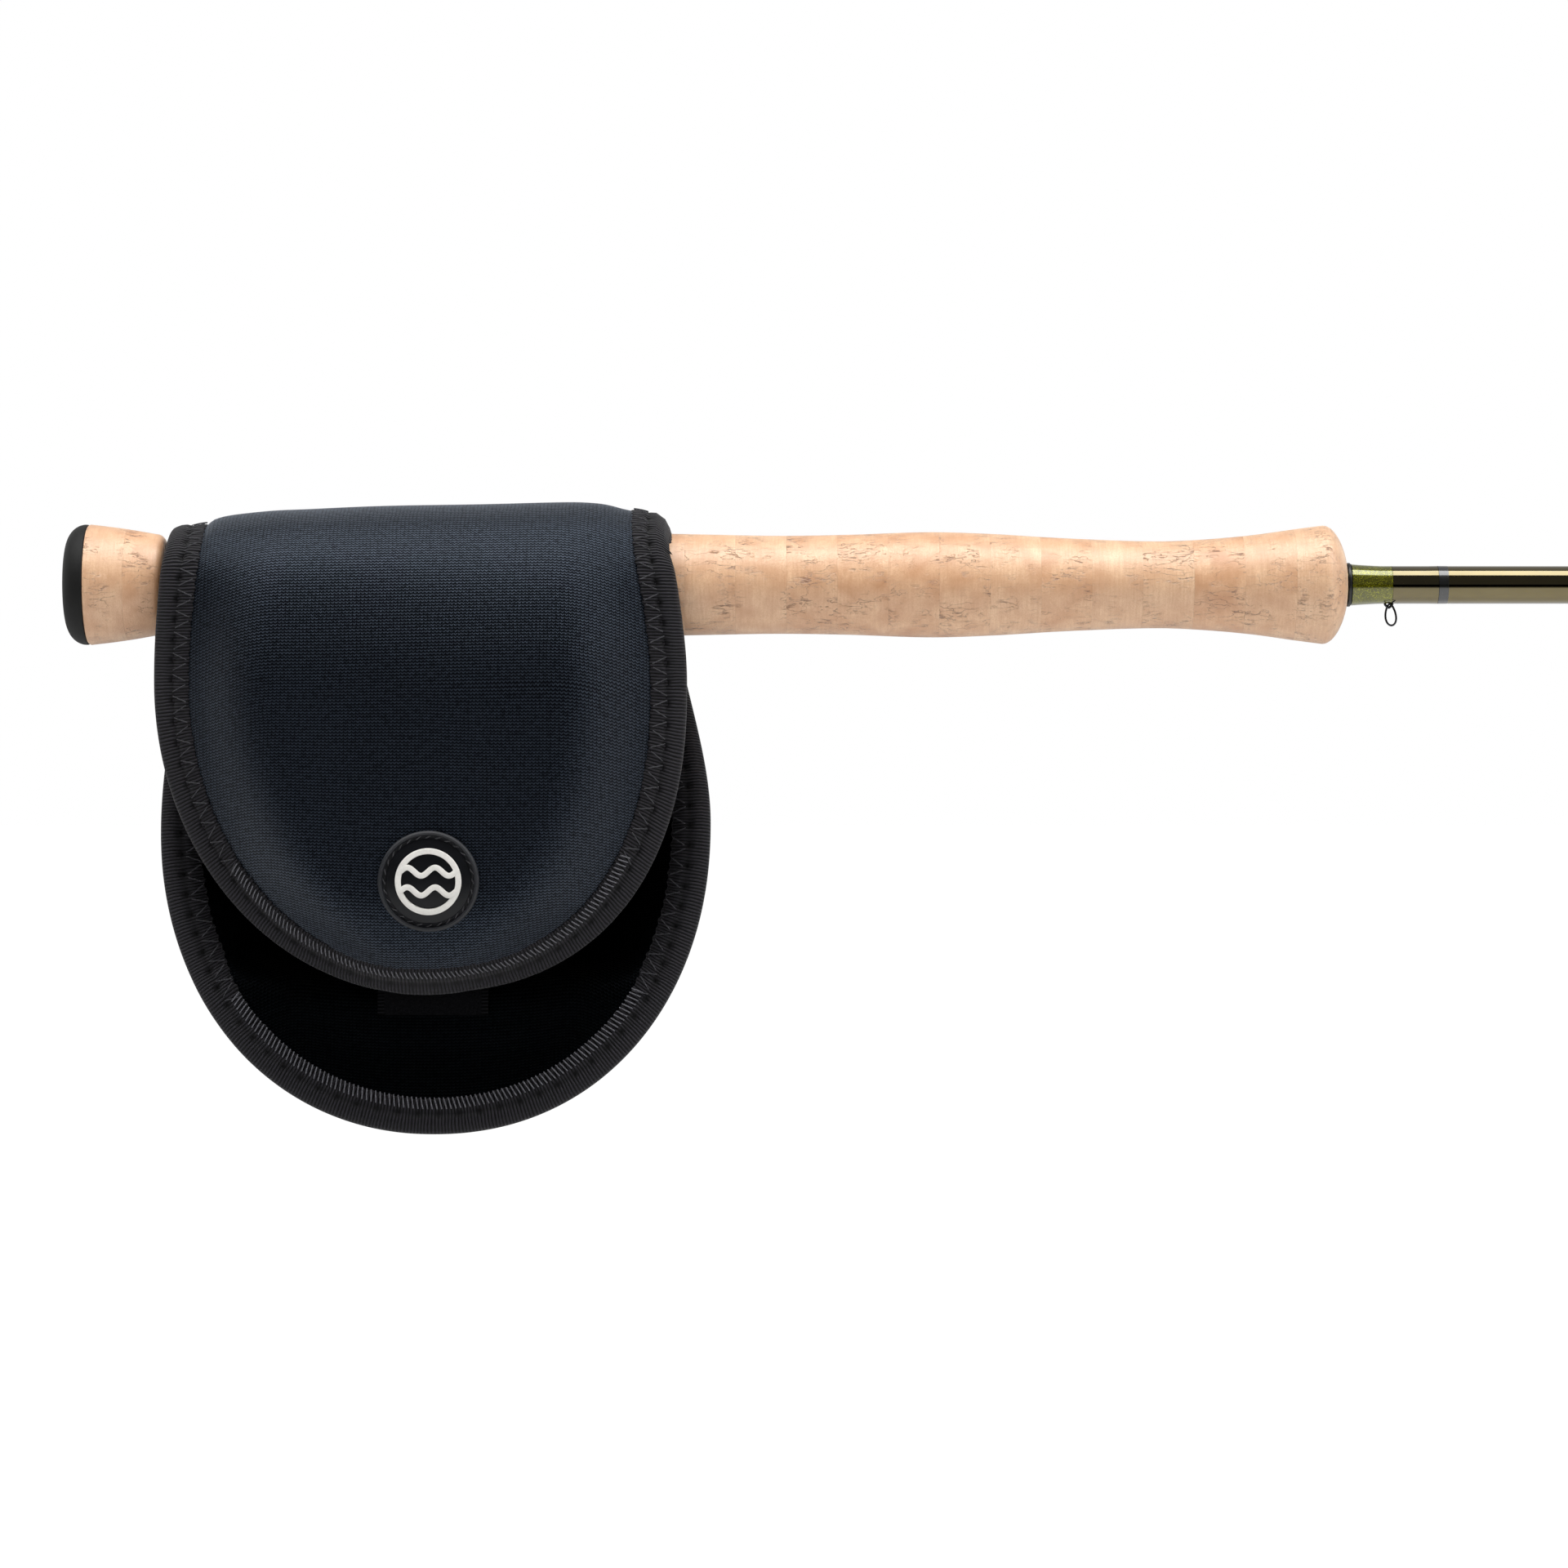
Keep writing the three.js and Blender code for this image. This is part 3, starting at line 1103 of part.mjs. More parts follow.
/** The moulded badge: a disc with a raised rim, and a ring with two waves across it. */
function addBadge(surface, back) {
  const badgeX = pouchX + BADGE_SHIFT;
  const disc = (radius) => plate(circleOutline(badgeX, -BADGE_DROP, radius), -FULL_REACH, 0);
  const hoop = (outer, wide) => cut(disc(outer), disc(outer - wide));
  const floor = back + BADGE_THICKNESS * 0.5;
  const face = clothBand(surface, back, floor).intersect(disc(BADGE_RADIUS));
  const rim = clothBand(surface, back, back + BADGE_THICKNESS).intersect(hoop(BADGE_RADIUS, BADGE_RIM));
  piece('badge_base', join(face, rim), 'badge');

  const waves = [-1, 1].map((side) => {
    const crest = (x) => -BADGE_DROP + side * 2.3 + Math.sin((Math.PI * x) / 3.4);
    const xs = Array.from({ length: 13 }, (_, index) => (index - 6) * ((MOTIF_RADIUS - 0.4) / 6));
    const upper = xs.map((x) => [badgeX + x, crest(x) + MOTIF_LINE / 2]);
    const lower = xs.map((x) => [badgeX + x, crest(x) - MOTIF_LINE / 2]);
    return plate([...upper, ...lower.reverse()], -FULL_REACH, 0).intersect(disc(MOTIF_RADIUS));
  });
  const lines = join(hoop(MOTIF_RADIUS, MOTIF_LINE), ...waves);
  const raised = clothBand(surface, floor + NEST_GAP, floor + NEST_GAP + BADGE_THICKNESS * 0.45);
  piece('badge_motif', raised.intersect(lines), 'motif');
}

function addPouch() {
  const [flapMiddle, shellMiddle] = [flapSurface(), shellSurface()];
  const flap = boundPanel(FLAP, flapMiddle);
  const shell = boundPanel(SHELL, shellMiddle);
  const hingeRadius = bindingHalf + FOLD_CROWN / 2 + SEAT_GAP;
  const hingeRoom = turnedX(bar(pouchX - FULL_REACH, pouchX + FULL_REACH, hingeRadius)).translate([0, 0, hingeZ]);
  piece('pouch_flap', flap.sheet, 'cloth');
  piece('flap_binding', flap.binding, 'binding');
  piece('pouch_shell', cut(shell.sheet, hingeRoom), 'cloth');
  piece('shell_binding', cut(shell.binding, hingeRoom), 'binding');

  const inner = NEOPRENE / 2 + SEAT_GAP;
  const patchX = pouchX + SHELL_SHIFT;
  const patch = (surface, near, far, top, height) => {
    const half = PATCH_WIDTH / 2;
    const window = block([patchX - half, -FULL_REACH, top - height], [patchX + half, FULL_REACH, top]);
    return clothBand(surface, near, far).intersect(window);
  };
  addBadge(flapMiddle, inner);

  const corners = [-1, 1].map((side) => SHELL_SHIFT + (side * PATCH_WIDTH) / 2);
  const hookTop = -Math.min(...corners.map((x) => dropAt(FLAP, BINDING_WIDTH, x))) + 2 * SEAT_GAP + HOOK_PATCH_HEIGHT;
  const loopTop = -FLAP_DROP - LOOP_PATCH_SHOWS + LOOP_PATCH_HEIGHT;
  piece('hook_tape', patch(flapMiddle, -inner - PATCH_THICKNESS, -inner, hookTop, HOOK_PATCH_HEIGHT), 'patch');
  piece('loop_tape', patch(shellMiddle, inner, inner + PATCH_THICKNESS, loopTop, LOOP_PATCH_HEIGHT), 'patch');
}

// ---------------------------------------------------------------------------------------------
// Line guides
// ---------------------------------------------------------------------------------------------

/** Stations of the guides, from the tip back. */
function guideStations(count) {
  const stations = [];
  let station = rodLength;
  for (let index = 0; index < count; index += 1) {
    station -= TIP_SPACING + index * SPACING_GROWTH;
    stations.push(station);
  }
  return stations;
}

function addSnakeGuide(name, station) {
  const half = SNAKE_LENGTH / 2;
  const foot = half * 0.45;
  const under = (x) => -rodRadius(station + x) - SNAKE_WIRE_RADIUS - RUN_GAP;
  const lowest = under(0) - SNAKE_HEIGHT;
  const path = curveThrough([
    [at(station) - half, 0, under(-half)],
    [at(station) - foot, 0, under(-foot)],
    [at(station) - foot * 0.55, -1.9, (under(0) + lowest) / 2],
    [at(station), 0, lowest],
    [at(station) + foot * 0.55, 1.9, (under(0) + lowest) / 2],
    [at(station) + foot, 0, under(foot)],
    [at(station) + half, 0, under(half)],
  ]);
  piece(name, wire(path, SNAKE_WIRE_RADIUS, 14), 'steel');
}

function addStrippingGuide(name, station, ringRadius) {
  const wireRadius = STRIPPER_WIRE_RADIUS;
  const under = (x) => -rodRadius(station + x) - wireRadius - NEST_GAP;
  const centre = under(0) - STRIPPER_STANCE - ringRadius + 8;
  const x = at(station);
  const ring = wireRing(x, centre, ringRadius, wireRadius);
  const legs = [-1, 1].map((side) => {
    const angle = rad(38);
    const grip = [x, side * ringRadius * Math.sin(angle), centre + ringRadius * Math.cos(angle)];
    return wire(curveThrough([
      grip,
      [x + 5, side * 2.4, (centre + ringRadius + under(6)) / 2],
      [x + 10, side * 0.9, under(10) - 0.4],
      [x + 21, side * 0.7, under(21)],
    ]), wireRadius, 8);
  });
  const strut = wire(curveThrough([
    [x, 0, centre + ringRadius],
    [x - 5, 0, under(-6) - 1.8],
    [x - 9, 0, under(-9) - 0.2],
    [x - 17, 0, under(-17)],
  ]), wireRadius, 7);
  piece(`${name}_frame`, join(ring, ...legs, strut), 'gunmetal');
  const ceramic = wireRing(x, centre, ringRadius - wireRadius - CERAMIC_RADIUS - NEST_GAP, CERAMIC_RADIUS);
  piece(`${name}_ring`, ceramic, 'ceramic');
}

function addTipTop() {
  const bore = SECTION_4_TIP_RADIUS + NEST_GAP + 0.1;
  const outer = bore + 0.5;
  const start = rodLength - TIP_TUBE_LENGTH;
  const sleeve = turnedX(tube(at(start), at(rodLength + 1), bore, outer), SMALL_ROUND);
  const plug = turnedX(bar(at(rodLength + SEAT_GAP), at(rodLength + 1.4), outer), SMALL_ROUND);
  const loop = wireRing(at(rodLength) + 1, -outer - TIP_LOOP_RADIUS + 0.9, TIP_LOOP_RADIUS, 0.6);
  piece('tip_top', join(sleeve, plug, loop), 'steel');
}

function addUpperRod() {
  SECTIONS.slice(1).forEach((section, index) => {
    piece(`rod_section_${index + 2}`, blankSection(section), 'blank');
  });
  const stations = guideStations(SNAKE_GUIDES + STRIPPER_RING_RADII.length).reverse();
  STRIPPER_RING_RADII.forEach((radius, index) => {
    addStrippingGuide(`stripping_guide_${index + 1}`, stations[index], radius);
  });
  stations.slice(STRIPPER_RING_RADII.length).forEach((station, index) => {
    addSnakeGuide(`snake_guide_${index + 1}`, station);
  });
  addTipTop();
}

// ---------------------------------------------------------------------------------------------
// The whole object
// ---------------------------------------------------------------------------------------------

addFightingButt();
addReelSeat();
addGrip();
addButtSection();
addHookKeeper();
addReelFoot();
addReelFrame();
addDrag();
addClicker();
addSpool();
addPouch();
addUpperRod();

export default rodAndReel;
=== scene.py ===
"""A nine-foot fly rod with its reel in a folded neoprene pouch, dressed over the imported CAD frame.

The CAD's own frame is kept: the rod lies along +X with the middle of its grip at the origin, the
reel hangs below it inside the pouch, and the pouch's flap faces -Y. Shapes are worked out in
millimetres and stored in metres.
"""

import json
import logging
import math
from collections.abc import Iterable, Sequence
from dataclasses import dataclass, field
from enum import Enum

import bmesh
import bpy
import numpy as np
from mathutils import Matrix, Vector
from mathutils.kdtree import KDTree

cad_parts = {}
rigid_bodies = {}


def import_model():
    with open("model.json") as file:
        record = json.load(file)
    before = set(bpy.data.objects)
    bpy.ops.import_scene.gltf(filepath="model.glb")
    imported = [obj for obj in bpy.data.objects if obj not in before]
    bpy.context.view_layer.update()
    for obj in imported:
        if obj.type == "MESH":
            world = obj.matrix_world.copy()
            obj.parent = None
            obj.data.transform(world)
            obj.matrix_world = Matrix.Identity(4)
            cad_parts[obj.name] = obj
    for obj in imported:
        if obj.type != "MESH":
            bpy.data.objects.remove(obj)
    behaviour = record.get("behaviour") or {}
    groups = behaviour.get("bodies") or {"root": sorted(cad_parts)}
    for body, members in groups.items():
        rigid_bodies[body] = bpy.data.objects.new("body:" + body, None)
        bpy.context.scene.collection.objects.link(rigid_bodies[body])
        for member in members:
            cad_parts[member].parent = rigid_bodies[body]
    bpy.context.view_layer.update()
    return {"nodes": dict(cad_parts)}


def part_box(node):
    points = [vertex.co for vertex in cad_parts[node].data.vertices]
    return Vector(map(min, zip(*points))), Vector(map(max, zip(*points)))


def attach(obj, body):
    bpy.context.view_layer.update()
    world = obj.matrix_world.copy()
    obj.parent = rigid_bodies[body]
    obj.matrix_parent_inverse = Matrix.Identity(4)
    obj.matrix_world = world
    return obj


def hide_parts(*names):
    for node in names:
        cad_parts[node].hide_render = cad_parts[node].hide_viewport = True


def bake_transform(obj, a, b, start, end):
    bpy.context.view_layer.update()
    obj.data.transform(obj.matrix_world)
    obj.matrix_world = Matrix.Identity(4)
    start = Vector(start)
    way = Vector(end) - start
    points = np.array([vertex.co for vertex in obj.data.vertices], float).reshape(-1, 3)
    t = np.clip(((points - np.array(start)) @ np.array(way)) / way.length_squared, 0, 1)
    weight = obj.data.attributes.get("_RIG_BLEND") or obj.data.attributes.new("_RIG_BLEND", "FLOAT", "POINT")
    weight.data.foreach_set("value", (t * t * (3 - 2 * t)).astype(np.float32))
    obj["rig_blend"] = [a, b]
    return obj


MM = 0.001
LOG = logging.getLogger("fly_rod")

for start_up_object in list(bpy.data.objects):
    bpy.data.objects.remove(start_up_object)
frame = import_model()


# ---------------------------------------- Numbers and curves ----------------------------------------


def ease(t: np.ndarray | float) -> np.ndarray:
    """A smooth step from 0 to 1, flat at both ends."""
    t = np.clip(t, 0.0, 1.0)
    return t * t * t * (t * (6 * t - 15) + 10)


def step_between(value: np.ndarray | float, low: float, high: float) -> np.ndarray:
    """A cubic step from 0 at low to 1 at high."""
    t = np.clip((np.asarray(value, float) - low) / (high - low), 0.0, 1.0)
    return t * t * (3 - 2 * t)


def mixed(a: np.ndarray | float, b: np.ndarray | float, t: np.ndarray | float) -> np.ndarray:
    """The value a share t of the way from a to b."""
    return a + (b - a) * t


def unit(vectors: np.ndarray) -> np.ndarray:
    """Vectors brought to length 1."""
    return vectors / np.maximum(np.linalg.norm(vectors, axis=-1, keepdims=True), 1e-12)


def spline_at(knots: Sequence[Sequence[float]], v: np.ndarray) -> np.ndarray:
    """Points of a Catmull-Rom curve.

    Args:
        knots: The points that the curve goes through.
        v: Places along it from 0 to 1, in equal steps from knot to knot.

    Returns:
        One point for each place.
    """
    knots = np.asarray(knots, float)
    last = len(knots) - 1
    place = np.clip(v, 0.0, 1.0) * last
    index = np.minimum(place.astype(int), last - 1)
    t = (place - index)[..., None]
    before, start = knots[np.maximum(index - 1, 0)], knots[index]
    end, after = knots[index + 1], knots[np.minimum(index + 2, last)]
    slope_in, slope_out = (end - before) / 2, (after - start) / 2
    cubic = 2 * start - 2 * end + slope_in + slope_out
    square = -3 * start + 3 * end - 2 * slope_in - slope_out
    return ((cubic * t + square) * t + slope_in) * t + start


def smooth_path(knots: Sequence[Sequence[float]], count: int) -> np.ndarray:
    """A number of points, evenly spaced along a smooth curve through the knots."""
    fine = spline_at(knots, np.linspace(0, 1, 24 * len(knots)))
    length = run_along(fine)
    wanted = np.linspace(0, length[-1], count)
    return np.stack([np.interp(wanted, length, fine[:, k]) for k in range(fine.shape[1])], axis=1)


def ripple(places: np.ndarray, pitch: float, seed: int) -> np.ndarray:
    """Smooth random waves from -1 to 1 along a line, with knots a pitch apart."""
    low = float(places.min())
    count = int((float(places.max()) - low) / pitch) + 4
    values = np.random.default_rng(seed).uniform(-1, 1, count)
    place = (places - low) / pitch
    index = place.astype(int)
    t = ease(place - index)
    return mixed(values[index], values[index + 1], t)


def all_round(count: int) -> np.ndarray:
    """Even angles round a circle."""
    return np.linspace(0, 2 * math.pi, count, endpoint=False)


def run_along(points: np.ndarray) -> np.ndarray:
    """How far each point of a line is along it."""
    return np.concatenate([[0.0], np.cumsum(np.linalg.norm(np.diff(points, axis=0), axis=1))])


def softened(profile: Sequence[Sequence[float]], radius: float, steps: int = 3) -> list[tuple[float, float]]:
    """Rounds the corners of a profile.

    Args:
        profile: Points [along, radius]; the same first and last point makes it a closed loop.
        radius: Distance from each corner at which its rounding starts.
        steps: Points in each rounding.

    Returns:
        The profile with its corners rounded.
    """
    points = [np.asarray(p, float) for p in profile]
    closed = bool(np.allclose(points[0], points[-1]))
    if closed:
        points = points[:-1]
    rounded: list[tuple[float, float]] = []
    for index, here in enumerate(points):
        if not closed and index in (0, len(points) - 1):
            rounded.append((float(here[0]), float(here[1])))
            continue
        back, ahead = points[index - 1] - here, points[(index + 1) % len(points)] - here
        reach = min(radius, 0.45 * np.linalg.norm(back), 0.45 * np.linalg.norm(ahead))
        start, end = here + unit(back) * reach, here + unit(ahead) * reach
        for t in np.linspace(0, 1, steps):
            point = (1 - t) ** 2 * start + 2 * t * (1 - t) * here + t * t * end
            rounded.append((float(point[0]), float(point[1])))
    if closed:
        rounded.append(rounded[0])
    return rounded


# ---------------------------------------- Shapes ----------------------------------------


def put(name: str, data: bpy.types.ID) -> bpy.types.Object:
    """A new object in the scene, at the origin."""
    thing = bpy.data.objects.new(name, data)
    bpy.context.scene.collection.objects.link(thing)
    return thing


def plain_mesh(carrier: bpy.types.Object) -> bpy.types.Mesh:
    """The mesh that an object comes to with its modifiers or bevels; the object itself goes."""
    bpy.context.view_layer.update()
    mesh = bpy.data.meshes.new_from_object(carrier.evaluated_get(bpy.context.evaluated_depsgraph_get()))
    bpy.data.objects.remove(carrier)
    return mesh


class Axis(Enum):
    """The direction that a turned shape is turned about."""

    ROD = "x"
    SPINDLE = "y"


@dataclass
class Shape:
    """Points in millimetres and the faces between them, with a place on the cloth or tape for each point."""

    points: np.ndarray
    faces: list[tuple[int, ...]]
    layout: np.ndarray | None = None
    face_finish: list[int] | None = None

    def joined(self, *others: "Shape") -> "Shape":
        """This shape and others as one."""
        shapes = [self, *others]
        offsets = np.cumsum([0] + [len(shape.points) for shape in shapes])
        faces = [tuple(int(i) + int(o) for i in face) for shape, o in zip(shapes, offsets) for face in shape.faces]
        layouts = [shape.layout if shape.layout is not None else np.zeros((len(shape.points), 2)) for shape in shapes]
        finishes = [k for shape in shapes for k in (shape.face_finish or [0] * len(shape.faces))]
        return Shape(np.concatenate([shape.points for shape in shapes]), faces, np.concatenate(layouts), finishes)

    def facing_out(self) -> "Shape":
        """The shape with its faces pointing outwards."""
        volume = 0.0
        for face in self.faces:
            a = self.points[face[0]]
            for i, j in zip(face[1:-1], face[2:]):
                volume += float(np.dot(a, np.cross(self.points[i], self.points[j])))
        if volume >= 0:
            return self
        return Shape(self.points, [face[::-1] for face in self.faces], self.layout, self.face_finish)

    def piece(self, name: str, *materials: bpy.types.Material, crease: float = 38.0) -> bpy.types.Object:
        """Makes the Blender object, with smooth shading but for faces square to the spindle.

        Args:
            name: The object's name.
            materials: Its materials, in the order that face_finish counts them.
            crease: Edges sharper than this many degrees stay sharp.

        Returns:
            The object, at the origin.
        """
        mesh = bpy.data.meshes.new(name)
        mesh.from_pydata((self.points * MM).tolist(), [], self.faces)
        for material in materials:
            mesh.materials.append(material)
        if self.face_finish is not None:
            mesh.polygons.foreach_set("material_index", self.face_finish)
        if self.layout is not None:
            corner_point = np.zeros(len(mesh.loops), int)
            mesh.loops.foreach_get("vertex_index", corner_point)
            mesh.uv_layers.new(name="UVMap").data.foreach_set("uv", (self.layout[corner_point] * MM).ravel())
        work = bmesh.new()
        work.from_mesh(mesh)
        bmesh.ops.remove_doubles(work, verts=work.verts, dist=2e-6)
        bmesh.ops.dissolve_degenerate(work, edges=work.edges, dist=1e-7)
        work.to_mesh(mesh)
        work.free()
        mesh.set_sharp_from_angle(angle=math.radians(crease))
        mesh.polygons.foreach_set("use_smooth", [abs(face.normal.y) < 0.9999 for face in mesh.polygons])
        return put(name, mesh)


def grid_faces(
    rows: int, columns: int, loop_rows: bool = False, loop_columns: bool = False, capped: bool = False
) -> list[tuple[int, ...]]:
    """The four-sided faces of a grid of points, stored row by row, and if asked the two ends of its tube."""
    faces = []
    for row in range(rows if loop_rows else rows - 1):
        below = (row + 1) % rows
        for column in range(columns if loop_columns else columns - 1):
            beside = (column + 1) % columns
            upper, lower = row * columns, below * columns
            faces.append((upper + column, upper + beside, lower + beside, lower + column))
    if capped:
        faces.append(tuple(range(columns))[::-1])
        faces.append(tuple((rows - 1) * columns + k for k in range(columns)))
    return faces


def sheet_faces(rows: int, columns: int) -> tuple[list[tuple[int, ...]], list[tuple[int, ...]], list[tuple[int, ...]]]:
    """The front, back and rim faces of a closed sheet, whose back points follow all of its front points."""
    count = rows * columns
    front = grid_faces(rows, columns)
    back = [tuple(i + count for i in face[::-1]) for face in front]
    loop = [
        *range(columns), *(r * columns + columns - 1 for r in range(1, rows)),
        *(count - 2 - k for k in range(columns - 1)), *((rows - 1 - r) * columns for r in range(1, rows - 1)),
    ]
    return front, back, [(a, a + count, b + count, b) for a, b in zip(loop, [*loop[1:], loop[0]])]


def turned(
    profile: Sequence[Sequence[float]],
    axis: Axis = Axis.ROD,
    centre: Sequence[float] = (0.0, 0.0),
    segments: int = 72,
    start: float = 0.0,
    sweep: float = 360.0,
) -> Shape:
    """A shape turned about the rod's or the spindle's direction.

    Args:
        profile: Points [along, radius], from axis to axis or as a closed loop.
        axis: The direction that it is turned about.
        centre: Where the axis is, across it: (y, z) for the rod's direction, (x, z) for the spindle's.
        segments: Steps round it.
        start: The angle of its first point, in degrees.
        sweep: The angle that it goes through; less than 360 closes its two ends.

    Returns:
        A closed shape.
    """
    outline = np.asarray(profile, float)
    closed = bool(np.allclose(outline[0], outline[-1]))
    if closed:
        outline = outline[:-1]
    whole = sweep >= 359.9
    angles = np.radians(start + np.linspace(0, sweep, segments + (0 if whole else 1), endpoint=not whole))
    along, radius = outline[:, 0][:, None], outline[:, 1][:, None]
    across, up = radius * np.cos(angles)[None, :], radius * np.sin(angles)[None, :]
    along = np.broadcast_to(along, across.shape)
    if axis is Axis.ROD:
        points = np.stack([along, centre[0] + across, centre[1] + up], axis=-1)
    else:
        points = np.stack([centre[0] + across, along, centre[1] + up], axis=-1)
    rows, columns = across.shape
    faces = grid_faces(rows, columns, loop_rows=closed, loop_columns=whole)
    if not whole:
        faces.append(tuple(row * columns for row in range(rows))[::-1])
        faces.append(tuple(row * columns + columns - 1 for row in range(rows)))
    return Shape(points.reshape(-1, 3), faces).facing_out()


def ringed(
    rings: Iterable[tuple[float, np.ndarray | float]],
    count: int,
    axis: Axis = Axis.ROD,
    centre: Sequence[float] = (0.0, 0.0),
) -> Shape:
    """A closed shape of rings about an axis, which may be out of round.

    Args:
        rings: Each ring's place along the axis, and its radius, or its radii at even angles.
        count: Points in each ring.
        axis: The direction of the axis.
        centre: Where the axis is, as for turned.

    Returns:
        The shape, whose last ring joins its first.
    """
    angles = all_round(count)
    rows = []
    for place, radius in rings:
        along = np.full(count, place)
        across, up = centre[0] + radius * np.cos(angles), centre[1] + radius * np.sin(angles)
        rows.append(np.stack([along, across, up] if axis is Axis.ROD else [across, along, up], axis=1))
    faces = grid_faces(len(rows), count, loop_rows=True, loop_columns=True)
    return Shape(np.concatenate(rows), faces).facing_out()


def swept(
    path: np.ndarray,
    section: np.ndarray,
    ups: np.ndarray | None = None,
    looped: bool = False,
) -> Shape:
    """A section carried along a path.

    Args:
        path: Points of the path.
        section: Points (across, up) of the closed section; or one such list for each point of the path.
        ups: The section's up direction at each point; left out, it is carried along without twisting.
        looped: True where the path's last point joins its first.

    Returns:
        A closed shape.
    """
    path = np.asarray(path, float)
    if looped:
        along = unit(np.roll(path, -1, axis=0) - np.roll(path, 1, axis=0))
    else:
        along = unit(np.gradient(path, axis=0))
    if ups is None:
        up = np.cross(along[0], [0.31, 0.17, 0.94])
        carried = []
        for direction in along:
            up = unit(up - direction * np.dot(up, direction))
            carried.append(up)
        ups = np.array(carried)
    sides = unit(np.cross(along, ups))
    ups = unit(np.cross(sides, along))
    section = np.asarray(section, float)
    if section.ndim == 2:
        section = np.broadcast_to(section, (len(path), *section.shape))
    points = path[:, None] + sides[:, None] * section[..., :1] + ups[:, None] * section[..., 1:]
    rows, columns = points.shape[:2]
    faces = grid_faces(rows, columns, loop_rows=looped, loop_columns=True, capped=not looped)
    run = run_along(path)
    layout = np.stack(np.meshgrid(run, np.arange(columns), indexing="ij"), axis=-1).reshape(-1, 2)
    return Shape(points.reshape(-1, 3), faces, layout).facing_out()


def round_section(radius: float, sides: int = 12) -> np.ndarray:
    """The points of a round wire's section."""
    angles = all_round(sides)
    return radius * np.stack([np.cos(angles), np.sin(angles)], axis=1)


def hoop(x: float, z: float, radius: float, wire: float, count: int = 72, sides: int = 14) -> Shape:
    """A ring of round wire, square to the rod."""
    angles = all_round(count)
    path = np.stack([np.full(count, x), radius * np.sin(angles), z + radius * np.cos(angles)], axis=1)
    return swept(path, round_section(wire, sides), looped=True)


def ribbon_section(width: float, height: float, edge: float = 0.2) -> np.ndarray:
    """The points of a flat band's section, with rounded upper edges."""
    half = width / 2
    return np.array([
        [-half, 0], [half, 0], [half, height - edge], [half - edge * 0.3, height - edge * 0.3],
        [half - edge, height], [-half + edge, height],
        [-half + edge * 0.3, height - edge * 0.3], [-half, height - edge],
    ])


def circle_loop(x: float, z: float, radius: float, count: int, first: float = 0.0) -> np.ndarray:
    """Points (x, z) at even angles on a circle round the spindle's direction."""
    angles = np.radians(first) + all_round(count)
    return np.stack([x + radius * np.cos(angles), z + radius * np.sin(angles)], axis=1)


def pierced_plate(outlines: Iterable[np.ndarray], near: float, far: float, edge: float = 0.25) -> Shape:
    """A flat plate across the spindle, with holes and broken edges.

    Args:
        outlines: The plate's outline and its holes, each a closed loop of (x, z).
        near: Y of its front face.
        far: Y of its back face.
        edge: Width of the broken edges.

    Returns:
        A closed shape.
    """
    curve = bpy.data.curves.new("plate", "CURVE")
    curve.dimensions = "2D"
    curve.fill_mode = "BOTH"
    thickness = abs(far - near)
    curve.extrude = thickness / 2 - edge
    curve.bevel_depth = edge
    curve.bevel_resolution = 1
    curve.offset = -edge
    for outline in outlines:
        line = curve.splines.new("POLY")
        line.points.add(len(outline) - 1)
        line.points.foreach_set("co", np.column_stack([outline, np.zeros(len(outline)), np.ones(len(outline))]).ravel())
        line.use_cyclic_u = True
    mesh = plain_mesh(put("plate", curve))
    flat = np.array([v.co for v in mesh.vertices], float).reshape(-1, 3)
    points = np.column_stack([flat[:, 0], (near + far) / 2 - flat[:, 2], flat[:, 1]])
    faces = [tuple(face.vertices) for face in mesh.polygons]
    bpy.data.meshes.remove(mesh)
    bpy.data.curves.remove(curve)
    return Shape(points, faces).facing_out()


def box_of(*nodes: str) -> tuple[np.ndarray, np.ndarray]:
    """The lowest and highest corner of some CAD nodes together, in millimetres."""
    corners = [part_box(node) for node in nodes]
    low = np.min([np.array(c[0]) for c in corners], axis=0) / MM
    high = np.max([np.array(c[1]) for c in corners], axis=0) / MM
    return low, high


def ends_of(node: str, axis: int = 0) -> tuple[float, float]:
    """Where a CAD node starts and ends along an axis, in millimetres."""
    low, high = box_of(node)
    return low[axis], high[axis]


def middle_of(node: str) -> np.ndarray:
    """The middle of a CAD node's box, in millimetres."""
    low, high = box_of(node)
    return (low + high) / 2


# ---------------------------------------- Finishes ----------------------------------------


def colour(code: str) -> tuple[float, float, float, float]:
    """The linear colour of a six-figure colour code."""
    parts = [int(code[k : k + 2], 16) / 255 for k in (1, 3, 5)]
    linear = [p / 12.92 if p <= 0.04045 else ((p + 0.055) / 1.055) ** 2.4 for p in parts]
    return (linear[0], linear[1], linear[2], 1.0)


Socket = bpy.types.NodeSocket
Value = Socket | float


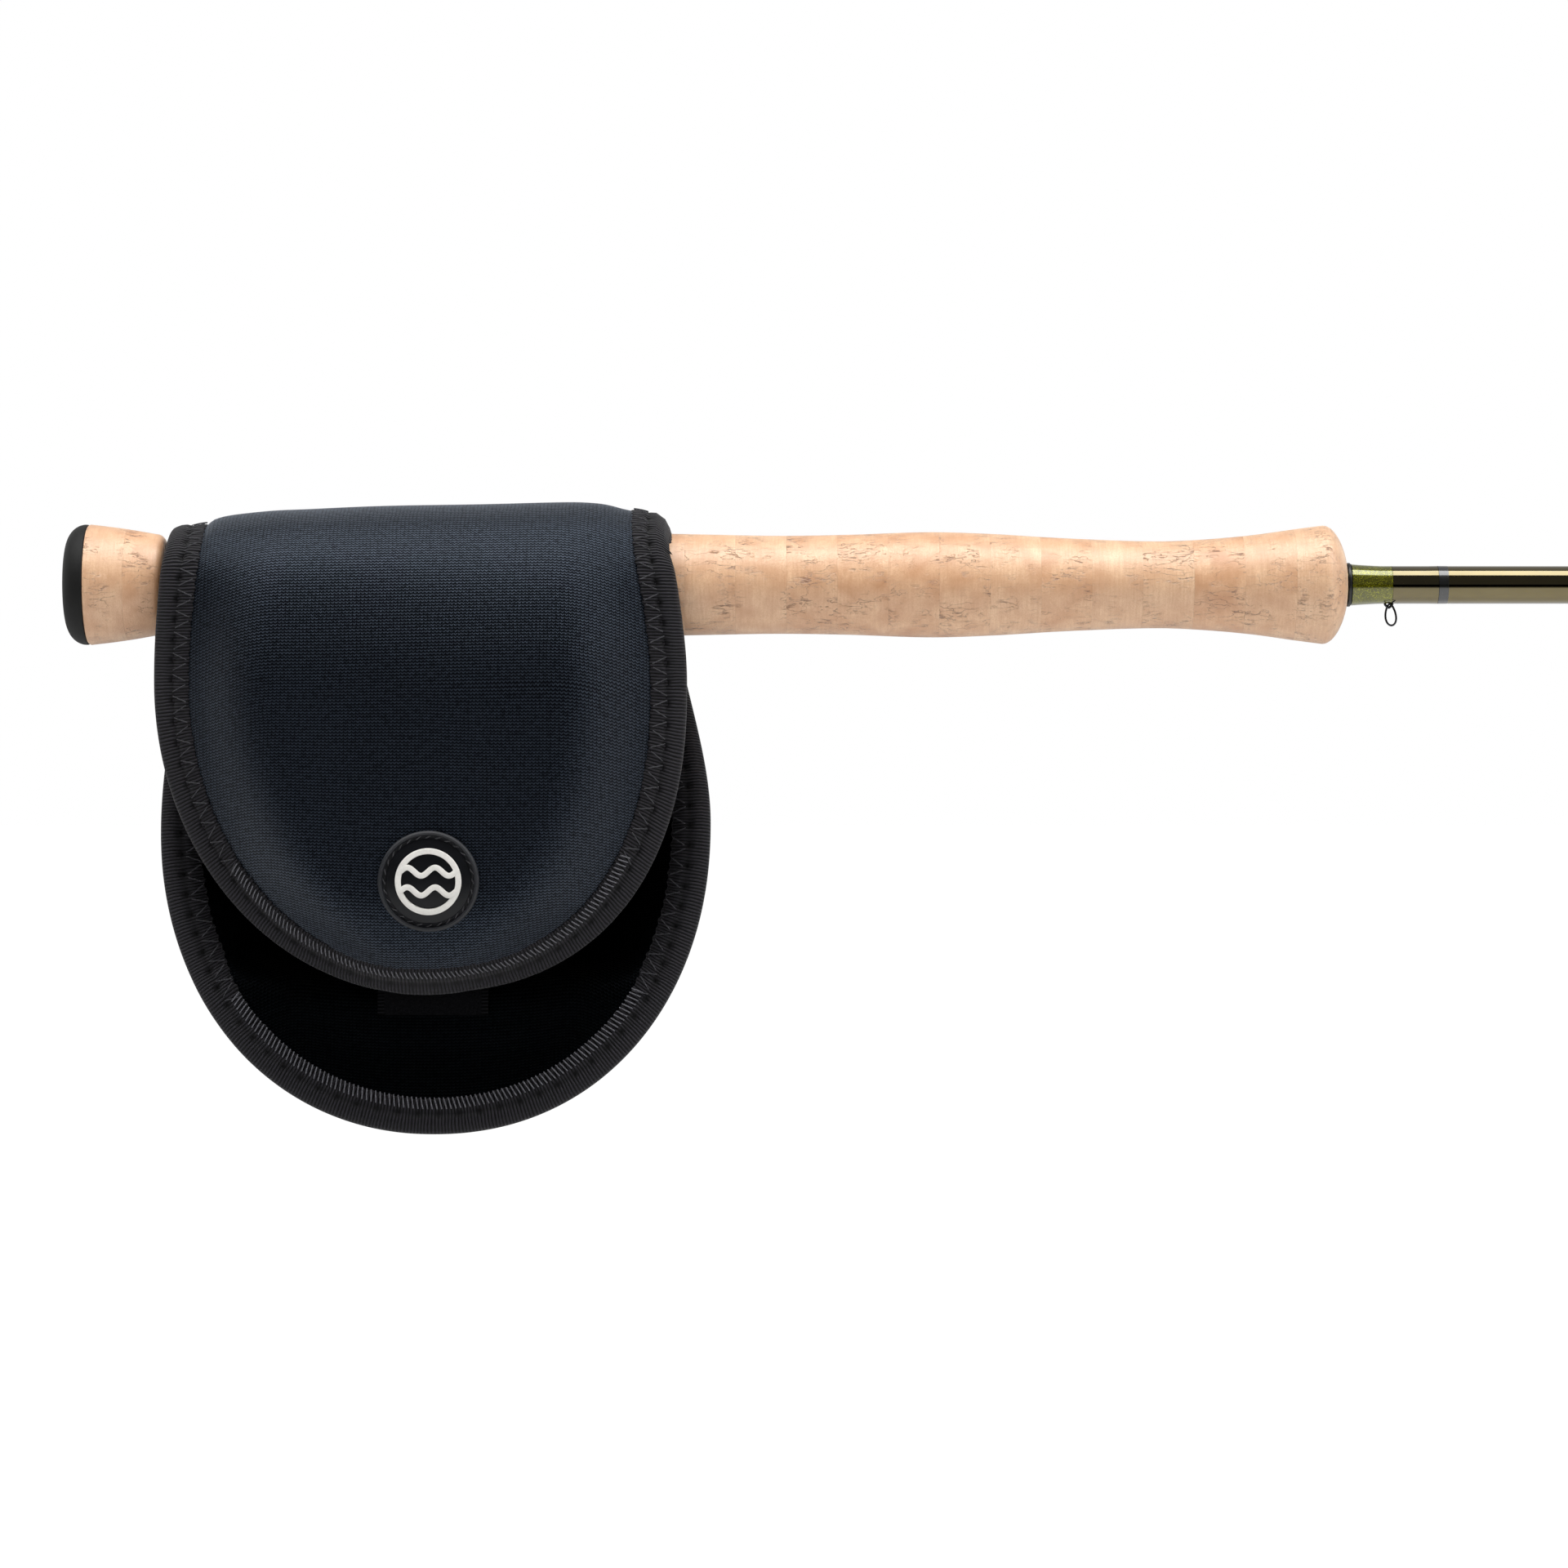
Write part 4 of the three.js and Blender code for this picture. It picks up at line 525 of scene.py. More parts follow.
class Nodes:
    """A node tree, with short ways to the nodes that every kind of tree has."""

    def __init__(self, tree: bpy.types.NodeTree) -> None:
        """Takes up a tree."""
        self.tree = tree

    def feed(self, socket: Socket, value: object) -> None:
        """Links or sets one input."""
        if isinstance(value, bpy.types.NodeSocket):
            self.tree.links.new(value, socket)
        else:
            socket.default_value = value

    def node(self, kind: str, inputs: dict[str | int, object] | None = None, **settings: object) -> bpy.types.Node:
        """Adds a node.

        Args:
            kind: The node's type.
            inputs: Values or sockets for its inputs, by name or number.
            settings: The node's own settings.

        Returns:
            The node.
        """
        made = self.tree.nodes.new(kind)
        for key, value in settings.items():
            setattr(made, key, value)
        for key, value in (inputs or {}).items():
            self.feed(made.inputs[key], value)
        return made

    def axes(self, vector: Socket) -> tuple[Socket, Socket, Socket]:
        """The three numbers of a vector."""
        split = self.node("ShaderNodeSeparateXYZ", {0: vector})
        return split.outputs[0], split.outputs[1], split.outputs[2]

    def vector(self, x: Value, y: Value, z: Value) -> Socket:
        """A vector of three numbers."""
        return self.node("ShaderNodeCombineXYZ", {0: x, 1: y, 2: z}).outputs[0]

    def maths(self, operation: str, *values: Value) -> Socket:
        """One step of arithmetic."""
        return self.node("ShaderNodeMath", dict(enumerate(values)), operation=operation).outputs[0]

    def span(self, value: Value, low: float, high: float, to_low: float = 0.0, to_high: float = 1.0) -> Socket:
        """A value carried from one range to another, and kept inside it."""
        return self.node("ShaderNodeMapRange", {0: value, 1: low, 2: high, 3: to_low, 4: to_high}).outputs[0]


class Recipe(Nodes):
    """A node material, put together from a few kinds of node."""

    def __init__(self, name: str) -> None:
        """Starts a material with one shader."""
        self.material = bpy.data.materials.new(name)
        self.material.use_nodes = True
        super().__init__(self.material.node_tree)
        self.shader = self.tree.nodes["Principled BSDF"]

    def place(self, stretch: Sequence[float] = (1.0, 1.0, 1.0)) -> Socket:
        """The point on the object, in millimetres, stretched along each axis."""
        coords = self.node("ShaderNodeTexCoord").outputs["Object"]
        scale = [1000.0 * s for s in stretch]
        return self.node("ShaderNodeMapping", {"Vector": coords, "Scale": scale}).outputs[0]

    def lay(self) -> tuple[Socket, Socket]:
        """The place on the cloth or tape, in millimetres, as two numbers."""
        uv = self.node("ShaderNodeUVMap", uv_map="UVMap").outputs[0]
        scaled = self.node("ShaderNodeMapping", {"Vector": uv, "Scale": (1000.0, 1000.0, 1.0)}).outputs[0]
        u, v, _ = self.axes(scaled)
        return u, v

    def sum(self, a: Socket, b: Socket) -> Socket:
        """Two vectors added."""
        return self.node("ShaderNodeVectorMath", {0: a, 1: b}, operation="ADD").outputs[0]

    def noise(self, vector: Socket, scale: float, detail: float = 3.0, roughness: float = 0.5) -> Socket:
        """Noise from 0 to 1, with a scale in features for each millimetre."""
        inputs = {"Vector": vector, "Scale": scale, "Detail": detail, "Roughness": roughness}
        return self.node("ShaderNodeTexNoise", inputs).outputs[0]

    def cells(self, vector: Socket, scale: float) -> tuple[Socket, Socket]:
        """Random cells: the distance to each one's middle, and its own colour."""
        made = self.node("ShaderNodeTexVoronoi", {"Vector": vector, "Scale": scale})
        return made.outputs["Distance"], made.outputs["Color"]

    def chance(self, value: Value) -> tuple[Socket, Socket]:
        """A random number and a random colour for each whole value."""
        made = self.node("ShaderNodeTexWhiteNoise", {"W": value}, noise_dimensions="1D")
        return made.outputs["Value"], made.outputs["Color"]

    def blend(self, share: Value, a: Socket | str, b: Socket | str) -> Socket:
        """Two colours mixed by a share."""
        made = self.node("ShaderNodeMix", {0: share}, data_type="RGBA")
        for socket, value in ((made.inputs[6], a), (made.inputs[7], b)):
            self.feed(socket, colour(value) if isinstance(value, str) else value)
        return made.outputs[2]

    def relief(self, height: Socket, depth: float) -> Socket:
        """A bump of a depth in millimetres."""
        return self.node("ShaderNodeBump", {"Height": height, "Distance": depth * MM, "Strength": 1.0}).outputs[0]

    def finished(
        self,
        base: Socket,
        roughness: Value = 0.5,
        normal: Socket | None = None,
        **constants: float | Sequence[float],
    ) -> bpy.types.Material:
        """Sets the shader.

        Args:
            base: The colour.
            roughness: The roughness.
            normal: The bumped normal.
            constants: Other inputs of the shader, with _ for each space.

        Returns:
            The material.
        """
        self.feed(self.shader.inputs["Base Color"], base)
        self.feed(self.shader.inputs["Roughness"], roughness)
        if normal is not None:
            self.feed(self.shader.inputs["Normal"], normal)
        for key, value in constants.items():
            self.feed(self.shader.inputs[key.replace("_", " ")], value)
        return self.material


@dataclass(frozen=True)
class Cork:
    """Ground cork rings, glued face to face along the rod."""

    ring: float = 12.7
    joint_at: float = -0.6
    light: str = "#f1c69c"
    dark: str = "#cd9468"
    pale: str = "#f8dab6"
    pit: str = "#7d4a2c"

    def material(self) -> bpy.types.Material:
        """The node material."""
        r = Recipe("cork")
        point = r.place()
        x, _, _ = r.axes(point)
        along = r.maths("DIVIDE", r.maths("SUBTRACT", x, self.joint_at), self.ring)
        ring = r.maths("FLOOR", along)
        tone, offset = r.chance(ring)
        shift = r.node("ShaderNodeVectorMath", {0: offset, "Scale": 90.0}, operation="SCALE").outputs[0]
        own = r.sum(point, shift)
        turned_grain = r.node("ShaderNodeMapping", {"Vector": own, "Scale": (1.9, 0.16, 0.16)}).outputs[0]
        dashes = r.node("ShaderNodeMapping", {"Vector": own, "Scale": (0.42, 1.5, 1.5)}).outputs[0]
        streak = r.noise(turned_grain, 1.0, 2.0, 0.6)
        mottle = r.noise(own, 0.16, 4.0, 0.55)
        grain = r.noise(own, 2.6, 3.0, 0.7)
        body = r.blend(r.span(mottle, 0.32, 0.7), self.light, self.dark)
        body = r.blend(r.maths("MULTIPLY", tone, 0.3), body, self.pale)
        body = r.blend(r.span(streak, 0.35, 0.75, 0.0, 0.42), body, self.dark)
        body = r.blend(r.span(grain, 0.42, 0.72, 0.0, 0.5), body, self.dark)
        cluster = r.span(r.noise(own, 0.13, 2.0), 0.44, 0.6)
        pit_noise = r.noise(dashes, 0.62, 4.0, 0.62)
        pits = r.maths("MULTIPLY", r.span(pit_noise, 0.60, 0.68), cluster)
        vein = r.maths("ABSOLUTE", r.maths("SUBTRACT", r.noise(dashes, 0.34, 3.0, 0.6), 0.5))
        veins = r.maths("MULTIPLY", r.span(vein, 0.0, 0.01, 0.75, 0.0), cluster)
        marks = r.maths("MAXIMUM", pits, veins)
        nearest = r.maths("ABSOLUTE", r.maths("SUBTRACT", along, r.maths("ROUND", along)))
        joint = r.span(nearest, 0.0, 0.008, 0.12, 0.0)
        body = r.blend(r.maths("MULTIPLY", marks, 0.7), body, self.pit)
        body = r.blend(joint, body, self.pit)
        height = r.maths("SUBTRACT", r.maths("MULTIPLY", grain, 0.35), r.maths("MAXIMUM", marks, joint))
        return r.finished(
            body, 0.44, r.relief(height, 0.2), Specular_IOR_Level=1.0, IOR=1.6, Sheen_Weight=0.3, Sheen_Roughness=0.3,
            Sheen_Tint=colour("#ffffff"),
        )


@dataclass(frozen=True)
class Rubber:
    """Matt moulded rubber with a fine spark-eroded surface."""

    name: str = "rubber"
    dark: str = "#0b0b0b"
    light: str = "#151514"
    roughness: float = 0.62
    grain: float = 4.0

    def material(self) -> bpy.types.Material:
        """The node material."""
        r = Recipe(self.name)
        point = r.place()
        fine, broad = r.noise(point, self.grain, 3.0, 0.7), r.noise(point, 0.25, 3.0)
        body = r.blend(r.maths("MULTIPLY", fine, r.span(broad, 0.3, 0.7, 0.6, 1.0)), self.dark, self.light)
        rough = r.span(fine, 0.3, 0.7, self.roughness - 0.06, self.roughness + 0.08)
        return r.finished(body, rough, r.relief(fine, 0.03), Specular_IOR_Level=0.34)


@dataclass(frozen=True)
class Jersey:
    """The knitted face of the neoprene: columns of small slanting loops, with painted shade between them."""

    name: str
    # gap is painted shade between the loops; loop is the yarn's own navy on their crests, with some painted highlight.
    gap: str
    loop: str
    column: float = 0.92
    row: float = 0.78
    sheen: float = 0.5
    shine: float = 0.45

    def material(self) -> bpy.types.Material:
        """The node material."""
        r = Recipe(self.name)
        u, v = r.lay()
        wander = r.noise(r.vector(u, v, 0.0), 0.12, 2.0)
        column = r.maths("DIVIDE", r.maths("ADD", u, wander), self.column)
        fold = r.maths("MULTIPLY", r.maths("ABSOLUTE", r.maths("SUBTRACT", r.maths("FRACT", column), 0.5)), 2.0)
        slant = r.maths("ADD", r.maths("DIVIDE", v, self.row), r.maths("MULTIPLY", fold, 0.5))
        wave = r.maths("SINE", r.maths("MULTIPLY", slant, 2 * math.pi))
        crest = r.maths("MULTIPLY", r.span(wave, -0.6, 1.0), r.span(fold, 0.55, 1.0, 1.0, 0.25))
        speckle = r.noise(r.vector(u, v, 0.0), 0.8, 3.0, 0.8)
        broad = r.noise(r.vector(u, v, 0.0), 0.05, 3.0)
        lift = r.maths("MULTIPLY", crest, r.span(speckle, 0.36, 0.64, 0.25, 1.0))
        lift = r.maths("MULTIPLY", lift, r.span(broad, 0.3, 0.7, 0.8, 1.0))
        # Painted shade: the colour falls to the near-black gap colour between the loops and rises to the loop colour on
        # their crests.
        body = r.blend(lift, self.gap, self.loop)
        sheen = r.span(lift, 0.0, 0.45, 0.3 * self.sheen, 1.8 * self.sheen)
        shine = r.span(lift, 0.0, 0.45, 0.25 * self.shine, 2.0 * self.shine)
        return r.finished(
            body, 0.46, r.relief(crest, 0.045), Sheen_Weight=sheen, Sheen_Roughness=0.36,
            Sheen_Tint=colour("#bac6d8"), Specular_IOR_Level=shine, Specular_Tint=colour("#b4c6e0"),
        )


@dataclass(frozen=True)
class RibbedTape:
    """The woven binding: fine ribs straight across the tape, with painted shade in the rib valleys and at the stitches.
    """

    name: str = "binding"
    # gap is painted shade in the valleys between the ribs and in the stitch dimples.
    gap: str = "#020203"
    rib: str = "#35333a"
    pitch: float = 0.82
    wave: float = 0.9
    stitch_pitch: float = 5.2
    stitch_row: float = 4.6

    def material(self) -> bpy.types.Material:
        """The node material."""
        r = Recipe(self.name)
        u, v = r.lay()
        drift = r.noise(r.vector(u, r.maths("MULTIPLY", v, 0.7), 0.0), 0.22, 2.0)
        along = r.maths("ADD", r.maths("DIVIDE", u, self.pitch), r.maths("MULTIPLY", drift, self.wave))
        ribs = r.span(r.maths("SINE", r.maths("MULTIPLY", along, 2 * math.pi)), -0.7, 1.0)
        fibre = r.noise(r.vector(u, v, 0.0), 3.0, 3.0, 0.7)
        # Painted shade: each stitch's dimple and the stitch row are darkened towards the gap colour.
        beside = r.maths("PINGPONG", u, self.stitch_pitch / 2)
        under = r.maths("MULTIPLY", r.maths("ABSOLUTE", r.maths("SUBTRACT", v, self.stitch_row)), 0.8)
        squares = r.maths("ADD", r.maths("POWER", beside, 2.0), r.maths("POWER", under, 2.0))
        pull = r.span(r.maths("SQRT", squares), 0.25, 1.3)
        row = r.span(under, 0.0, 0.9, 0.55, 1.0)
        lift = r.maths("MULTIPLY", ribs, r.span(fibre, 0.25, 0.75, 0.45, 1.0))
        lift = r.maths("MULTIPLY", r.maths("MULTIPLY", lift, pull), row)
        # Painted shade: where lift is low, in rib valleys and at stitches, the tape takes the near-black gap colour.
        body = r.blend(lift, self.gap, self.rib)
        return r.finished(
            body, 0.6, r.relief(r.maths("MULTIPLY", ribs, pull), 0.34), Sheen_Weight=0.1, Sheen_Roughness=0.5,
            Specular_IOR_Level=0.15,
        )


@dataclass(frozen=True)
class Yarn:
    """Twisted sewing thread."""

    name: str
    dark: str
    light: str

    def material(self) -> bpy.types.Material:
        """The node material."""
        r = Recipe(self.name)
        twist = r.noise(r.place(), 4.0, 2.0, 0.6)
        body = r.blend(r.span(twist, 0.3, 0.7), self.dark, self.light)
        return r.finished(body, 0.6, r.relief(twist, 0.04), Sheen_Weight=0.2, Specular_IOR_Level=0.4)


@dataclass(frozen=True)
class Lacquer:
    """A pearl or thread-wound layer under clear lacquer.

    The layer mirrors light in its own colour, as pearl paint and wetted silk do: mirror is how much of it
    does so, and the rest is plain colour. Flakes are brighter specks in it.
    """

    name: str
    deep: str
    lit: str
    mirror: float = 1.0
    winding: float = 0.0
    flake: str | None = None
    roughness: float = 0.085
    coat: float = 1.75

    def material(self) -> bpy.types.Material:
        """The node material."""
        r = Recipe(self.name)
        point = r.place()
        x, _, _ = r.axes(point)
        cloud = r.noise(r.place((0.25, 1.0, 1.0)), 0.5, 3.0)
        body = r.blend(r.span(cloud, 0.3, 0.7), self.deep, self.lit)
        height, depth = cloud, 0.004
        if self.winding:
            turns = r.maths("SINE", r.maths("MULTIPLY", x, 2 * math.pi / self.winding))
            body = r.blend(r.span(turns, -1.0, 1.0, 0.0, 0.2), body, self.deep)
        if self.flake:
            _, own = r.cells(point, 5.5)
            spark = r.span(r.node("ShaderNodeSeparateColor", {0: own}).outputs[0], 0.6, 1.0)
            body = r.blend(spark, body, self.flake)
        dust = r.noise(point, 1.2, 3.0, 0.6)
        rough = r.span(dust, 0.3, 0.8, self.roughness - 0.03, self.roughness + 0.04)
        return r.finished(
            body, rough, r.relief(height, depth), Metallic=self.mirror, Coat_Weight=1.0, Coat_Roughness=0.04,
            Coat_IOR=self.coat,
        )


@dataclass(frozen=True)
class Metal:
    """Turned or drawn metal, with tool marks round the rod or the spindle, and an optional knurl."""

    name: str
    dark: str
    light: str
    roughness: float = 0.32
    marks: tuple[float, float, float] = (6.0, 0.4, 6.0)
    knurl: float = 0.0
    knurl_radius: float = 10.6

    def material(self) -> bpy.types.Material:
        """The node material."""
        r = Recipe(self.name)
        marks = r.noise(r.place(self.marks), 1.0, 2.0, 0.6)
        wear = r.noise(r.place(), 0.18, 4.0, 0.6)
        body = r.blend(r.span(wear, 0.35, 0.7), self.dark, self.light)
        height = marks
        depth = 0.01
        if self.knurl:
            x, y, z = r.axes(r.place())
            turn = r.maths("MULTIPLY", r.maths("ARCTAN2", z, y), self.knurl_radius)
            count = 2 * math.pi / self.knurl
            left = r.maths("SINE", r.maths("MULTIPLY", r.maths("ADD", turn, x), count))
            right = r.maths("SINE", r.maths("MULTIPLY", r.maths("SUBTRACT", turn, x), count))
            height, depth = r.maths("MULTIPLY", left, right), 0.12
        rough = r.span(marks, 0.3, 0.7, self.roughness - 0.06, self.roughness + 0.1)
        return r.finished(body, rough, r.relief(height, depth), Metallic=1.0)


@dataclass(frozen=True)
class Wood:
    """Stained burl under varnish."""

    dark: str = "#2c1409"
    light: str = "#7a4220"

    def material(self) -> bpy.types.Material:
        """The node material."""
        r = Recipe("seat_wood")
        swirl = r.noise(r.place((0.35, 1.0, 1.0)), 0.22, 5.0, 0.6)
        bands = r.maths("SINE", r.maths("MULTIPLY", swirl, 46.0))
        body = r.blend(r.span(bands, -1.0, 1.0), self.dark, self.light)
        pores = r.noise(r.place((0.5, 3.0, 3.0)), 1.4, 2.0)
        body = r.blend(r.span(pores, 0.6, 0.7, 0.0, 0.6), body, self.dark)
        return r.finished(body, 0.25, r.relief(pores, 0.02), Coat_Weight=0.8, Coat_Roughness=0.05)


@dataclass(frozen=True)
class Fuzz:
    """Hook-and-loop tape: a matted face, with plain woven edges at its two ends."""

    name: str = "hook_and_loop"
    dark: str = "#000001"
    light: str = "#131316"
    middle: float = 0.0
    plain_from: float = 12.2

    def material(self) -> bpy.types.Material:
        """The node material."""
        r = Recipe(self.name)
        u, v = r.lay()
        tangle = r.noise(r.vector(u, v, 0.0), 1.6, 5.0, 0.75)
        woven = r.span(r.maths("SINE", r.maths("MULTIPLY", v, 2 * math.pi / 0.9)), -0.8, 1.0)
        away = r.maths("ABSOLUTE", r.maths("SUBTRACT", u, self.middle))
        edge = r.span(away, self.plain_from - 0.2, self.plain_from + 0.2)
        height = r.node("ShaderNodeMix", {0: edge, 2: tangle, 3: woven}).outputs[0]
        body = r.blend(r.span(height, 0.35, 0.8), self.dark, self.light)
        return r.finished(body, 0.95, r.relief(height, 0.5), Specular_IOR_Level=0.1)


@dataclass(frozen=True)
class Smooth:
    """Moulded plastic, ceramic or fibre plate, faintly mottled."""

    name: str
    dark: str
    light: str
    roughness: float = 0.45
    grain: float = 2.0
    depth: float = 0.012
    shine: float = 0.5

    def material(self) -> bpy.types.Material:
        """The node material."""
        r = Recipe(self.name)
        fine, broad = r.noise(r.place(), self.grain, 3.0, 0.6), r.noise(r.place(), 0.2, 3.0)
        share = r.maths("MULTIPLY", r.maths("ADD", fine, broad), 0.5)
        body = r.blend(r.span(share, 0.3, 0.7), self.dark, self.light)
        rough = r.span(fine, 0.3, 0.7, self.roughness - 0.05, self.roughness + 0.06)
        return r.finished(body, rough, r.relief(fine, self.depth), Specular_IOR_Level=self.shine)


class Finishes:
    """Every material of the rod, the reel and the pouch."""

    def __init__(self) -> None:
        """Makes the materials."""
        self.cork = Cork().material()
        self.rubber = Rubber().material()
        # The first colour of each jersey is painted shade between its knit loops.
        self.neoprene = Jersey("neoprene_jersey", "#000001", "#111923", sheen=0.6, shine=0.5).material()
        self.lining = Jersey("neoprene_lining", "#000000", "#070909", 0.92, 0.78, 0.0, 0.05).material()
        self.binding = RibbedTape().material()
        self.thread = Yarn("binding_thread", "#38383d", "#77777e").material()
        self.dark_thread = Yarn("seam_thread", "#1a1a1e", "#46464c").material()
        self.badge_thread = Yarn("badge_thread", "#2a2a2e", "#66666a").material()
        self.blank = Lacquer("olive_blank", "#675929", "#706232").material()
        self.flake_wrap = Lacquer("flake_wrap", "#505000", "#626204", 0.6, 0.3, "#9a9a16", 0.24, 1.72).material()
        self.olive_wrap = Lacquer("olive_wrap", "#62562a", "#6d6034", 1.0, 0.24).material()
        self.black_wrap = Lacquer("black_wrap", "#020304", "#06070a", 0.0, 0.24, roughness=0.3, coat=1.8).material()
        self.black = Smooth("black_moulding", "#0a0a0b", "#161618", 0.35, shine=0.6).material()
        self.gunmetal = Metal("gunmetal", "#33363b", "#44484e").material()
        self.seat_metal = Metal("seat_metal", "#33363b", "#44484e", 0.28, (0.4, 6.0, 6.0)).material()
        self.knurled = Metal("knurled_ring", "#33363b", "#4a4e54", 0.3, (0.4, 6.0, 6.0), knurl=0.9).material()
        self.silver = Metal("spool_metal", "#a6abb1", "#c6cbd0", 0.28).material()
        self.steel = Metal("steel", "#8d9196", "#b3b7bb", 0.24, (1.0, 1.0, 6.0)).material()
        self.wire = Metal("keeper_wire", "#3c3e42", "#5a5d62", 0.22, (1.0, 1.0, 1.0)).material()
        self.wood = Wood().material()
        self.badge = Smooth("badge_rubber", "#0c0d10", "#131418", 0.33, shine=0.27).material()
        self.badge_rim = Smooth("badge_rim_rubber", "#17181c", "#212328", 0.55).material()
        self.motif = Smooth("badge_motif_rubber", "#dcdad4", "#efede8", 0.5).material()
        self.tape = Fuzz(middle=-139.5).material()
        self.ceramic = Smooth("guide_ceramic", "#c9c6be", "#e4e1da", 0.15, 0.6, 0.0, 0.8).material()
        self.carbon = Smooth("carbon_disc", "#131314", "#222224", 0.4, 1.2, 0.03).material()

    def of_slot(self, slot: str) -> bpy.types.Material:
        """The material for one of the record's slots."""
        return {
            "rubber": self.rubber, "cork": self.cork, "gunmetal": self.gunmetal, "silver": self.silver,
            "wood": self.wood, "blank": self.blank, "wrap": self.olive_wrap, "flake": self.flake_wrap,
            "black": self.black, "steel": self.steel, "cloth": self.neoprene, "binding": self.binding,
            "badge": self.badge, "motif": self.motif, "patch": self.tape, "ceramic": self.ceramic,
            "carbon": self.carbon,
        }[slot]


def dress(piece: bpy.types.Object, nodes: Sequence[str], where: str) -> bpy.types.Object:
    """Hides the CAD nodes that a placed piece stands for, and logs the body that it is on."""
    if nodes:
        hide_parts(*nodes)
    LOG.info("%s is on %s", piece.name, where)
    return piece


def fit(piece: bpy.types.Object, body: str, slot: str, *nodes: str) -> bpy.types.Object:
    """Puts a finished piece on its body.

    Args:
        piece: The piece, in place.
        body: The CAD body that it moves with.
        slot: The record's slot that its finish belongs to; it is not used.
        nodes: The CAD nodes that it stands for.

    Returns:
        The piece.
    """
    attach(piece, body)
    return dress(piece, nodes, body)


# ---------------------------------------- Handle ----------------------------------------


@dataclass
class Handle:
    """The fighting butt, the reel seat with its hoods and rings, and the cork grip."""

    finishes: Finishes
    cap_flat: float = 9.0
    cork_lip: float = 2.4
    bore: float = 5.02
    flange_length: float = 1.4
    flange_radius: float = 11.0
    thread_length: float = 38.0
    seat_radius: float = 8.3
    tube_radius: float = 6.4
    thread_pitch: float = 1.5
    hood_radius: float = 10.6
    hood_mouth: float = 0.3
    nose_radius: float = 5.4
    pocket_depth: float = 2.9
    fixed_bore: float = 6.5
    ring_bore: float = 8.45
    plug_radius: float = 3.6
    butt_end_radius: float = 12.7
    grip_knots: tuple[tuple[float, float], ...] = (
        (0.0, 13.0), (0.1, 12.6), (0.2, 12.3), (0.3, 12.55), (0.41, 13.2), (0.5, 12.75), (0.6, 11.7),
        (0.71, 10.95), (0.78, 11.15), (0.86, 12.3), (0.93, 14.0), (0.967, 14.85),
    )

    def build(self) -> None:
        """Makes every piece of the handle."""
        self.fighting_butt()
        self.reel_seat()
        self.grip()

    def fighting_butt(self) -> None:
        """The domed rubber cap and the short tapered cork in front of it."""
        low, high = box_of("butt_cap")
        radius = high[2]
        joint, end = ends_of("butt_cork")
        start = low[0]
        dome = [(start, 0.0), (start, self.cap_flat)]
        for angle in np.linspace(8, 90, 14):
            t = math.radians(angle)
            dome.append((
                start + (joint - start - 0.6) * (1 - math.cos(t)) ** 1.05,
                self.cap_flat + (radius - self.cap_flat) * math.sin(t),
            ))
        dome += [(joint - 0.25, radius - 0.05), (joint - 0.05, radius - 0.35), (joint - 0.05, self.plug_radius)]
        dome += [(high[0], self.plug_radius), (high[0], 0.0)]
        cap = turned(dome, segments=128).piece("rubber_cap", self.finishes.rubber, crease=45)
        fit(cap, "rod_butt", "rubber", "butt_cap")

        thin = self.butt_end_radius
        lip = [
            (end - self.cork_lip + self.cork_lip * math.sin(t), thin - self.cork_lip * (1 - math.cos(t)))
            for t in np.radians(np.linspace(0, 88, 8))
        ]
        waist = [
            (mixed(joint + 0.5, end - self.cork_lip, t), mixed(radius, thin, t) + 0.18 * math.sin(math.pi * t))
            for t in np.linspace(0, 1, 9)
        ]
        profile = [(joint, self.bore), (joint, radius - 0.25), *waist, *lip, (end, self.bore), (joint, self.bore)]
        cork = turned(profile, segments=128).piece("butt_cork_ring", self.finishes.cork, crease=50)
        fit(cork, "rod_butt", "cork", "butt_cork")

    def reel_seat(self) -> None:
        """The threaded barrel, the wooden insert, the two hoods and the two lock rings."""
        start, end = ends_of("seat_barrel")
        thread_end = start + self.thread_length - 0.3
        flange_end = start + self.flange_length
        profile = [(start, self.bore), (start, self.flange_radius - 0.4), (start + 0.4, self.flange_radius),
                   (flange_end - 0.3, self.flange_radius), (flange_end, self.flange_radius - 0.3)]
        x = flange_end
        crest, root = self.seat_radius, self.seat_radius - 0.55
        profile.append((flange_end, root))
        while x + self.thread_pitch < thread_end - 0.5:
            profile += [(x + 0.2, root), (x + 0.55, crest), (x + 0.95, crest), (x + 1.3, root)]
            x += self.thread_pitch
        profile += [(thread_end, root), (thread_end, self.tube_radius), (end, self.tube_radius)]
        profile += [(end, self.bore), (start, self.bore)]
        barrel = turned(profile, segments=96).piece("threaded_barrel", self.finishes.seat_metal, crease=30)
        fit(barrel, "rod_butt", "gunmetal", "seat_barrel")

        low, high = box_of("seat_insert")
        insert = self.tube(low[0], high[0], self.fixed_bore, high[2], 0.5).piece("wood_insert", self.finishes.wood)
        fit(insert, "rod_butt", "wood", "seat_insert")

        self.hood("fixed_hood", "rod_butt", self.fixed_bore, open_at_butt=True)
        self.hood("sliding_hood", "sliding_hood", self.ring_bore, open_at_butt=False)
        for name in ("lock_ring", "jam_ring"):
            low, high = box_of(name)
            made = self.tube(low[0], high[0], self.ring_bore, high[2], 0.6, 4)
            fit(made.piece(f"{name}_knurled", self.finishes.knurled), name, "gunmetal", name)

    def tube(self, start: float, end: float, bore: float, radius: float, edge: float, steps: int = 3) -> Shape:
        """A plain tube round the rod, with rounded edges."""
        loop = [(start, bore), (end, bore), (end, radius), (start, radius), (start, bore)]
        return turned(softened(loop, edge, steps), segments=96)

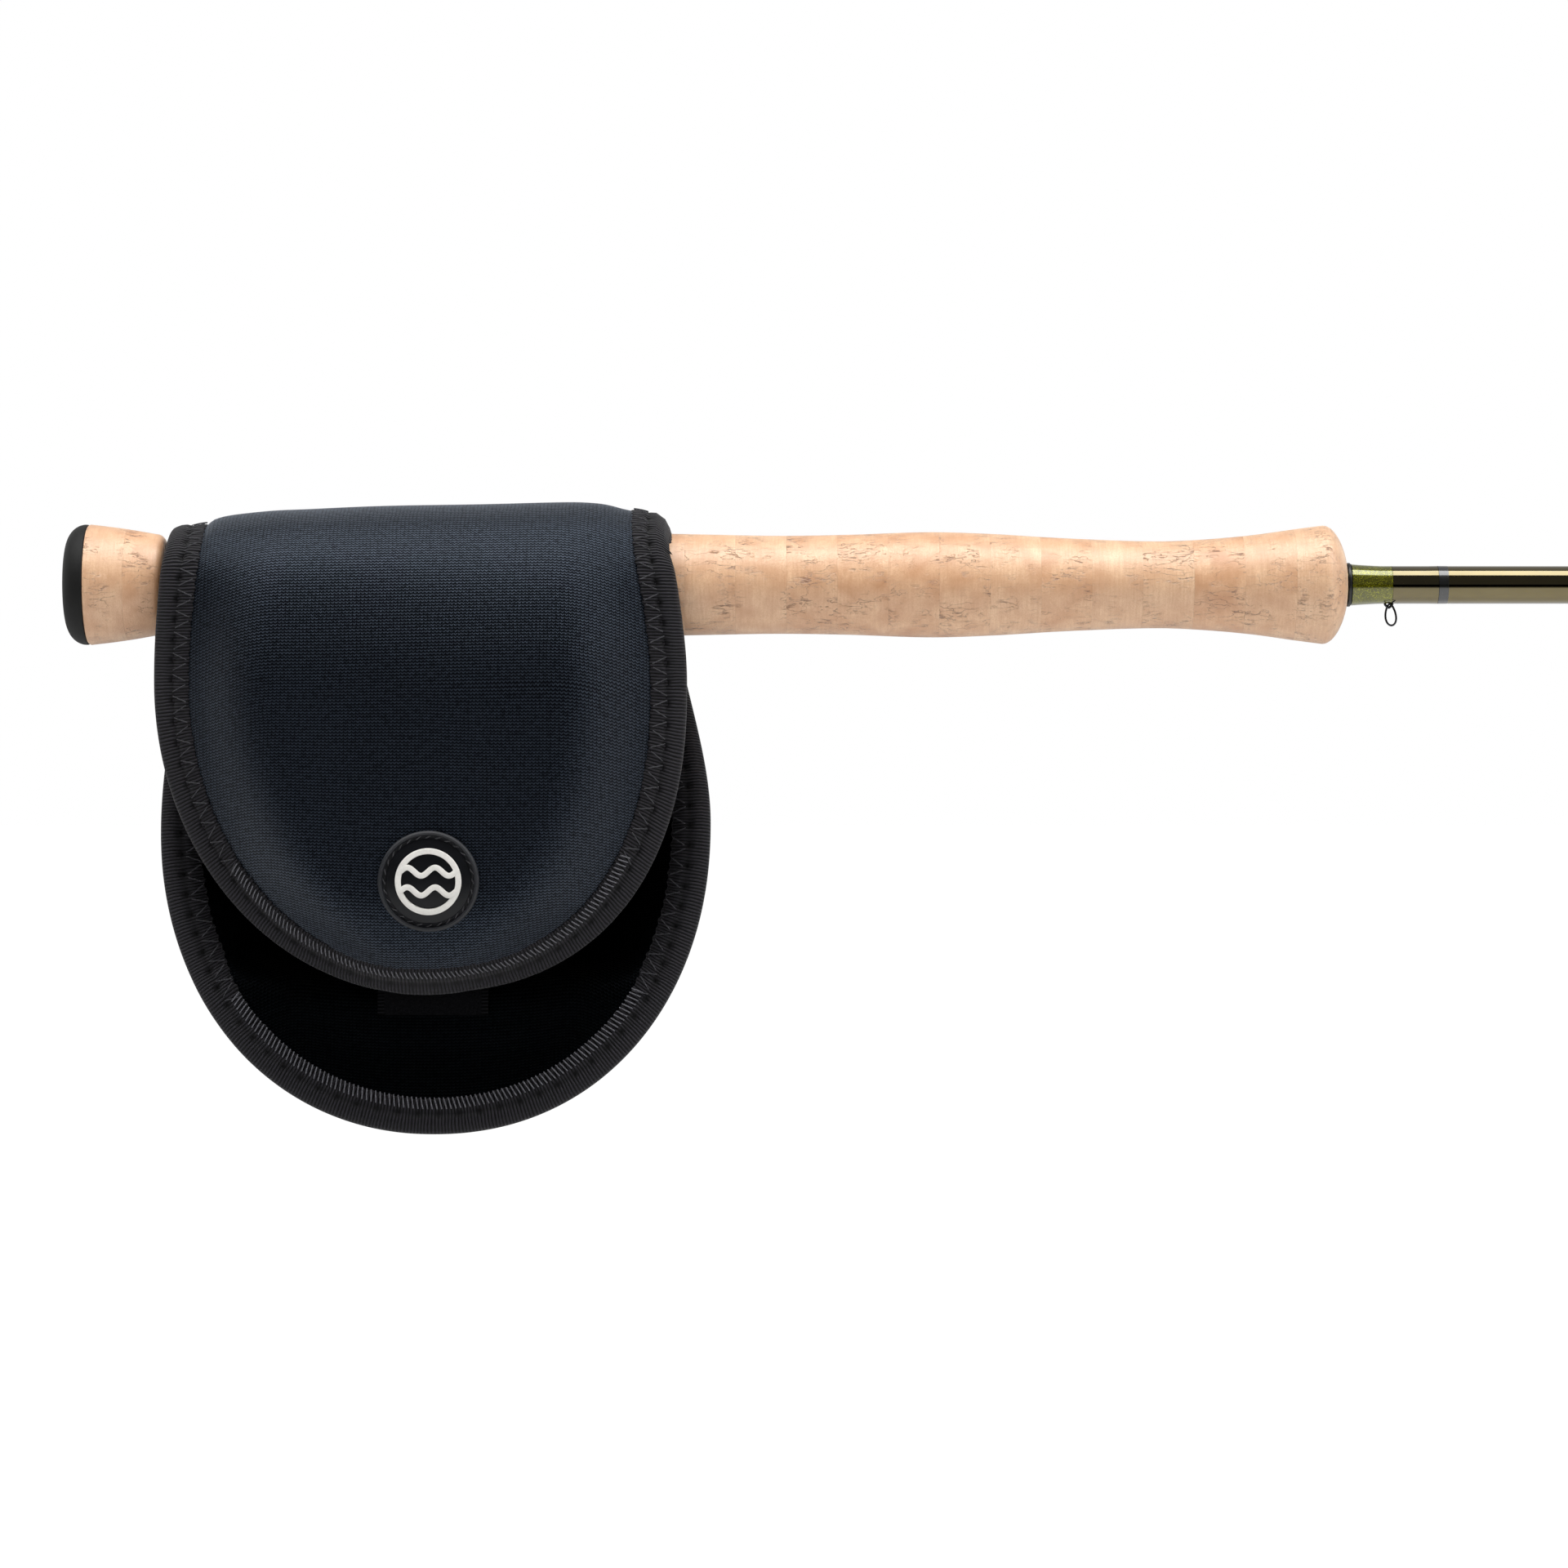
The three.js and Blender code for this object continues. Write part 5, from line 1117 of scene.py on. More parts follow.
    def hood(self, node: str, body: str, bore: float, open_at_butt: bool) -> None:
        """A hood: a ring with a swelling under it, hollow where it takes the reel's foot.

        Args:
            node: The CAD node that it stands for, which also gives its size.
            body: The body that it rides on.
            bore: Radius of its bore.
            open_at_butt: True where the foot's pocket opens towards the butt.
        """
        low, high = box_of(node)
        deep = -low[2]
        mouth, closed_end = (low[0], high[0]) if open_at_butt else (high[0], low[0])
        count, steps = 120, 28
        angles = all_round(count)
        down = np.maximum(0.0, -np.sin(angles))
        swell = step_between(down, 0.35, 0.75) * (1 - step_between(np.abs(np.cos(angles)), 0.80, 0.98))
        rings = []
        for t in np.linspace(0, 1, steps):
            rounding = min(1.0, (1 - t) * steps / 5, 0.25 + t * steps / 2)
            fall = ease(min(1.0, (1 - t) * 3.2))
            outer = self.hood_radius - 0.5 * (1 - rounding) + swell * (deep - self.hood_radius) * fall
            rings.append((mixed(mouth, closed_end, t), outer))
        pocket = np.maximum(self.seat_radius + 0.15 + swell * self.pocket_depth, bore) - bore
        if bore < self.seat_radius:
            pocket = pocket * (swell > 0.02)
        for t in np.linspace(1, 0, steps):
            open_share = 1 - step_between(t, self.hood_mouth, self.hood_mouth + 0.12)
            rings.append((mixed(mouth, closed_end, t), bore + pocket * open_share))
        made = ringed(rings, count).piece(f"{node}_shell", self.finishes.seat_metal, crease=40)
        fit(made, body, "gunmetal", node)

    def grip(self) -> None:
        """The shaped cork grip, which swells for the palm and flares in front."""
        start, end = ends_of("cork_grip")
        length = end - start
        knots = [(start + share * length, radius) for share, radius in self.grip_knots]
        side = smooth_path(knots, 110)
        nose, widest = side[-1]
        reach = end - nose
        face = []
        for angle in np.linspace(6, 88, 16):
            t = math.radians(angle)
            rounding = (widest - self.nose_radius) * math.cos(t) ** 1.45
            face.append((nose + reach * math.sin(t), self.nose_radius + rounding))
        profile = [(start, self.bore), *map(tuple, side), *face, (end, 5.2), (end, self.bore), (start, self.bore)]
        grip = turned(profile, segments=128).piece("shaped_grip", self.finishes.cork, crease=50)
        fit(grip, "rod_butt", "cork", "cork_grip")


# ---------------------------------------- Rod ----------------------------------------


@dataclass
class ButtTrim:
    """The blank in front of the grip, its check, wraps and band, and the hook keeper."""

    finishes: Finishes
    blank_radius: float = 4.72
    blank_tip: float = 3.96
    blank_bore: float = 3.2
    spigot: float = 36.0
    thick_length: float = 146.0
    keeper_wire: float = 0.32
    keeper_ring_wire: float = 0.26
    lap: float = 0.45
    ring_lift: float = 0.5
    ring_half_width: float = 1.35
    ring_sits: float = 0.7
    ring_turn: float = -24.0

    def build(self) -> None:
        """Makes the trim."""
        self.blank()
        self.wraps()
        self.keeper()

    def blank(self) -> None:
        """The butt section's blank, whose lacquer is a little thicker for a first length beyond the band."""
        start, end = ends_of("blank_butt")
        radius, tip = self.blank_radius, self.blank_tip
        band = ends_of("black_band")[1]
        thick_end = band + self.thick_length
        tapered = [(x, mixed(radius, tip, (x - start) / (end - self.spigot - start))) for x in (band, thick_end + 4)]
        outer = [(start, radius), tapered[0], (band, radius), (thick_end, radius - 0.02), tapered[1]]
        outer += [(end - self.spigot, tip), (end, tip)]
        inner = [(end, tip - 0.9), (start, self.blank_bore), (start, radius)]
        blank = turned([*outer, *inner], segments=64).piece("olive_butt_blank", self.finishes.blank, crease=30)
        fit(blank, "rod_butt", "blank", "blank_butt")

    def sleeve(
        self, node: str, name: str, profile: Sequence[tuple[float, float]], material: bpy.types.Material, slot: str
    ) -> None:
        """A turned sleeve on the blank that stands for a CAD node."""
        start, end = ends_of(node)
        inner = self.blank_radius
        loop = [(start, inner), *profile, (end, inner), (start, inner)]
        fit(turned(loop, segments=96).piece(name, material, crease=35), "rod_butt", slot, node)

    def wraps(self) -> None:
        """The winding check, the two thread wraps and the band that ends them."""
        x0, x1 = ends_of("winding_check")
        x1 -= self.lap
        self.sleeve("winding_check", "check_ring", softened([(x0, 5.0), (x0, 5.55), (x1, 5.45), (x1, 5.0)], 0.35)[1:-1],
                    self.finishes.black, "black")
        x0, x1 = ends_of("metallic_wrap")
        x0 -= self.lap
        length = x1 - x0
        shares = ((0.0, 5.2), (0.15, 5.06), (0.5, 4.84), (0.85, 4.68), (1.0, 4.66))
        flare = [(x0 + share * length, radius) for share, radius in shares]
        self.sleeve("metallic_wrap", "flake_thread_wrap", [tuple(p) for p in smooth_path(flare, 20)],
                    self.finishes.flake_wrap, "flake")
        x0, x1 = ends_of("plain_wrap")
        self.sleeve("plain_wrap", "olive_thread_wrap", [(x0, 4.64), (x1 - 3.4, 4.56), (x1 - 2.2, 4.72), (x1, 4.76)],
                    self.finishes.olive_wrap, "wrap")
        x0, x1 = ends_of("black_band")
        self.sleeve("black_band", "black_thread_band", [(x0, 4.76), (x1, 4.74)], self.finishes.black_wrap, "black")

    def keeper(self) -> None:
        """The hook keeper: a bent wire foot in the wrap, with a loose drop-shaped ring in its eye."""
        low, high = box_of("keeper_foot")
        x, bottom, top = middle_of("keeper_foot")[0], low[2], high[2]
        eye = top + self.keeper_wire
        dip = bottom + self.keeper_wire + self.ring_lift
        front = -0.2
        waist = mixed(eye, dip, 0.5)
        path = smooth_path([
            (low[0] + 0.2, 0, eye), (x - 1.1, front / 2, eye), (x - 0.8, front, waist), (x, front, dip),
            (x + 0.8, front, waist), (x + 1.1, front / 2, eye), (high[0] - 0.2, 0, eye),
        ], 60)
        foot = swept(path, round_section(self.keeper_wire)).piece("keeper_loop", self.finishes.wire)
        fit(foot, "rod_butt", "gunmetal", "keeper_foot")

        low, high = box_of("keeper_ring")
        x, _, centre = middle_of("keeper_ring")
        turn = math.radians(self.ring_turn)
        angles = all_round(96)
        narrow = self.ring_half_width * (1 - 0.22 * np.sin(angles))
        half_height = (high[2] - low[2]) / 2 - self.keeper_ring_wire
        across = narrow * np.cos(angles)
        points = np.stack([
            x + self.ring_sits * (0.7 - 0.3 * np.sin(angles)) + across * math.cos(turn),
            front + across * math.sin(turn),
            centre + self.ring_lift + half_height * np.sin(angles),
        ], axis=1)
        ring = swept(points, round_section(self.keeper_ring_wire), looped=True)
        ring = ring.piece("keeper_drop_ring", self.finishes.wire)
        fit(ring, "keeper_ring", "gunmetal", "keeper_ring")


@dataclass
class UpperRod:
    """The three upper sections of the rod, with their ferrule wraps, guides and tip-top."""

    finishes: Finishes
    ferrule: float = 36.0
    tips: tuple[float, float, float] = (2.95, 1.85, 0.9)
    bases: tuple[float, float, float] = (4.64, 3.63, 2.53)
    socket_wall: float = 0.6
    wrap_points: int = 40
    snake_wire: float = 0.5
    snake_foot: float = 8.5 * 0.45
    snake_drop: float = 4.4
    snake_lean: float = 1.9
    stripper_wire: float = 0.8
    stripper_radii: tuple[float, float] = (8.0, 6.0)
    stripper_lean: float = 38.0
    ceramic_wire: float = 1.0
    tip_bore: float = 1.08
    tip_radius: float = 1.58
    tip_length: float = 10.4
    tip_loop: float = 2.9

    def build(self) -> None:
        """Makes the sections and everything on them."""
        for number in (2, 3, 4):
            self.section(number)
        self.guides()
        self.tip_top()

    def section_at(self, x: float) -> int:
        """The number of the section that a place along the upper rod is on."""
        return next((number for number in (4, 3) if x >= ends_of(f"rod_section_{number}")[0]), 2)

    def radius_at(self, x: float) -> float:
        """The rod's outer radius at a place along it."""
        number = self.section_at(x)
        start, end = ends_of(f"rod_section_{number}")
        straight = 0.0 if number == 4 else self.ferrule
        t = (x - start) / (end - straight - start)
        return float(mixed(self.bases[number - 2], self.tips[number - 2], min(1.0, t)))

    def section(self, number: int) -> None:
        """One section: a tapered tube with a socket, and thread over its socket's end."""
        start, end = ends_of(f"rod_section_{number}")
        base, tip = self.bases[number - 2], self.tips[number - 2]
        straight = 0.0 if number == 4 else self.ferrule
        socket = base - self.socket_wall
        outer = [(start, base - 0.1), (start + 0.2, base), (end - straight, tip)]
        if straight:
            outer.append((end, tip))
        inner = [(end, tip * 0.55), (start + self.ferrule + 3, base - 2 * self.socket_wall)]
        inner += [(start + self.ferrule, socket), (start, socket)]
        body = f"section_{number}"
        tube = turned([*outer, *inner, (start, base - 0.1)], segments=48)
        tube = tube.piece(f"olive_section_{number}", self.finishes.blank, crease=30)
        fit(tube, body, "blank", f"rod_section_{number}")
        wrap = self.wrap(start + 1.0, start + 16.0, 0.0)
        fit(wrap.piece(f"ferrule_wrap_{number}", self.finishes.olive_wrap, crease=30), body, "wrap")
        band = self.wrap(start + 16.0, start + 17.6, 0.0, lift=0.3)
        fit(band.piece(f"ferrule_band_{number}", self.finishes.black_wrap, crease=30), body, "black")

    def wrap(self, start: float, end: float, foot: float, lift: float = 0.24) -> Shape:
        """Thread wound round the rod and over a guide's foot, under a coat of epoxy.

        Args:
            start: Its first X.
            end: Its last X.
            foot: How far the guide's foot stands off the rod under it.
            lift: The thickness of thread and epoxy.

        Returns:
            A closed shape.
        """
        below = np.clip(-np.sin(all_round(self.wrap_points)), 0, 1) ** 7
        rings = []
        ease_in = min(1.2, (end - start) / 4)
        for x in [start, *np.linspace(start + ease_in, end - ease_in, 8), end]:
            full = 0.15 if x in (start, end) else 1.0
            rings.append((x, self.radius_at(float(x)) + lift * full + below * foot))
        rings += [(x, self.radius_at(float(x)) - 0.2) for x in (end, start)]
        return ringed(rings, self.wrap_points)

    def guides(self) -> None:
        """Two stripping guides with ceramic rings and seven snake guides, with the thread over their feet."""
        for index, radius in enumerate(self.stripper_radii, 1):
            self.stripping_guide(index, radius)
        for index in range(1, 8):
            self.snake_guide(index)

    def under(self, x: float, gap: float) -> float:
        """The height of something that hangs a gap below the rod."""
        return -self.radius_at(x) - gap

    def stripping_guide(self, index: int, radius: float) -> None:
        """A ceramic ring in a wire hoop, on two legs towards the tip and one strut towards the butt."""
        low, high = box_of(f"stripping_guide_{index}_frame")
        x, _, centre = middle_of(f"stripping_guide_{index}_ring")
        wire = self.stripper_wire
        gap = wire + 0.08
        shape = hoop(x, centre, radius, wire)
        lean = math.radians(self.stripper_lean)
        for side in (-1, 1):
            leg = smooth_path([
                (x, side * radius * math.sin(lean), centre + radius * math.cos(lean)),
                (x + 5, side * 2.4, (centre + radius + self.under(x + 6, gap)) / 2),
                (x + 10, side * 0.9, self.under(x + 10, gap) - 0.4), (x + 21, side * 0.7, self.under(x + 21, gap)),
            ], 40)
            shape = shape.joined(swept(leg, round_section(wire)))
        strut = smooth_path([
            (x, 0, centre + radius), (x - 5, 0, self.under(x - 6, gap) - 1.8),
            (x - 9, 0, self.under(x - 9, gap) - 0.2), (x - 17, 0, self.under(x - 17, gap)),
        ], 34)
        shape = shape.joined(swept(strut, round_section(wire)))
        frame_piece = shape.piece(f"stripping_frame_{index}", self.finishes.gunmetal)
        fit(frame_piece, "section_2", "gunmetal", f"stripping_guide_{index}_frame")
        ring = hoop(x, centre, radius - self.ceramic_wire - gap, self.ceramic_wire)
        ring = ring.piece(f"ceramic_ring_{index}", self.finishes.ceramic)
        fit(ring, "section_2", "ceramic", f"stripping_guide_{index}_ring")
        wraps = self.wrap(low[0] - 2, x - 8.2, 1.5).joined(self.wrap(x + 10.5, high[0] + 2, 1.5))
        fit(wraps.piece(f"stripping_wraps_{index}", self.finishes.olive_wrap), "section_2", "wrap")

    def snake_guide(self, index: int) -> None:
        """A wire bent in a half turn under the rod, with a flat foot at each end."""
        low, high = box_of(f"snake_guide_{index}")
        x, half = middle_of(f"snake_guide_{index}")[0], (high[0] - low[0]) / 2
        wire, foot = self.snake_wire, self.snake_foot
        gap = wire + 0.15
        lowest = self.under(x, gap) - self.snake_drop
        between = (self.under(x, gap) + lowest) / 2
        path = smooth_path([
            (x - half, 0, self.under(x - half, gap)), (x - foot, 0, self.under(x - foot, gap)),
            (x - foot * 0.55, -self.snake_lean, between), (x, 0, lowest), (x + foot * 0.55, self.snake_lean, between),
            (x + foot, 0, self.under(x + foot, gap)), (x + half, 0, self.under(x + half, gap)),
        ], 80)
        body = f"section_{self.section_at(x)}"
        guide = swept(path, round_section(wire)).piece(f"snake_wire_{index}", self.finishes.steel)
        fit(guide, body, "steel", f"snake_guide_{index}")
        wraps = self.wrap(low[0] - 1, x - foot - 0.3, 0.95, 0.18)
        wraps = wraps.joined(self.wrap(x + foot + 0.3, high[0] + 1, 0.95, 0.18))
        fit(wraps.piece(f"snake_wraps_{index}", self.finishes.olive_wrap), body, "wrap")

    def tip_top(self) -> None:
        """The tip-top: a short tube with a wire loop under its end."""
        bore, outer = self.tip_bore, self.tip_radius
        start = ends_of("tip_top")[0]
        end = start + self.tip_length
        tube = turned([
            (start, bore), (start, outer - 0.15), (start + 0.15, outer), (end - 0.4, outer), (end, outer - 0.5),
            (end, 0.0), (end - 1.1, 0.0), (end - 1.1, bore), (start, bore),
        ], segments=32)
        loop = hoop(end - 0.4, -outer - self.tip_loop + 0.9, self.tip_loop, 0.6, 48, 12)
        fit(tube.joined(loop).piece("tip_top_loop", self.finishes.steel), "section_4", "steel", "tip_top")


# ---------------------------------------- Reel ----------------------------------------


@dataclass
class Reel:
    """The fly reel: its frame and foot, its ported spool with the handle, and the drag knob."""

    finishes: Finishes
    radius: float = 37.5
    half_width: float = 14.0
    cage_wall: float = 2.6
    back_plate: float = 3.0
    front_ring: float = 3.2
    arbor: float = 20.0
    flange: float = 1.5
    vents: int = 8
    vent_radius: float = 5.6
    vents_away: float = 26.0
    spindle_bore: float = 3.0
    boss_radius: float = 8.5
    pad_half_length: float = 14.0
    pad_half_width: float = 9.0
    pawl_post: float = 0.9
    pawl_away: float = 14.4
    pawl_angle: float = 40.0
    foot_hollow: float = 8.6
    hub_bore: float = 5.5
    hub_radius: float = 7.5
    arbor_wall: float = 1.6
    flange_hole: float = 2.6
    web_hole: float = 2.9
    web_holes_away: float = 14.0
    gear_radii: tuple[float, float] = (9.6, 8.6)
    gear_from_back: tuple[float, float] = (6.0, 4.0)
    teeth: int = 20
    weight_radius: float = 4.6
    knob_bore: float = 1.75
    pin_radius: float = 1.6
    drag_radius: float = 14.0
    drag_lobes: int = 12
    lobe_depth: float = 0.9
    pillars: tuple[tuple[float, float], ...] = ((90.0, 48.0), (205.0, 18.0), (270.0, 18.0), (335.0, 18.0))
    x: float = field(init=False)
    z: float = field(init=False)

    def __post_init__(self) -> None:
        """Finds the spindle from the reel's frame."""
        self.x, _, self.z = middle_of("spindle")

    def build(self) -> None:
        """Makes every visible piece of the reel."""
        self.frame()
        self.foot()
        self.spool()
        self.handle()
        self.drag_knob()

    def ring(self, profile: Sequence[tuple[float, float]], segments: int = 128) -> Shape:
        """A shape turned about the spindle."""
        return turned(profile, Axis.SPINDLE, (self.x, self.z), segments)

    def collar(self, near: float, far: float, bore: float, radius: float, segments: int = 128) -> Shape:
        """A plain ring about the spindle, between two Y and two radii."""
        return self.ring([(near, bore), (near, radius), (far, radius), (far, bore), (near, bore)], segments)

    def holes(self, radius: float, away: float, count: int, first: float, sides: int) -> list[np.ndarray]:
        """Round holes at even angles about the spindle."""
        return [circle_loop(x, z, radius, sides) for x, z in circle_loop(self.x, self.z, away, count, first)]

    def frame(self) -> None:
        """The cage: a ported back plate and a front ring, joined by pillars, with a pad for the foot."""
        inner, half = self.radius - self.cage_wall, self.half_width
        back_inner = half - self.back_plate
        front = self.ring(softened([
            (-half, inner), (-half + self.front_ring, inner), (-half + self.front_ring, self.radius),
            (-half, self.radius), (-half, inner)], 0.6, 4))
        outlines = [circle_loop(self.x, self.z, self.radius, 128), circle_loop(self.x, self.z, self.spindle_bore, 32)]
        outlines += self.holes(self.vent_radius, self.vents_away, self.vents, 22.5, 32)
        plate = pierced_plate(outlines, back_inner, half, 0.5)
        shape = front.joined(plate)
        for middle, spread in self.pillars:
            pillar = turned(
                softened([(-half + 1.2, inner), (back_inner + 0.5, inner), (back_inner + 0.5, self.radius - 0.15),
                          (-half + 1.2, self.radius - 0.15), (-half + 1.2, inner)], 0.3),
                Axis.SPINDLE, (self.x, self.z), 24, middle - spread / 2, spread)
            shape = shape.joined(pillar)
        top = ends_of("reel_foot", axis=2)[0] - 0.3
        base, reach, wide = top - 4.2, self.pad_half_length, self.pad_half_width
        pad = np.array([[self.x + side * reach, z] for side, z in ((-1, base), (1, base), (1, top), (-1, top))])
        shape = shape.joined(pierced_plate([pad], -wide, wide, 0.4))
        boss = self.collar(back_inner - 1.6, back_inner + 0.6, self.spindle_bore, self.boss_radius, 64)
        post_x, post_z = circle_loop(self.x, self.z, self.pawl_away, 1, self.pawl_angle)[0]
        near, far, thick = 3.2, back_inner + 0.5, self.pawl_post
        post_side = [(near, 0), (near, thick), (far, thick), (far, 0)]
        post = turned(post_side, Axis.SPINDLE, (post_x, post_z), 24)
        shape = shape.joined(boss, post)
        fit(shape.piece("reel_cage", self.finishes.gunmetal), "rod_butt", "gunmetal", "reel_frame")

    def foot(self) -> None:
        """The reel's foot: a curved blade that thins towards its toes, on a short pedestal."""
        low, high = box_of("reel_foot")
        columns, rows = 17, 61
        xs = np.linspace(low[0], high[0], rows)
        ys = np.linspace(-1, 1, columns)
        away = np.abs(xs - self.x)
        thick = mixed(2.5, 1.3, step_between(away, 14, (high[0] - low[0]) / 2))
        half = (high[1] - low[1]) / 2 * np.sqrt(np.clip(1 - np.clip((away - 30.5) / 5.6, 0, 1) ** 2, 0.02, 1))
        crown = 0.35 * (np.abs(ys) ** 4)
        skins = []
        for x, depth, wide in zip(xs, thick, half):
            y = ys * wide
            for radius, way in ((self.foot_hollow, 1), (self.foot_hollow + depth - crown, -1)):
                z = -np.sqrt(radius**2 - np.minimum(y**2, radius**2 - 1))
                skins.append(np.stack([np.full(columns, x), y, z], axis=1)[::way])
        points = np.concatenate(skins)
        blade = Shape(points, grid_faces(rows, 2 * columns, loop_columns=True, capped=True)).facing_out()
        corners = ((-14, 0), (14, 0), (13, 3.4), (-13, 3.4))
        outline = np.array([[self.x + across, low[2] + up] for across, up in corners])
        pedestal = pierced_plate([outline], -6.5, 6.5, 0.5)
        foot = blade.joined(pedestal).piece("reel_foot_blade", self.finishes.gunmetal)
        fit(foot, "rod_butt", "gunmetal", "reel_foot")

    def spool(self) -> None:
        """The spool: a ported front flange and web, a plain rear flange, a wide arbor, a hub and the click gear."""
        front, back = ends_of("spool", axis=1)
        rim = self.radius - self.cage_wall - 0.7
        x, z = self.x, self.z
        holes = self.holes(self.flange_hole, (self.arbor + rim) / 2, 10, 18.0, 28)
        holes += self.holes(self.web_hole, self.web_holes_away, 6, 30.0, 28)
        outer = circle_loop(x, z, rim, 128)
        face = [outer, *holes, circle_loop(x, z, self.hub_bore, 48)]
        face = pierced_plate(face, front, front + self.flange, 0.3)
        inner = self.arbor - self.arbor_wall
        rear = pierced_plate([outer, circle_loop(x, z, inner, 96)], back - self.flange, back, 0.3)
        drum = self.collar(front + 0.6, back - 0.6, inner, self.arbor)
        gear_front, gear_back = (back - away for away in self.gear_from_back)
        hub = self.collar(front + 0.4, gear_back, self.hub_bore, self.hub_radius, 64)
        tip, root = self.gear_radii
        teeth = np.stack([
            circle_loop(x, z, radius, self.teeth, first)
            for radius, first in ((tip, 0.0), (tip, 2.5), (root, 7.5), (root, 12.0))
        ], axis=1).reshape(-1, 2)
        gear = pierced_plate([teeth, circle_loop(x, z, 6.5, 32)], gear_front, gear_back, 0.1)
        near, far, base = front - 0.35, front + 0.4, rim - 1.4
        lip = self.ring(softened([(near, base), (near, rim), (far, rim), (far, base), (near, base)], 0.3))
        shape = face.joined(rear, drum, hub, gear, lip)
        fit(shape.piece("ported_spool", self.finishes.silver), "spool", "silver", "spool")
        near, far = ends_of("spool_cap", axis=1)
        nut = self.ring([
            (near, 0.0), (near, 6.0), (near + 0.25, 6.5), (near + 1.1, 7.4), (far, 7.5), (far, 3.0), (far - 2.9, 3.0),
            (far - 2.9, 0.0),
        ], 96)
        fit(nut.piece("spool_cap_nut", self.finishes.gunmetal), "spool", "gunmetal", "spool_cap")
        near, far = ends_of("counterweight", axis=1)
        weight_z, wide = middle_of("counterweight")[2], self.weight_radius
        weight_side = softened([(near, 0.0), (near, wide), (far, wide), (far, 0.0)], 0.7, 5)
        weight = turned(weight_side, Axis.SPINDLE, (x, weight_z), 64)
        fit(weight.piece("counterweight_button", self.finishes.silver), "spool", "silver", "counterweight")

    def handle(self) -> None:
        """The handle's post and the waisted knob that turns on it."""
        front, back = ends_of("handle_knob", axis=1)
        z = middle_of("handle_knob")[2]
        length = back - front
        bore = self.knob_bore
        side = smooth_path([
            (back, 4.3), (back - 1, 4.85), (back - 0.42 * length, 3.85), (front + 3.0, 4.85), (front + 1.2, 4.9),
            (front + 0.25, 4.1), (front, 3.3),
        ], 36)
        knob = turned([(back, bore), *map(tuple, side), (front, bore), (back, bore)], Axis.SPINDLE, (self.x, z), 64)
        fit(knob.piece("waisted_knob", self.finishes.black, crease=50), "handle_knob", "black", "handle_knob")
        near, far = ends_of("handle_post", axis=1)
        thin = self.pin_radius
        post = turned([
            (near, 0.0), (near, 2.2), (near + 0.3, 2.5), (near + 0.7, 2.5), (near + 0.7, thin), (far, thin), (far, 0.0),
        ], Axis.SPINDLE, (self.x, z), 48)
        fit(post.piece("handle_pin", self.finishes.steel), "spool", "steel", "handle_post")

    def drag_knob(self) -> None:
        """The lobed drag knob on the reel's back."""
        near, far = ends_of("drag_knob", axis=1)
        count, edge = 240, 4.4
        wave = np.clip(np.sin(self.drag_lobes * all_round(count)) * 1.6, -1, 1)
        lobes = self.lobe_depth * wave * 0.5 - self.lobe_depth / 2
        rings = [
            (mixed(near, far, t), self.drag_radius - shrink + lobes * (1 - min(1.0, shrink / edge)))
            for t, shrink in ((0.0, 0.4), (0.06, 0.0), (0.6, 0.0), (0.72, 0.3), (0.85, 1.6), (0.95, 3.2), (1.0, edge))
        ]
        rings += [(far, 4.2), (far - 1.6, 4.15), (far - 1.6, 2.15), (near + 4.6, 2.15), (near + 4.6, 7.0), (near, 7.0)]
        shape = ringed(rings, count, Axis.SPINDLE, (self.x, self.z))
        fit(shape.piece("lobed_drag_knob", self.finishes.gunmetal), "drag_knob", "gunmetal", "drag_knob")


# ---------------------------------------- Pouch ----------------------------------------


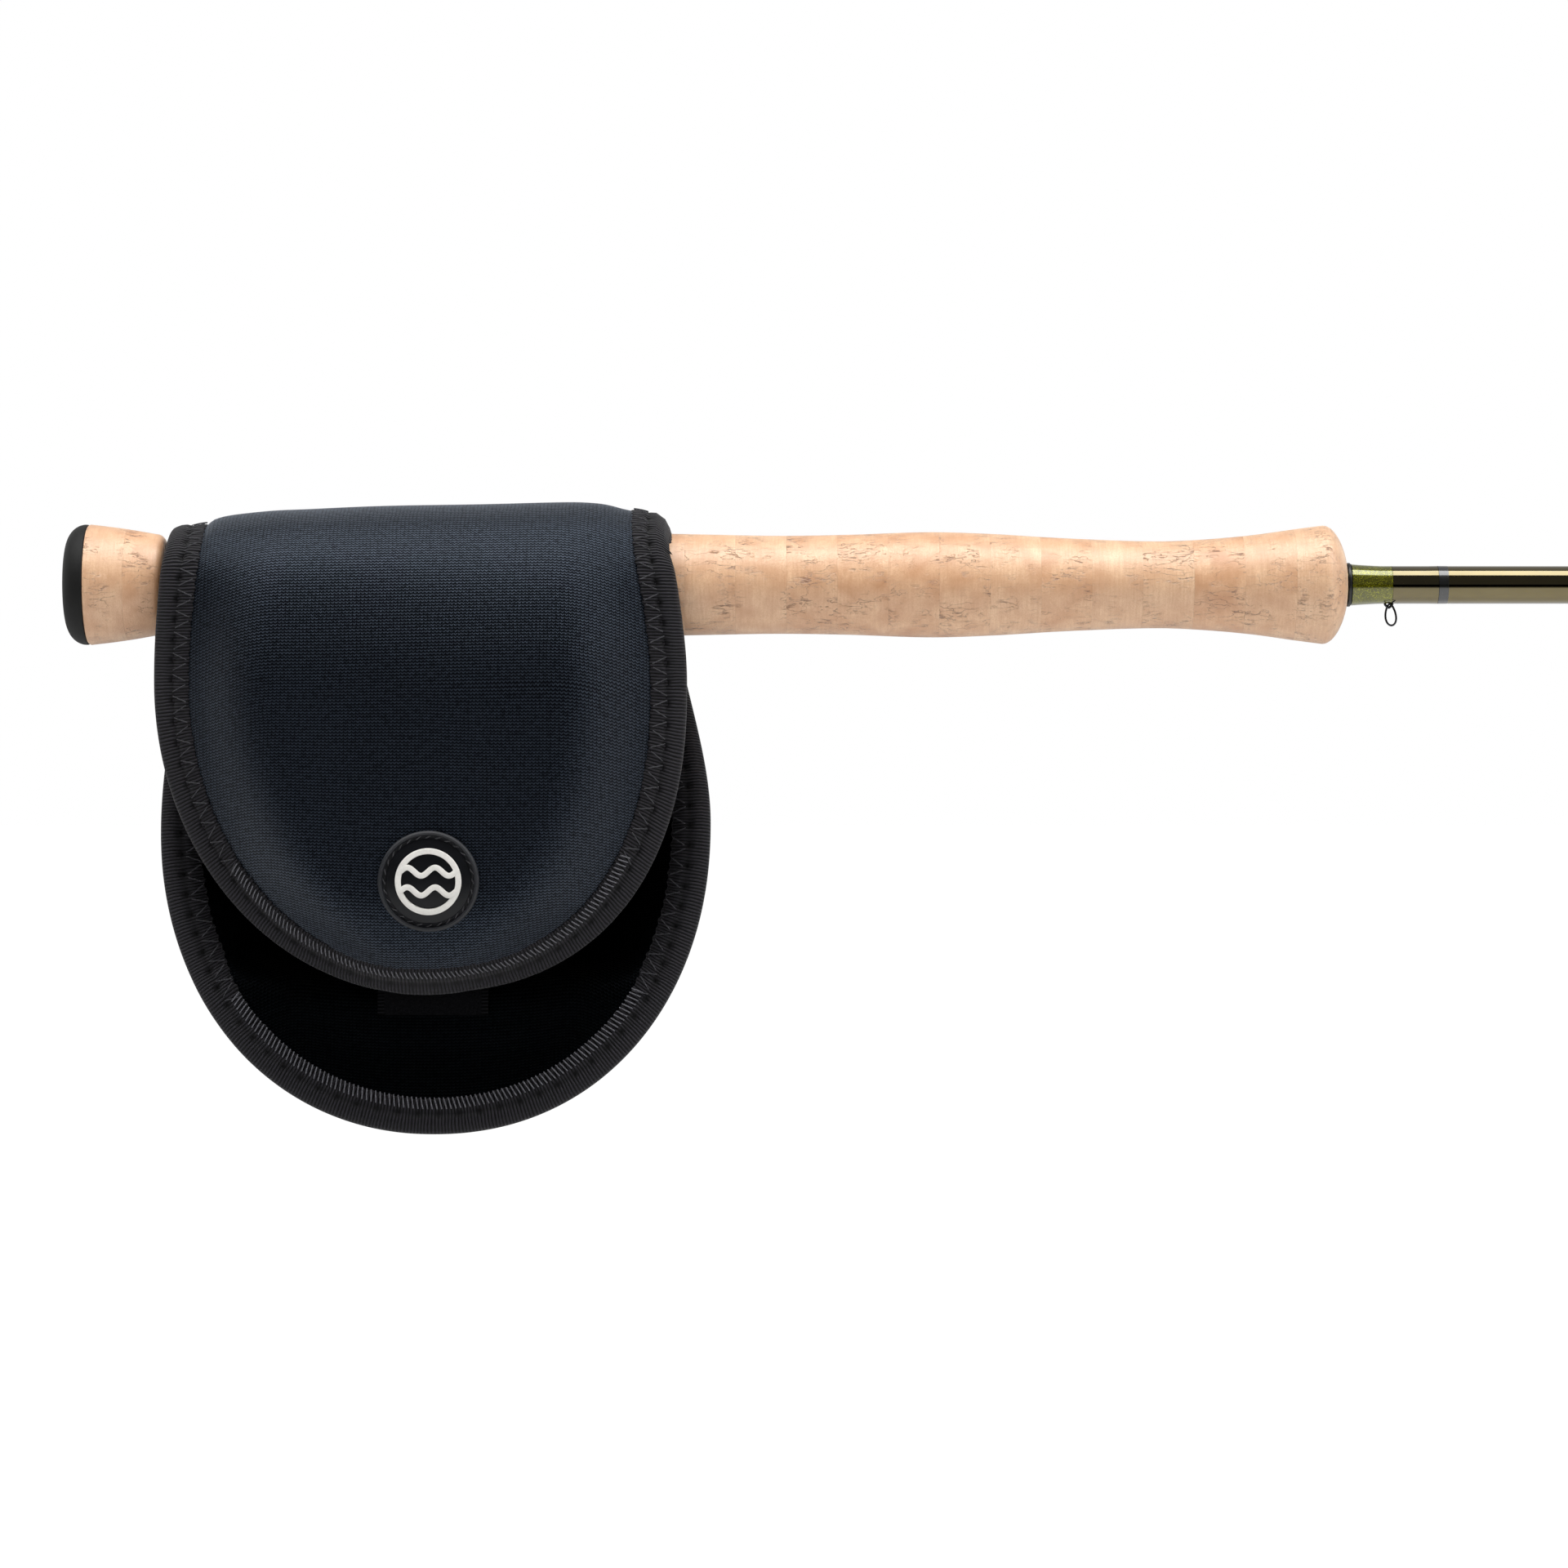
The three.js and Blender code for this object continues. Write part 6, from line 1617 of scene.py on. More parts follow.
@dataclass
class Panel:
    """One panel of the pouch, as a surface over the rod and round the reel.

    A place on it is an X and a share v down its profile, from the back of the fold to below its hem.
    Its depth goes from the edge's profile at its sides to the middle's profile further in.
    """

    front: bool
    centre: float
    shift: float
    half_width: float
    waist_half_width: float
    waist: float
    widest: float
    drop: float
    round_butt: float
    round_tip: float
    middle: list[tuple[float, float]]
    edge: list[tuple[float, float]]
    fold_knots: int
    hem_share: float = 1.0
    crest: float = 0.0
    crown_radius: float = 15.9
    crown: float = 2.4
    roll: float = 34.0
    soft_middle: float = 10.0
    ridge: tuple[tuple[float, float], ...] = (
        (-72.0, 12.2), (-63.0, 12.45), (-58.0, 12.75), (-54.5, 13.5), (-51.5, 15.1), (-47.0, 16.1), (-38.0, 17.0),
        (-26.0, 17.3), (0.0, 18.35), (30.0, 19.3), (43.0, 18.9), (50.0, 17.4), (55.5, 16.2), (58.0, 15.4), (59.6, 13.6),
        (60.7, 11.8), (61.8, 10.2), (72.0, 9.6),
    )

    def __post_init__(self) -> None:
        """Prepares the table from height to share, and the ridge line."""
        self.shares = np.linspace(0, 1, 1200)
        self.heights = spline_at(self.middle, self.shares)[:, 1]
        self.level = (self.fold_knots - 1) / (len(self.middle) - 1)
        self.widest_share = float(self.share_at(np.array(-self.widest)))
        self.ridge_line = smooth_path(self.ridge, 300)

    def side_round(self, side: np.ndarray) -> np.ndarray:
        """How square the lower corner on each side is."""
        return mixed(self.round_butt, self.round_tip, step_between(np.asarray(side, float), -25.0, 25.0))

    def centre_at(self, z: np.ndarray) -> np.ndarray:
        """The panel's middle at a height."""
        return self.centre + self.shift * (1 - step_between(z, -self.widest, self.waist))

    def half_at(self, z: np.ndarray, side: np.ndarray) -> np.ndarray:
        """Half the panel's width at a height."""
        upper = self.half_width - (self.half_width - self.waist_half_width) * step_between(z, -self.widest, self.waist)
        down = np.clip((-self.widest - z) / (self.drop - self.widest), 0, 1)
        power = self.side_round(side)
        return np.where(z > -self.widest, upper, self.half_width * (1 - down**power) ** (1 / power))

    def share_at(self, z: np.ndarray) -> np.ndarray:
        """The share down the profile at a height below the rod's axis."""
        below = self.shares >= self.level
        return np.interp(-np.asarray(z, float), -self.heights[below], self.shares[below])

    def surface(self, x: np.ndarray, v: np.ndarray) -> np.ndarray:
        """Points of the panel's middle surface.

        Args:
            x: Places along the rod.
            v: Shares down the profile, in an array of the same shape.

        Returns:
            The points, with one more dimension.
        """
        low, high = spline_at(self.edge, v), spline_at(self.middle, v)
        z = high[..., 1]
        away = x - self.centre_at(z)
        near = np.minimum(np.abs(away), self.soft_middle)
        inwards = self.half_at(z, away) - np.abs(away) - (self.soft_middle - near) ** 2 / (2 * self.soft_middle)
        t = ease(inwards / self.roll)
        y = mixed(low[..., 0], high[..., 0], t)
        height = mixed(low[..., 1], high[..., 1], t)
        top = np.interp(x - self.crest, self.ridge_line[:, 0], self.ridge_line[:, 1])
        crown = top / mixed(self.crown_radius, self.crown_radius + self.crown, t)
        height = np.where(height > 0, height * mixed(1.0, crown, step_between(height, 0, 12)), height)
        return np.stack([x, y, height], axis=-1)

    def normals(self, x: np.ndarray, v: np.ndarray) -> np.ndarray:
        """Directions out of the pouch at places on the panel."""
        across = self.surface(x + 0.05, v) - self.surface(x - 0.05, v)
        down = self.surface(x, np.minimum(1, v + 5e-4)) - self.surface(x, np.maximum(0, v - 5e-4))
        out = unit(np.cross(across, down))
        return -out if self.front else out

    def above(self, x: np.ndarray, z: np.ndarray, height: np.ndarray | float) -> tuple[np.ndarray, np.ndarray]:
        """Points that stand off the panel's middle surface.

        Args:
            x: Where each point is along the rod, seen from the front.
            z: Its height there.
            height: How far it stands out of the pouch.

        Returns:
            The points, and the directions out of the pouch under them.
        """
        height = np.broadcast_to(np.asarray(height, float), x.shape)[..., None]
        at_x, at_z = x.astype(float), z.astype(float)
        for _ in range(4):
            v = self.share_at(at_z)
            out = self.normals(at_x, v)
            points = self.surface(at_x, v) + out * height
            at_x, at_z = at_x + x - points[..., 0], at_z + z - points[..., 2]
        return points, out

    def outline(self, inset: np.ndarray | float, count: int) -> tuple[np.ndarray, np.ndarray]:
        """The panel's edge, drawn in by an inset.

        Args:
            inset: How far in, one number or one for each place in the last dimension.
            count: Places along it.

        Returns:
            The X and the share of each place, from the butt side's upper end round to the tip side's.
        """
        inset = np.atleast_1d(np.asarray(inset, float))
        upper = np.linspace(0, 1, 160)
        v_upper = mixed(0.0, self.widest_share, upper)
        z_upper = spline_at(self.middle, v_upper)[..., 1]
        cos = np.cos(np.linspace(0, math.pi / 2, 240)[1:])
        sides = []
        for side in (-1, 1):
            half = self.half_at(z_upper, np.full_like(z_upper, side))
            x = self.centre_at(z_upper)[:, None] + side * (half[:, None] - inset[None])
            v = np.broadcast_to(v_upper[:, None], x.shape)
            power = self.side_round(side * self.half_width * cos)
            down = (1 - cos**power) ** (1 / power)
            drawn = inset[None] * mixed(1.0, self.hem_share, down**2)[:, None]
            bowl_z = -self.widest - (self.drop - self.widest - drawn) * down[:, None]
            bowl_x = self.centre_at(bowl_z) + side * (self.half_width - drawn) * cos[:, None]
            x, v = np.concatenate([x, bowl_x]), np.concatenate([v, self.share_at(bowl_z)])
            sides.append((x, v) if side < 0 else (x[:-1][::-1], v[:-1][::-1]))
        x, v = (np.concatenate(halves) for halves in zip(*sides))
        guide = self.surface(x[:, 0], v[:, 0])
        length = run_along(guide)
        wanted = np.linspace(0, length[-1], count)
        x, v = (np.stack([np.interp(wanted, length, column) for column in table.T], axis=1) for table in (x, v))
        return x, v

    def edge_length(self) -> float:
        """The length of the panel's edge."""
        x, v = self.outline(0.0, 600)
        return float(np.linalg.norm(np.diff(self.surface(x[:, 0], v[:, 0]), axis=0), axis=1).sum())

    def sheet_grid(self, inset: float, columns: int, upper_rows: int, bowl_rows: int) -> tuple[np.ndarray, np.ndarray]:
        """A grid over the panel, whose last row and sides lie on its edge.

        Args:
            inset: How far inside the edge the grid stops.
            columns: Cells across it.
            upper_rows: Cells down to where the panel is widest.
            bowl_rows: Cells from there to its hem.

        Returns:
            The X and the share of each point.
        """
        even = np.linspace(-1, 1, columns + 1)
        u = np.sin(even * math.pi / 2) * 0.55 + even * 0.45
        v = np.linspace(0.0, self.widest_share, upper_rows + 1)[:-1]
        z = spline_at(self.middle, v)[..., 1]
        halves = [self.half_at(z, np.full_like(z, side))[:, None] for side in (-1, 1)]
        half = np.where(u[None] < 0, *halves)
        x_upper = self.centre_at(z)[:, None] + u[None] * (half - inset)
        v_upper = np.broadcast_to(v[:, None], x_upper.shape)
        s = np.linspace(0, 1, bowl_rows + 1)[:, None]
        cx, cy = u[None] * np.sqrt(1 - s**2 / 2), s * np.sqrt(1 - u[None] ** 2 / 2)
        reach = np.hypot(cx, cy)
        angle = np.arctan2(cy, np.abs(cx))
        share = np.cos(angle) ** 0.93
        power = self.side_round(np.sign(u[None]) * self.half_width * share)
        bx = np.sign(u[None]) * (self.half_width - inset) * reach * share
        bz = -self.widest - (self.drop - self.widest - inset) * reach * (1 - share**power) ** (1 / power)
        x_bowl = self.centre_at(bz) + bx
        return np.concatenate([x_upper, x_bowl]), np.concatenate([v_upper, self.share_at(bz)])


class ThreadRow(Nodes):
    """A Geometry Nodes tree that lays short threads across a path, one after another."""

    SIZES = {
        "Spacing": 0.0025, "Thread Length": 0.004, "Thread Radius": 0.0002, "Arch": 0.0005, "Slant": 0.5,
        "Alternate": 1.0,
    }
    DIRECTIONS = ("row_up", "row_across")
    STEPS = 5
    SIDES = 6

    def __init__(self) -> None:
        """Builds the tree, with named inputs for its sizes."""
        super().__init__(bpy.data.node_groups.new("thread_row", "GeometryNodeTree"))
        face = self.tree.interface
        face.new_socket("Path", in_out="INPUT", socket_type="NodeSocketGeometry")
        for name, default in self.SIZES.items():
            face.new_socket(name, in_out="INPUT", socket_type="NodeSocketFloat").default_value = default
        face.new_socket("Thread", in_out="INPUT", socket_type="NodeSocketMaterial")
        face.new_socket("Row", in_out="OUTPUT", socket_type="NodeSocketGeometry")
        self.sockets = {item.name: item.identifier for item in face.items_tree if item.in_out == "INPUT"}
        given = self.node("NodeGroupInput").outputs
        curve = self.node("GeometryNodeMeshToCurve", {0: given["Path"]})
        inputs = {"Curve": curve.outputs[0], "Length": given["Spacing"]}
        spaced = self.node("GeometryNodeResampleCurve", inputs, mode="LENGTH")
        inputs = {0: self.upright(), 1: self.slant(given)}
        rotate = self.node("FunctionNodeRotateRotation", inputs, rotation_space="LOCAL")
        inputs = {"Points": spaced.outputs[0], "Instance": self.thread(given), "Rotation": rotate.outputs[0]}
        instances = self.node("GeometryNodeInstanceOnPoints", inputs)
        real = self.node("GeometryNodeRealizeInstances", {0: instances.outputs[0]})
        finished = self.node("GeometryNodeSetMaterial", {"Geometry": real.outputs[0], "Material": given["Thread"]})
        self.node("NodeGroupOutput", {0: finished.outputs[0]})

    def thread(self, given: bpy.types.bpy_prop_collection) -> Socket:
        """One thread: a shallow arch along X, with a round section."""
        ends = {
            key: self.vector(self.maths("MULTIPLY", given["Thread Length"], share), 0.0, 0.0)
            for key, share in (("Start", -0.5), ("End", 0.5))
        }
        middle = self.vector(0.0, 0.0, given["Arch"])
        path = self.node("GeometryNodeCurveQuadraticBezier", {"Resolution": self.STEPS, "Middle": middle, **ends})
        section = {"Resolution": self.SIDES, "Radius": given["Thread Radius"]}
        circle = self.node("GeometryNodeCurvePrimitiveCircle", section)
        inputs = {"Curve": path.outputs[0], "Profile Curve": circle.outputs[0], "Fill Caps": True}
        return self.node("GeometryNodeCurveToMesh", inputs).outputs[0]

    def upright(self) -> Socket:
        """The turn that stands a thread on the cloth, across the row."""
        ways = {}
        for key, name in enumerate(self.DIRECTIONS):
            named = self.node("GeometryNodeInputNamedAttribute", {"Name": name}, data_type="FLOAT_VECTOR")
            ways[key] = named.outputs["Attribute"]
        return self.node("FunctionNodeAxesToRotation", ways, primary_axis="Z", secondary_axis="X").outputs[0]

    def slant(self, given: bpy.types.bpy_prop_collection) -> Socket:
        """The turn that slants a thread, the other way for each second one of an alternating row."""
        odd = self.maths("MODULO", self.node("GeometryNodeInputIndex").outputs[0], 2.0)
        way = self.maths("MULTIPLY_ADD", self.maths("MULTIPLY", odd, given["Alternate"]), -2.0, 1.0)
        angle = self.maths("MULTIPLY", way, given["Slant"])
        return self.node("FunctionNodeAxisAngleToRotation", {"Axis": (0, 0, 1), "Angle": angle}).outputs[0]

    def lay(
        self,
        name: str,
        rows: Sequence[tuple[np.ndarray, np.ndarray, np.ndarray]],
        material: bpy.types.Material,
        sizes: dict[str, float],
    ) -> bpy.types.Object:
        """Lays threads along one or more rows, as one mesh.

        Args:
            name: The piece's name.
            rows: For each row its points, the directions up out of the cloth, and those across the row.
            material: The thread.
            sizes: Values for the tree's inputs, in metres and radians.

        Returns:
            The piece, at the origin.
        """
        mesh = bpy.data.meshes.new(f"{name}_path")
        counts = [len(points) for points, _, _ in rows]
        starts = np.cumsum([0, *counts])
        edges = [(int(s) + k, int(s) + k + 1) for s, c in zip(starts, counts) for k in range(c - 1)]
        mesh.from_pydata((np.concatenate([row[0] for row in rows]) * MM).tolist(), edges, [])
        for number, key in enumerate(self.DIRECTIONS, 1):
            values = np.concatenate([row[number] for row in rows]).astype(np.float32)
            mesh.attributes.new(key, "FLOAT_VECTOR", "POINT").data.foreach_set("vector", values.ravel())
        carrier = put(f"{name}_path", mesh)
        modifier = carrier.modifiers.new("threads", "NODES")
        modifier.node_group = self.tree
        for key, value in sizes.items():
            modifier[self.sockets[key]] = value
        modifier[self.sockets["Thread"]] = material
        made = plain_mesh(carrier)
        bpy.data.meshes.remove(mesh)
        for attribute in [a.name for a in made.attributes if a.name in self.DIRECTIONS]:
            made.attributes.remove(made.attributes[attribute])
        made.polygons.foreach_set("use_smooth", [True] * len(made.polygons))
        made.name = name
        return put(name, made)


@dataclass
class Pouch:
    """The folded neoprene pouch: a back shell and a front flap, bound all round, with a moulded badge."""

    finishes: Finishes
    neoprene: float = 3.0
    tape: float = 0.7
    flap_binding: float = 9.7
    shell_binding: float = 8.9
    flap_sits: float = 0.95
    fold_radius: float = 15.9
    crown: float = 2.4
    flap_depth: float = 31.85
    shell_depth: float = 26.5
    flap_edge: float = 13.0
    shell_edge: float = 10.0
    edge_flare: float = 2.4
    reel_radius: float = 37.5
    handle_reach: float = 26.0
    badge_radius: float = 12.4
    motif_radius: float = 7.4
    badge_sits: tuple[float, float] = (2.2, 0.8)
    wave_level: float = 2.4
    wave_half: float = 3.4
    touch_tape: float = 1.35
    stitch_pitch: float = 5.2
    stitch_row: float = 4.1
    dimple_length: float = 0.85
    dimple_width: float = 0.7
    dimple_depth: float = 0.75
    scallop: float = 0.22
    waver: float = 0.14
    pressed: float = 0.45
    puff: float = 0.3
    hem_level: float = -90.0
    fold_start: float = 6.0
    fold_end: float = -10.0

    def __post_init__(self) -> None:
        """Places both panels round the reel."""
        centre = float(middle_of("pouch_flap")[0]) + self.flap_sits
        reel = float(middle_of("spindle")[2])
        self.flap = self.flap_panel(centre, reel)
        self.shell = self.shell_panel(centre, reel)
        self.rows = ThreadRow()

    def fold(self, radius: float, *turns: float) -> list[tuple[float, float]]:
        """Places round the fold behind the rod, at turns in degrees from its top."""
        return [(radius * math.sin(a), radius * math.cos(a)) for a in np.radians(turns).tolist()]

    def flap_panel(self, centre: float, reel: float) -> Panel:
        """The flap, over the fold and down the front of the reel, whose spindle is at a height."""
        bottom, deep, rim = reel - self.reel_radius, self.flap_depth, self.flap_edge
        radius, tall = self.fold_radius, self.fold_radius + self.crown
        middle = [
            *self.fold(tall, 60, 30), (-2.0, tall), (-13.5, 14.6), (-20.7, 8.0), (-25.6, 0.0), (-deep * 0.92, -11.0),
            (-deep, reel + self.handle_reach + 1), (-deep - 1, reel + 8), (-deep - 1, reel - 12),
            (-deep - 0.5, reel - self.handle_reach - 1), (-deep + 2, bottom + 2), (-rim - 13, bottom - 5),
            (-rim - 8.5, bottom - 10), (-rim, -108.7),
        ]
        edge = [*self.fold(radius, 60, 30), (-1.5, radius), (-10.6, 11.9), (-14.6, 6.3), (-15.9, 0.0)]
        edge += [(-rim - self.edge_flare / (1 + k), z) for k, (_, z) in enumerate(middle[6:])]
        return Panel(
            front=True, centre=centre - 1.0, shift=1.0, half_width=66.2, waist_half_width=62.2, waist=25.0,
            widest=25.0, drop=102.0, round_butt=2.0, round_tip=2.35, middle=middle, edge=edge, fold_knots=6,
            hem_share=0.8, crest=centre,
        )

    def shell_panel(self, centre: float, reel: float) -> Panel:
        """The back shell, round the back of the reel, whose spindle is at a height."""
        bottom, back = reel - self.reel_radius, self.shell_depth
        flap_side, between, shell_side = 1.4, 0.9, 1.5
        patch = -self.flap_edge + self.edge_flare + flap_side + between + shell_side
        lower = [
            (back * 0.86, -14.0), (back, -30.0), (back, reel), (back * 0.98, reel - 18.0), (18.5, bottom - 0.5),
            (9.1, bottom - 6), (patch + 5, bottom - 10), (patch + 0.5, bottom - 14), (patch, bottom - 22),
            (patch + 0.2, -117.8), (patch - 1, -128.8), (-self.shell_edge, -143.8),
        ]
        rim = [14.5, 8.0, 0.0, -3.5, -5.5, -6.0, -6.5, -7.2, -8.0, -9.0, -9.5, -self.shell_edge]
        edge = [(depth, z) for depth, (_, z) in zip(rim, lower)]
        tall = self.fold_radius + self.crown
        return Panel(
            front=False, centre=centre, shift=3.95 - self.flap_sits, half_width=68.9, waist_half_width=61.6, waist=2.0,
            widest=60.0, drop=137.3, round_butt=2.1, round_tip=2.13, middle=[*self.fold(tall, 60, 90), *lower],
            edge=[*self.fold(self.fold_radius, 60, 90), *edge], fold_knots=2, hem_share=0.97, crest=centre,
        )

    def build(self) -> None:
        """Makes both panels and everything sewn to them."""
        flap = self.sheet("flap_neoprene", self.flap, "pouch_flap")
        shell = self.sheet("shell_neoprene", self.shell, "pouch_shell")
        flap_tape = self.bind("flap_tape", self.flap, "flap_binding")
        shell_tape = self.bind("shell_tape", self.shell, "shell_binding")
        self.stitches()
        self.badge()
        self.touch_tapes()
        LOG.info("pouch: %s, %s, %s, %s", flap.name, shell.name, flap_tape.name, shell_tape.name)

    def hang(self, piece: bpy.types.Object, front: bool, slot: str, *nodes: str) -> bpy.types.Object:
        """Puts a piece on the flap, bending over the fold, or on the still shell."""
        if not front:
            return fit(piece, "rod_butt", slot, *nodes)
        start, end = ((self.flap.centre * MM, y * MM, 0.0) for y in (self.fold_start, self.fold_end))
        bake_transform(piece, "rod_butt", "flap", start, end)
        return dress(piece, nodes, "rod_butt and flap")

    def bound_width(self, panel: Panel) -> float:
        """How far a panel's binding reaches in from its edge."""
        return self.flap_binding if panel.front else self.shell_binding

    def sheet(self, name: str, panel: Panel, node: str) -> bpy.types.Object:
        """One panel of neoprene, knitted outside and plain inside.

        Args:
            name: The piece's name.
            panel: The panel's surface.
            node: The CAD node that it stands for.

        Returns:
            The piece.
        """
        columns, upper, bowl = 112, 84, 60
        x, v = panel.sheet_grid(self.tape + 0.4, columns, upper, bowl)
        middle, out = panel.surface(x, v), panel.normals(x, v)
        z = middle[..., 2]
        edge_x, edge_v = panel.outline(0.0, 700)
        edge = panel.surface(edge_x[:, 0], edge_v[:, 0])
        tree = KDTree(len(edge))
        for k, point in enumerate(edge):
            tree.insert(point, k)
        tree.balance()
        inwards = np.array([tree.find(point)[2] for point in middle.reshape(-1, 3)]).reshape(x.shape)
        bound = self.bound_width(panel) * np.where(z < self.hem_level, panel.hem_share, 1.0)
        puff = self.puff * np.sin(x / 13.0 + 1.3) * np.sin(z / 15.0 + 0.4) * step_between(inwards, 12, 30)
        half = self.neoprene / 2 - self.pressed * (1 - step_between(inwards, bound - 0.6, bound + 2.2))
        outer = middle + out * (half + puff)[..., None]
        inner = middle + out * (puff - half)[..., None]
        rows, wide = x.shape
        steps = np.linalg.norm(np.diff(middle, axis=0), axis=2)
        down = np.concatenate([np.zeros((1, wide)), np.cumsum(steps, axis=0)])
        mid_column = down[:, wide // 2][:, None]
        lay = np.stack([x, np.broadcast_to(mixed(down, mid_column, 0.5), x.shape)], axis=-1).reshape(-1, 2)
        front, back, rim = sheet_faces(rows, wide)
        finishes = [0] * len(front) + [1] * len(back) + [0] * len(rim)
        points = np.concatenate([outer.reshape(-1, 3), inner.reshape(-1, 3)])
        shape = Shape(points, [*front, *back, *rim], np.concatenate([lay, lay]), finishes).facing_out()
        piece = shape.piece(name, self.finishes.neoprene, self.finishes.lining, crease=60)
        cell = np.cross(middle[1:, 1:] - middle[:-1, :-1], middle[1:, :-1] - middle[:-1, 1:])
        area = float(np.linalg.norm(cell, axis=2).sum() / 2) * MM * MM
        return self.hang(piece, panel.front, "cloth", node)

    def bind(self, name: str, panel: Panel, node: str) -> bpy.types.Object:
        """The woven tape folded round a panel's edge, pulled in by its row of stitches."""
        wide = self.bound_width(panel)
        h = self.neoprene / 2 + self.tape
        near_cloth = (
            (0.0, -1.05), (0.06, -0.75), (0.5, -0.5), (1.5, -0.25), (2.7, -0.05), (3.5, -0.05), (4.1, -0.25),
            (4.7, -0.05), (5.6, 0.25), (6.9, 0.2),
        )
        upper = [(wide - inset, h + lift) for inset, lift in near_cloth]
        upper += [(1.5, h - 0.2), (0.8, h - 0.55), (0.25, h - 1.2), (0.0, 0.0)]
        lower = [(a, -b) for a, b in upper[-2::-1]]
        inner = [(wide - 0.2, 0.2 - h * 0.7), (1.2, -0.9), (0.8, 0.0), (1.2, 0.9), (wide - 0.2, h * 0.7 - 0.2)]
        section = np.array([*upper, *lower, *inner])
        skin = np.arange(len(section)) < len(upper) + len(lower)
        length = panel.edge_length()
        count = int(length / 0.6)
        x, v = panel.outline(section[:, 0], count)
        middle, out = panel.surface(x, v), panel.normals(x, v)
        along = np.linspace(0, length, count)
        place = np.abs(along / self.stitch_pitch - np.round(along / self.stitch_pitch)) * self.stitch_pitch
        pull = np.exp(-((place / self.dimple_length) ** 2)) * step_between(np.abs(along / length - 0.5), 0.15, 0.19)
        face = np.sign(section[:, 1]) * skin
        row = np.exp(-(((section[:, 0] - wide + self.stitch_row) / self.dimple_width) ** 2)) * face
        gather = step_between(section[:, 0], 3.0, 6.0) * face
        lift = section[None, :, 1] - self.dimple_depth * pull[:, None] * row[None]
        lift = lift + 0.1 * ripple(along, 0.9, 7)[:, None] * gather[None]
        points = middle + out * lift[..., None]
        inwards = unit(middle[:, 0] - middle[:, len(upper) - 1])
        scallop = self.scallop * np.cos(4 * math.pi * along / self.stitch_pitch)
        scallop += self.waver * ripple(along, 2.5, 11)
        reach = step_between(section[:, 0], wide - 2.0, wide)[None] * skin
        points += inwards[:, None] * (scallop[:, None] * reach)[..., None]
        faces = grid_faces(count, len(section), loop_columns=True, capped=True)
        across = run_along(section)
        fold = across[len(upper) + len(lower) - 1]
        from_fold = np.abs(np.minimum(across, fold - across))
        lay = np.stack(np.meshgrid(along, from_fold, indexing="ij"), axis=-1).reshape(-1, 2)
        piece = Shape(points.reshape(-1, 3), faces, lay).facing_out().piece(name, self.finishes.binding, crease=50)
        return self.hang(piece, panel.front, "binding", node)

    def stitch_line(
        self, panel: Panel, inset: float, span: tuple[float, float], outer: bool
    ) -> tuple[np.ndarray, np.ndarray, np.ndarray]:
        """The path of a row of stitches along a panel's edge.

        Args:
            panel: The panel.
            inset: How far in from the edge the row runs.
            span: The shares of the edge's length between which it runs.
            outer: True for the outside of the pouch.

        Returns:
            Its points, the directions out of the cloth, and the directions across the row.
        """
        count = 900
        x, v = panel.outline(np.array([inset, inset - 1.0, inset + 1.0]), count)
        pick = slice(int(span[0] * count), int(span[1] * count))
        side = 1 if outer else -1
        middle, out = panel.surface(x[:, 0], v[:, 0]), panel.normals(x[:, 0], v[:, 0]) * side
        across = unit(panel.surface(x[:, 2], v[:, 2]) - panel.surface(x[:, 1], v[:, 1]))
        height = self.neoprene / 2 + self.tape + 0.02
        return (middle + out * height)[pick], out[pick], across[pick]

    def stitches(self) -> None:
        """The sewing that holds the bindings: loose zigzags up the sides and a close row round the hem."""
        zigzag = {
            "Spacing": self.stitch_pitch / 2 * MM, "Thread Length": 0.0040, "Thread Radius": 0.00012, "Arch": 0.0002,
            "Slant": 0.42, "Alternate": 1.0,
        }
        close = {
            "Spacing": 0.00115, "Thread Length": 0.0030, "Thread Radius": 0.00016, "Arch": 0.0003,
            "Slant": 0.25, "Alternate": 0.0,
        }
        for name, panel in (("flap", self.flap), ("shell", self.shell)):
            near, front = self.bound_width(panel), panel.front
            sides = [self.stitch_line(panel, near - 2.2, span, front) for span in ((0.02, 0.33), (0.67, 0.98))]
            hem = [self.stitch_line(panel, near - 1.4, (0.33, 0.67), front)]
            self.hang(self.rows.lay(f"{name}_zigzag", sides, self.finishes.dark_thread, zigzag), front, "binding")
            self.hang(self.rows.lay(f"{name}_hem_stitches", hem, self.finishes.thread, close), front, "binding")

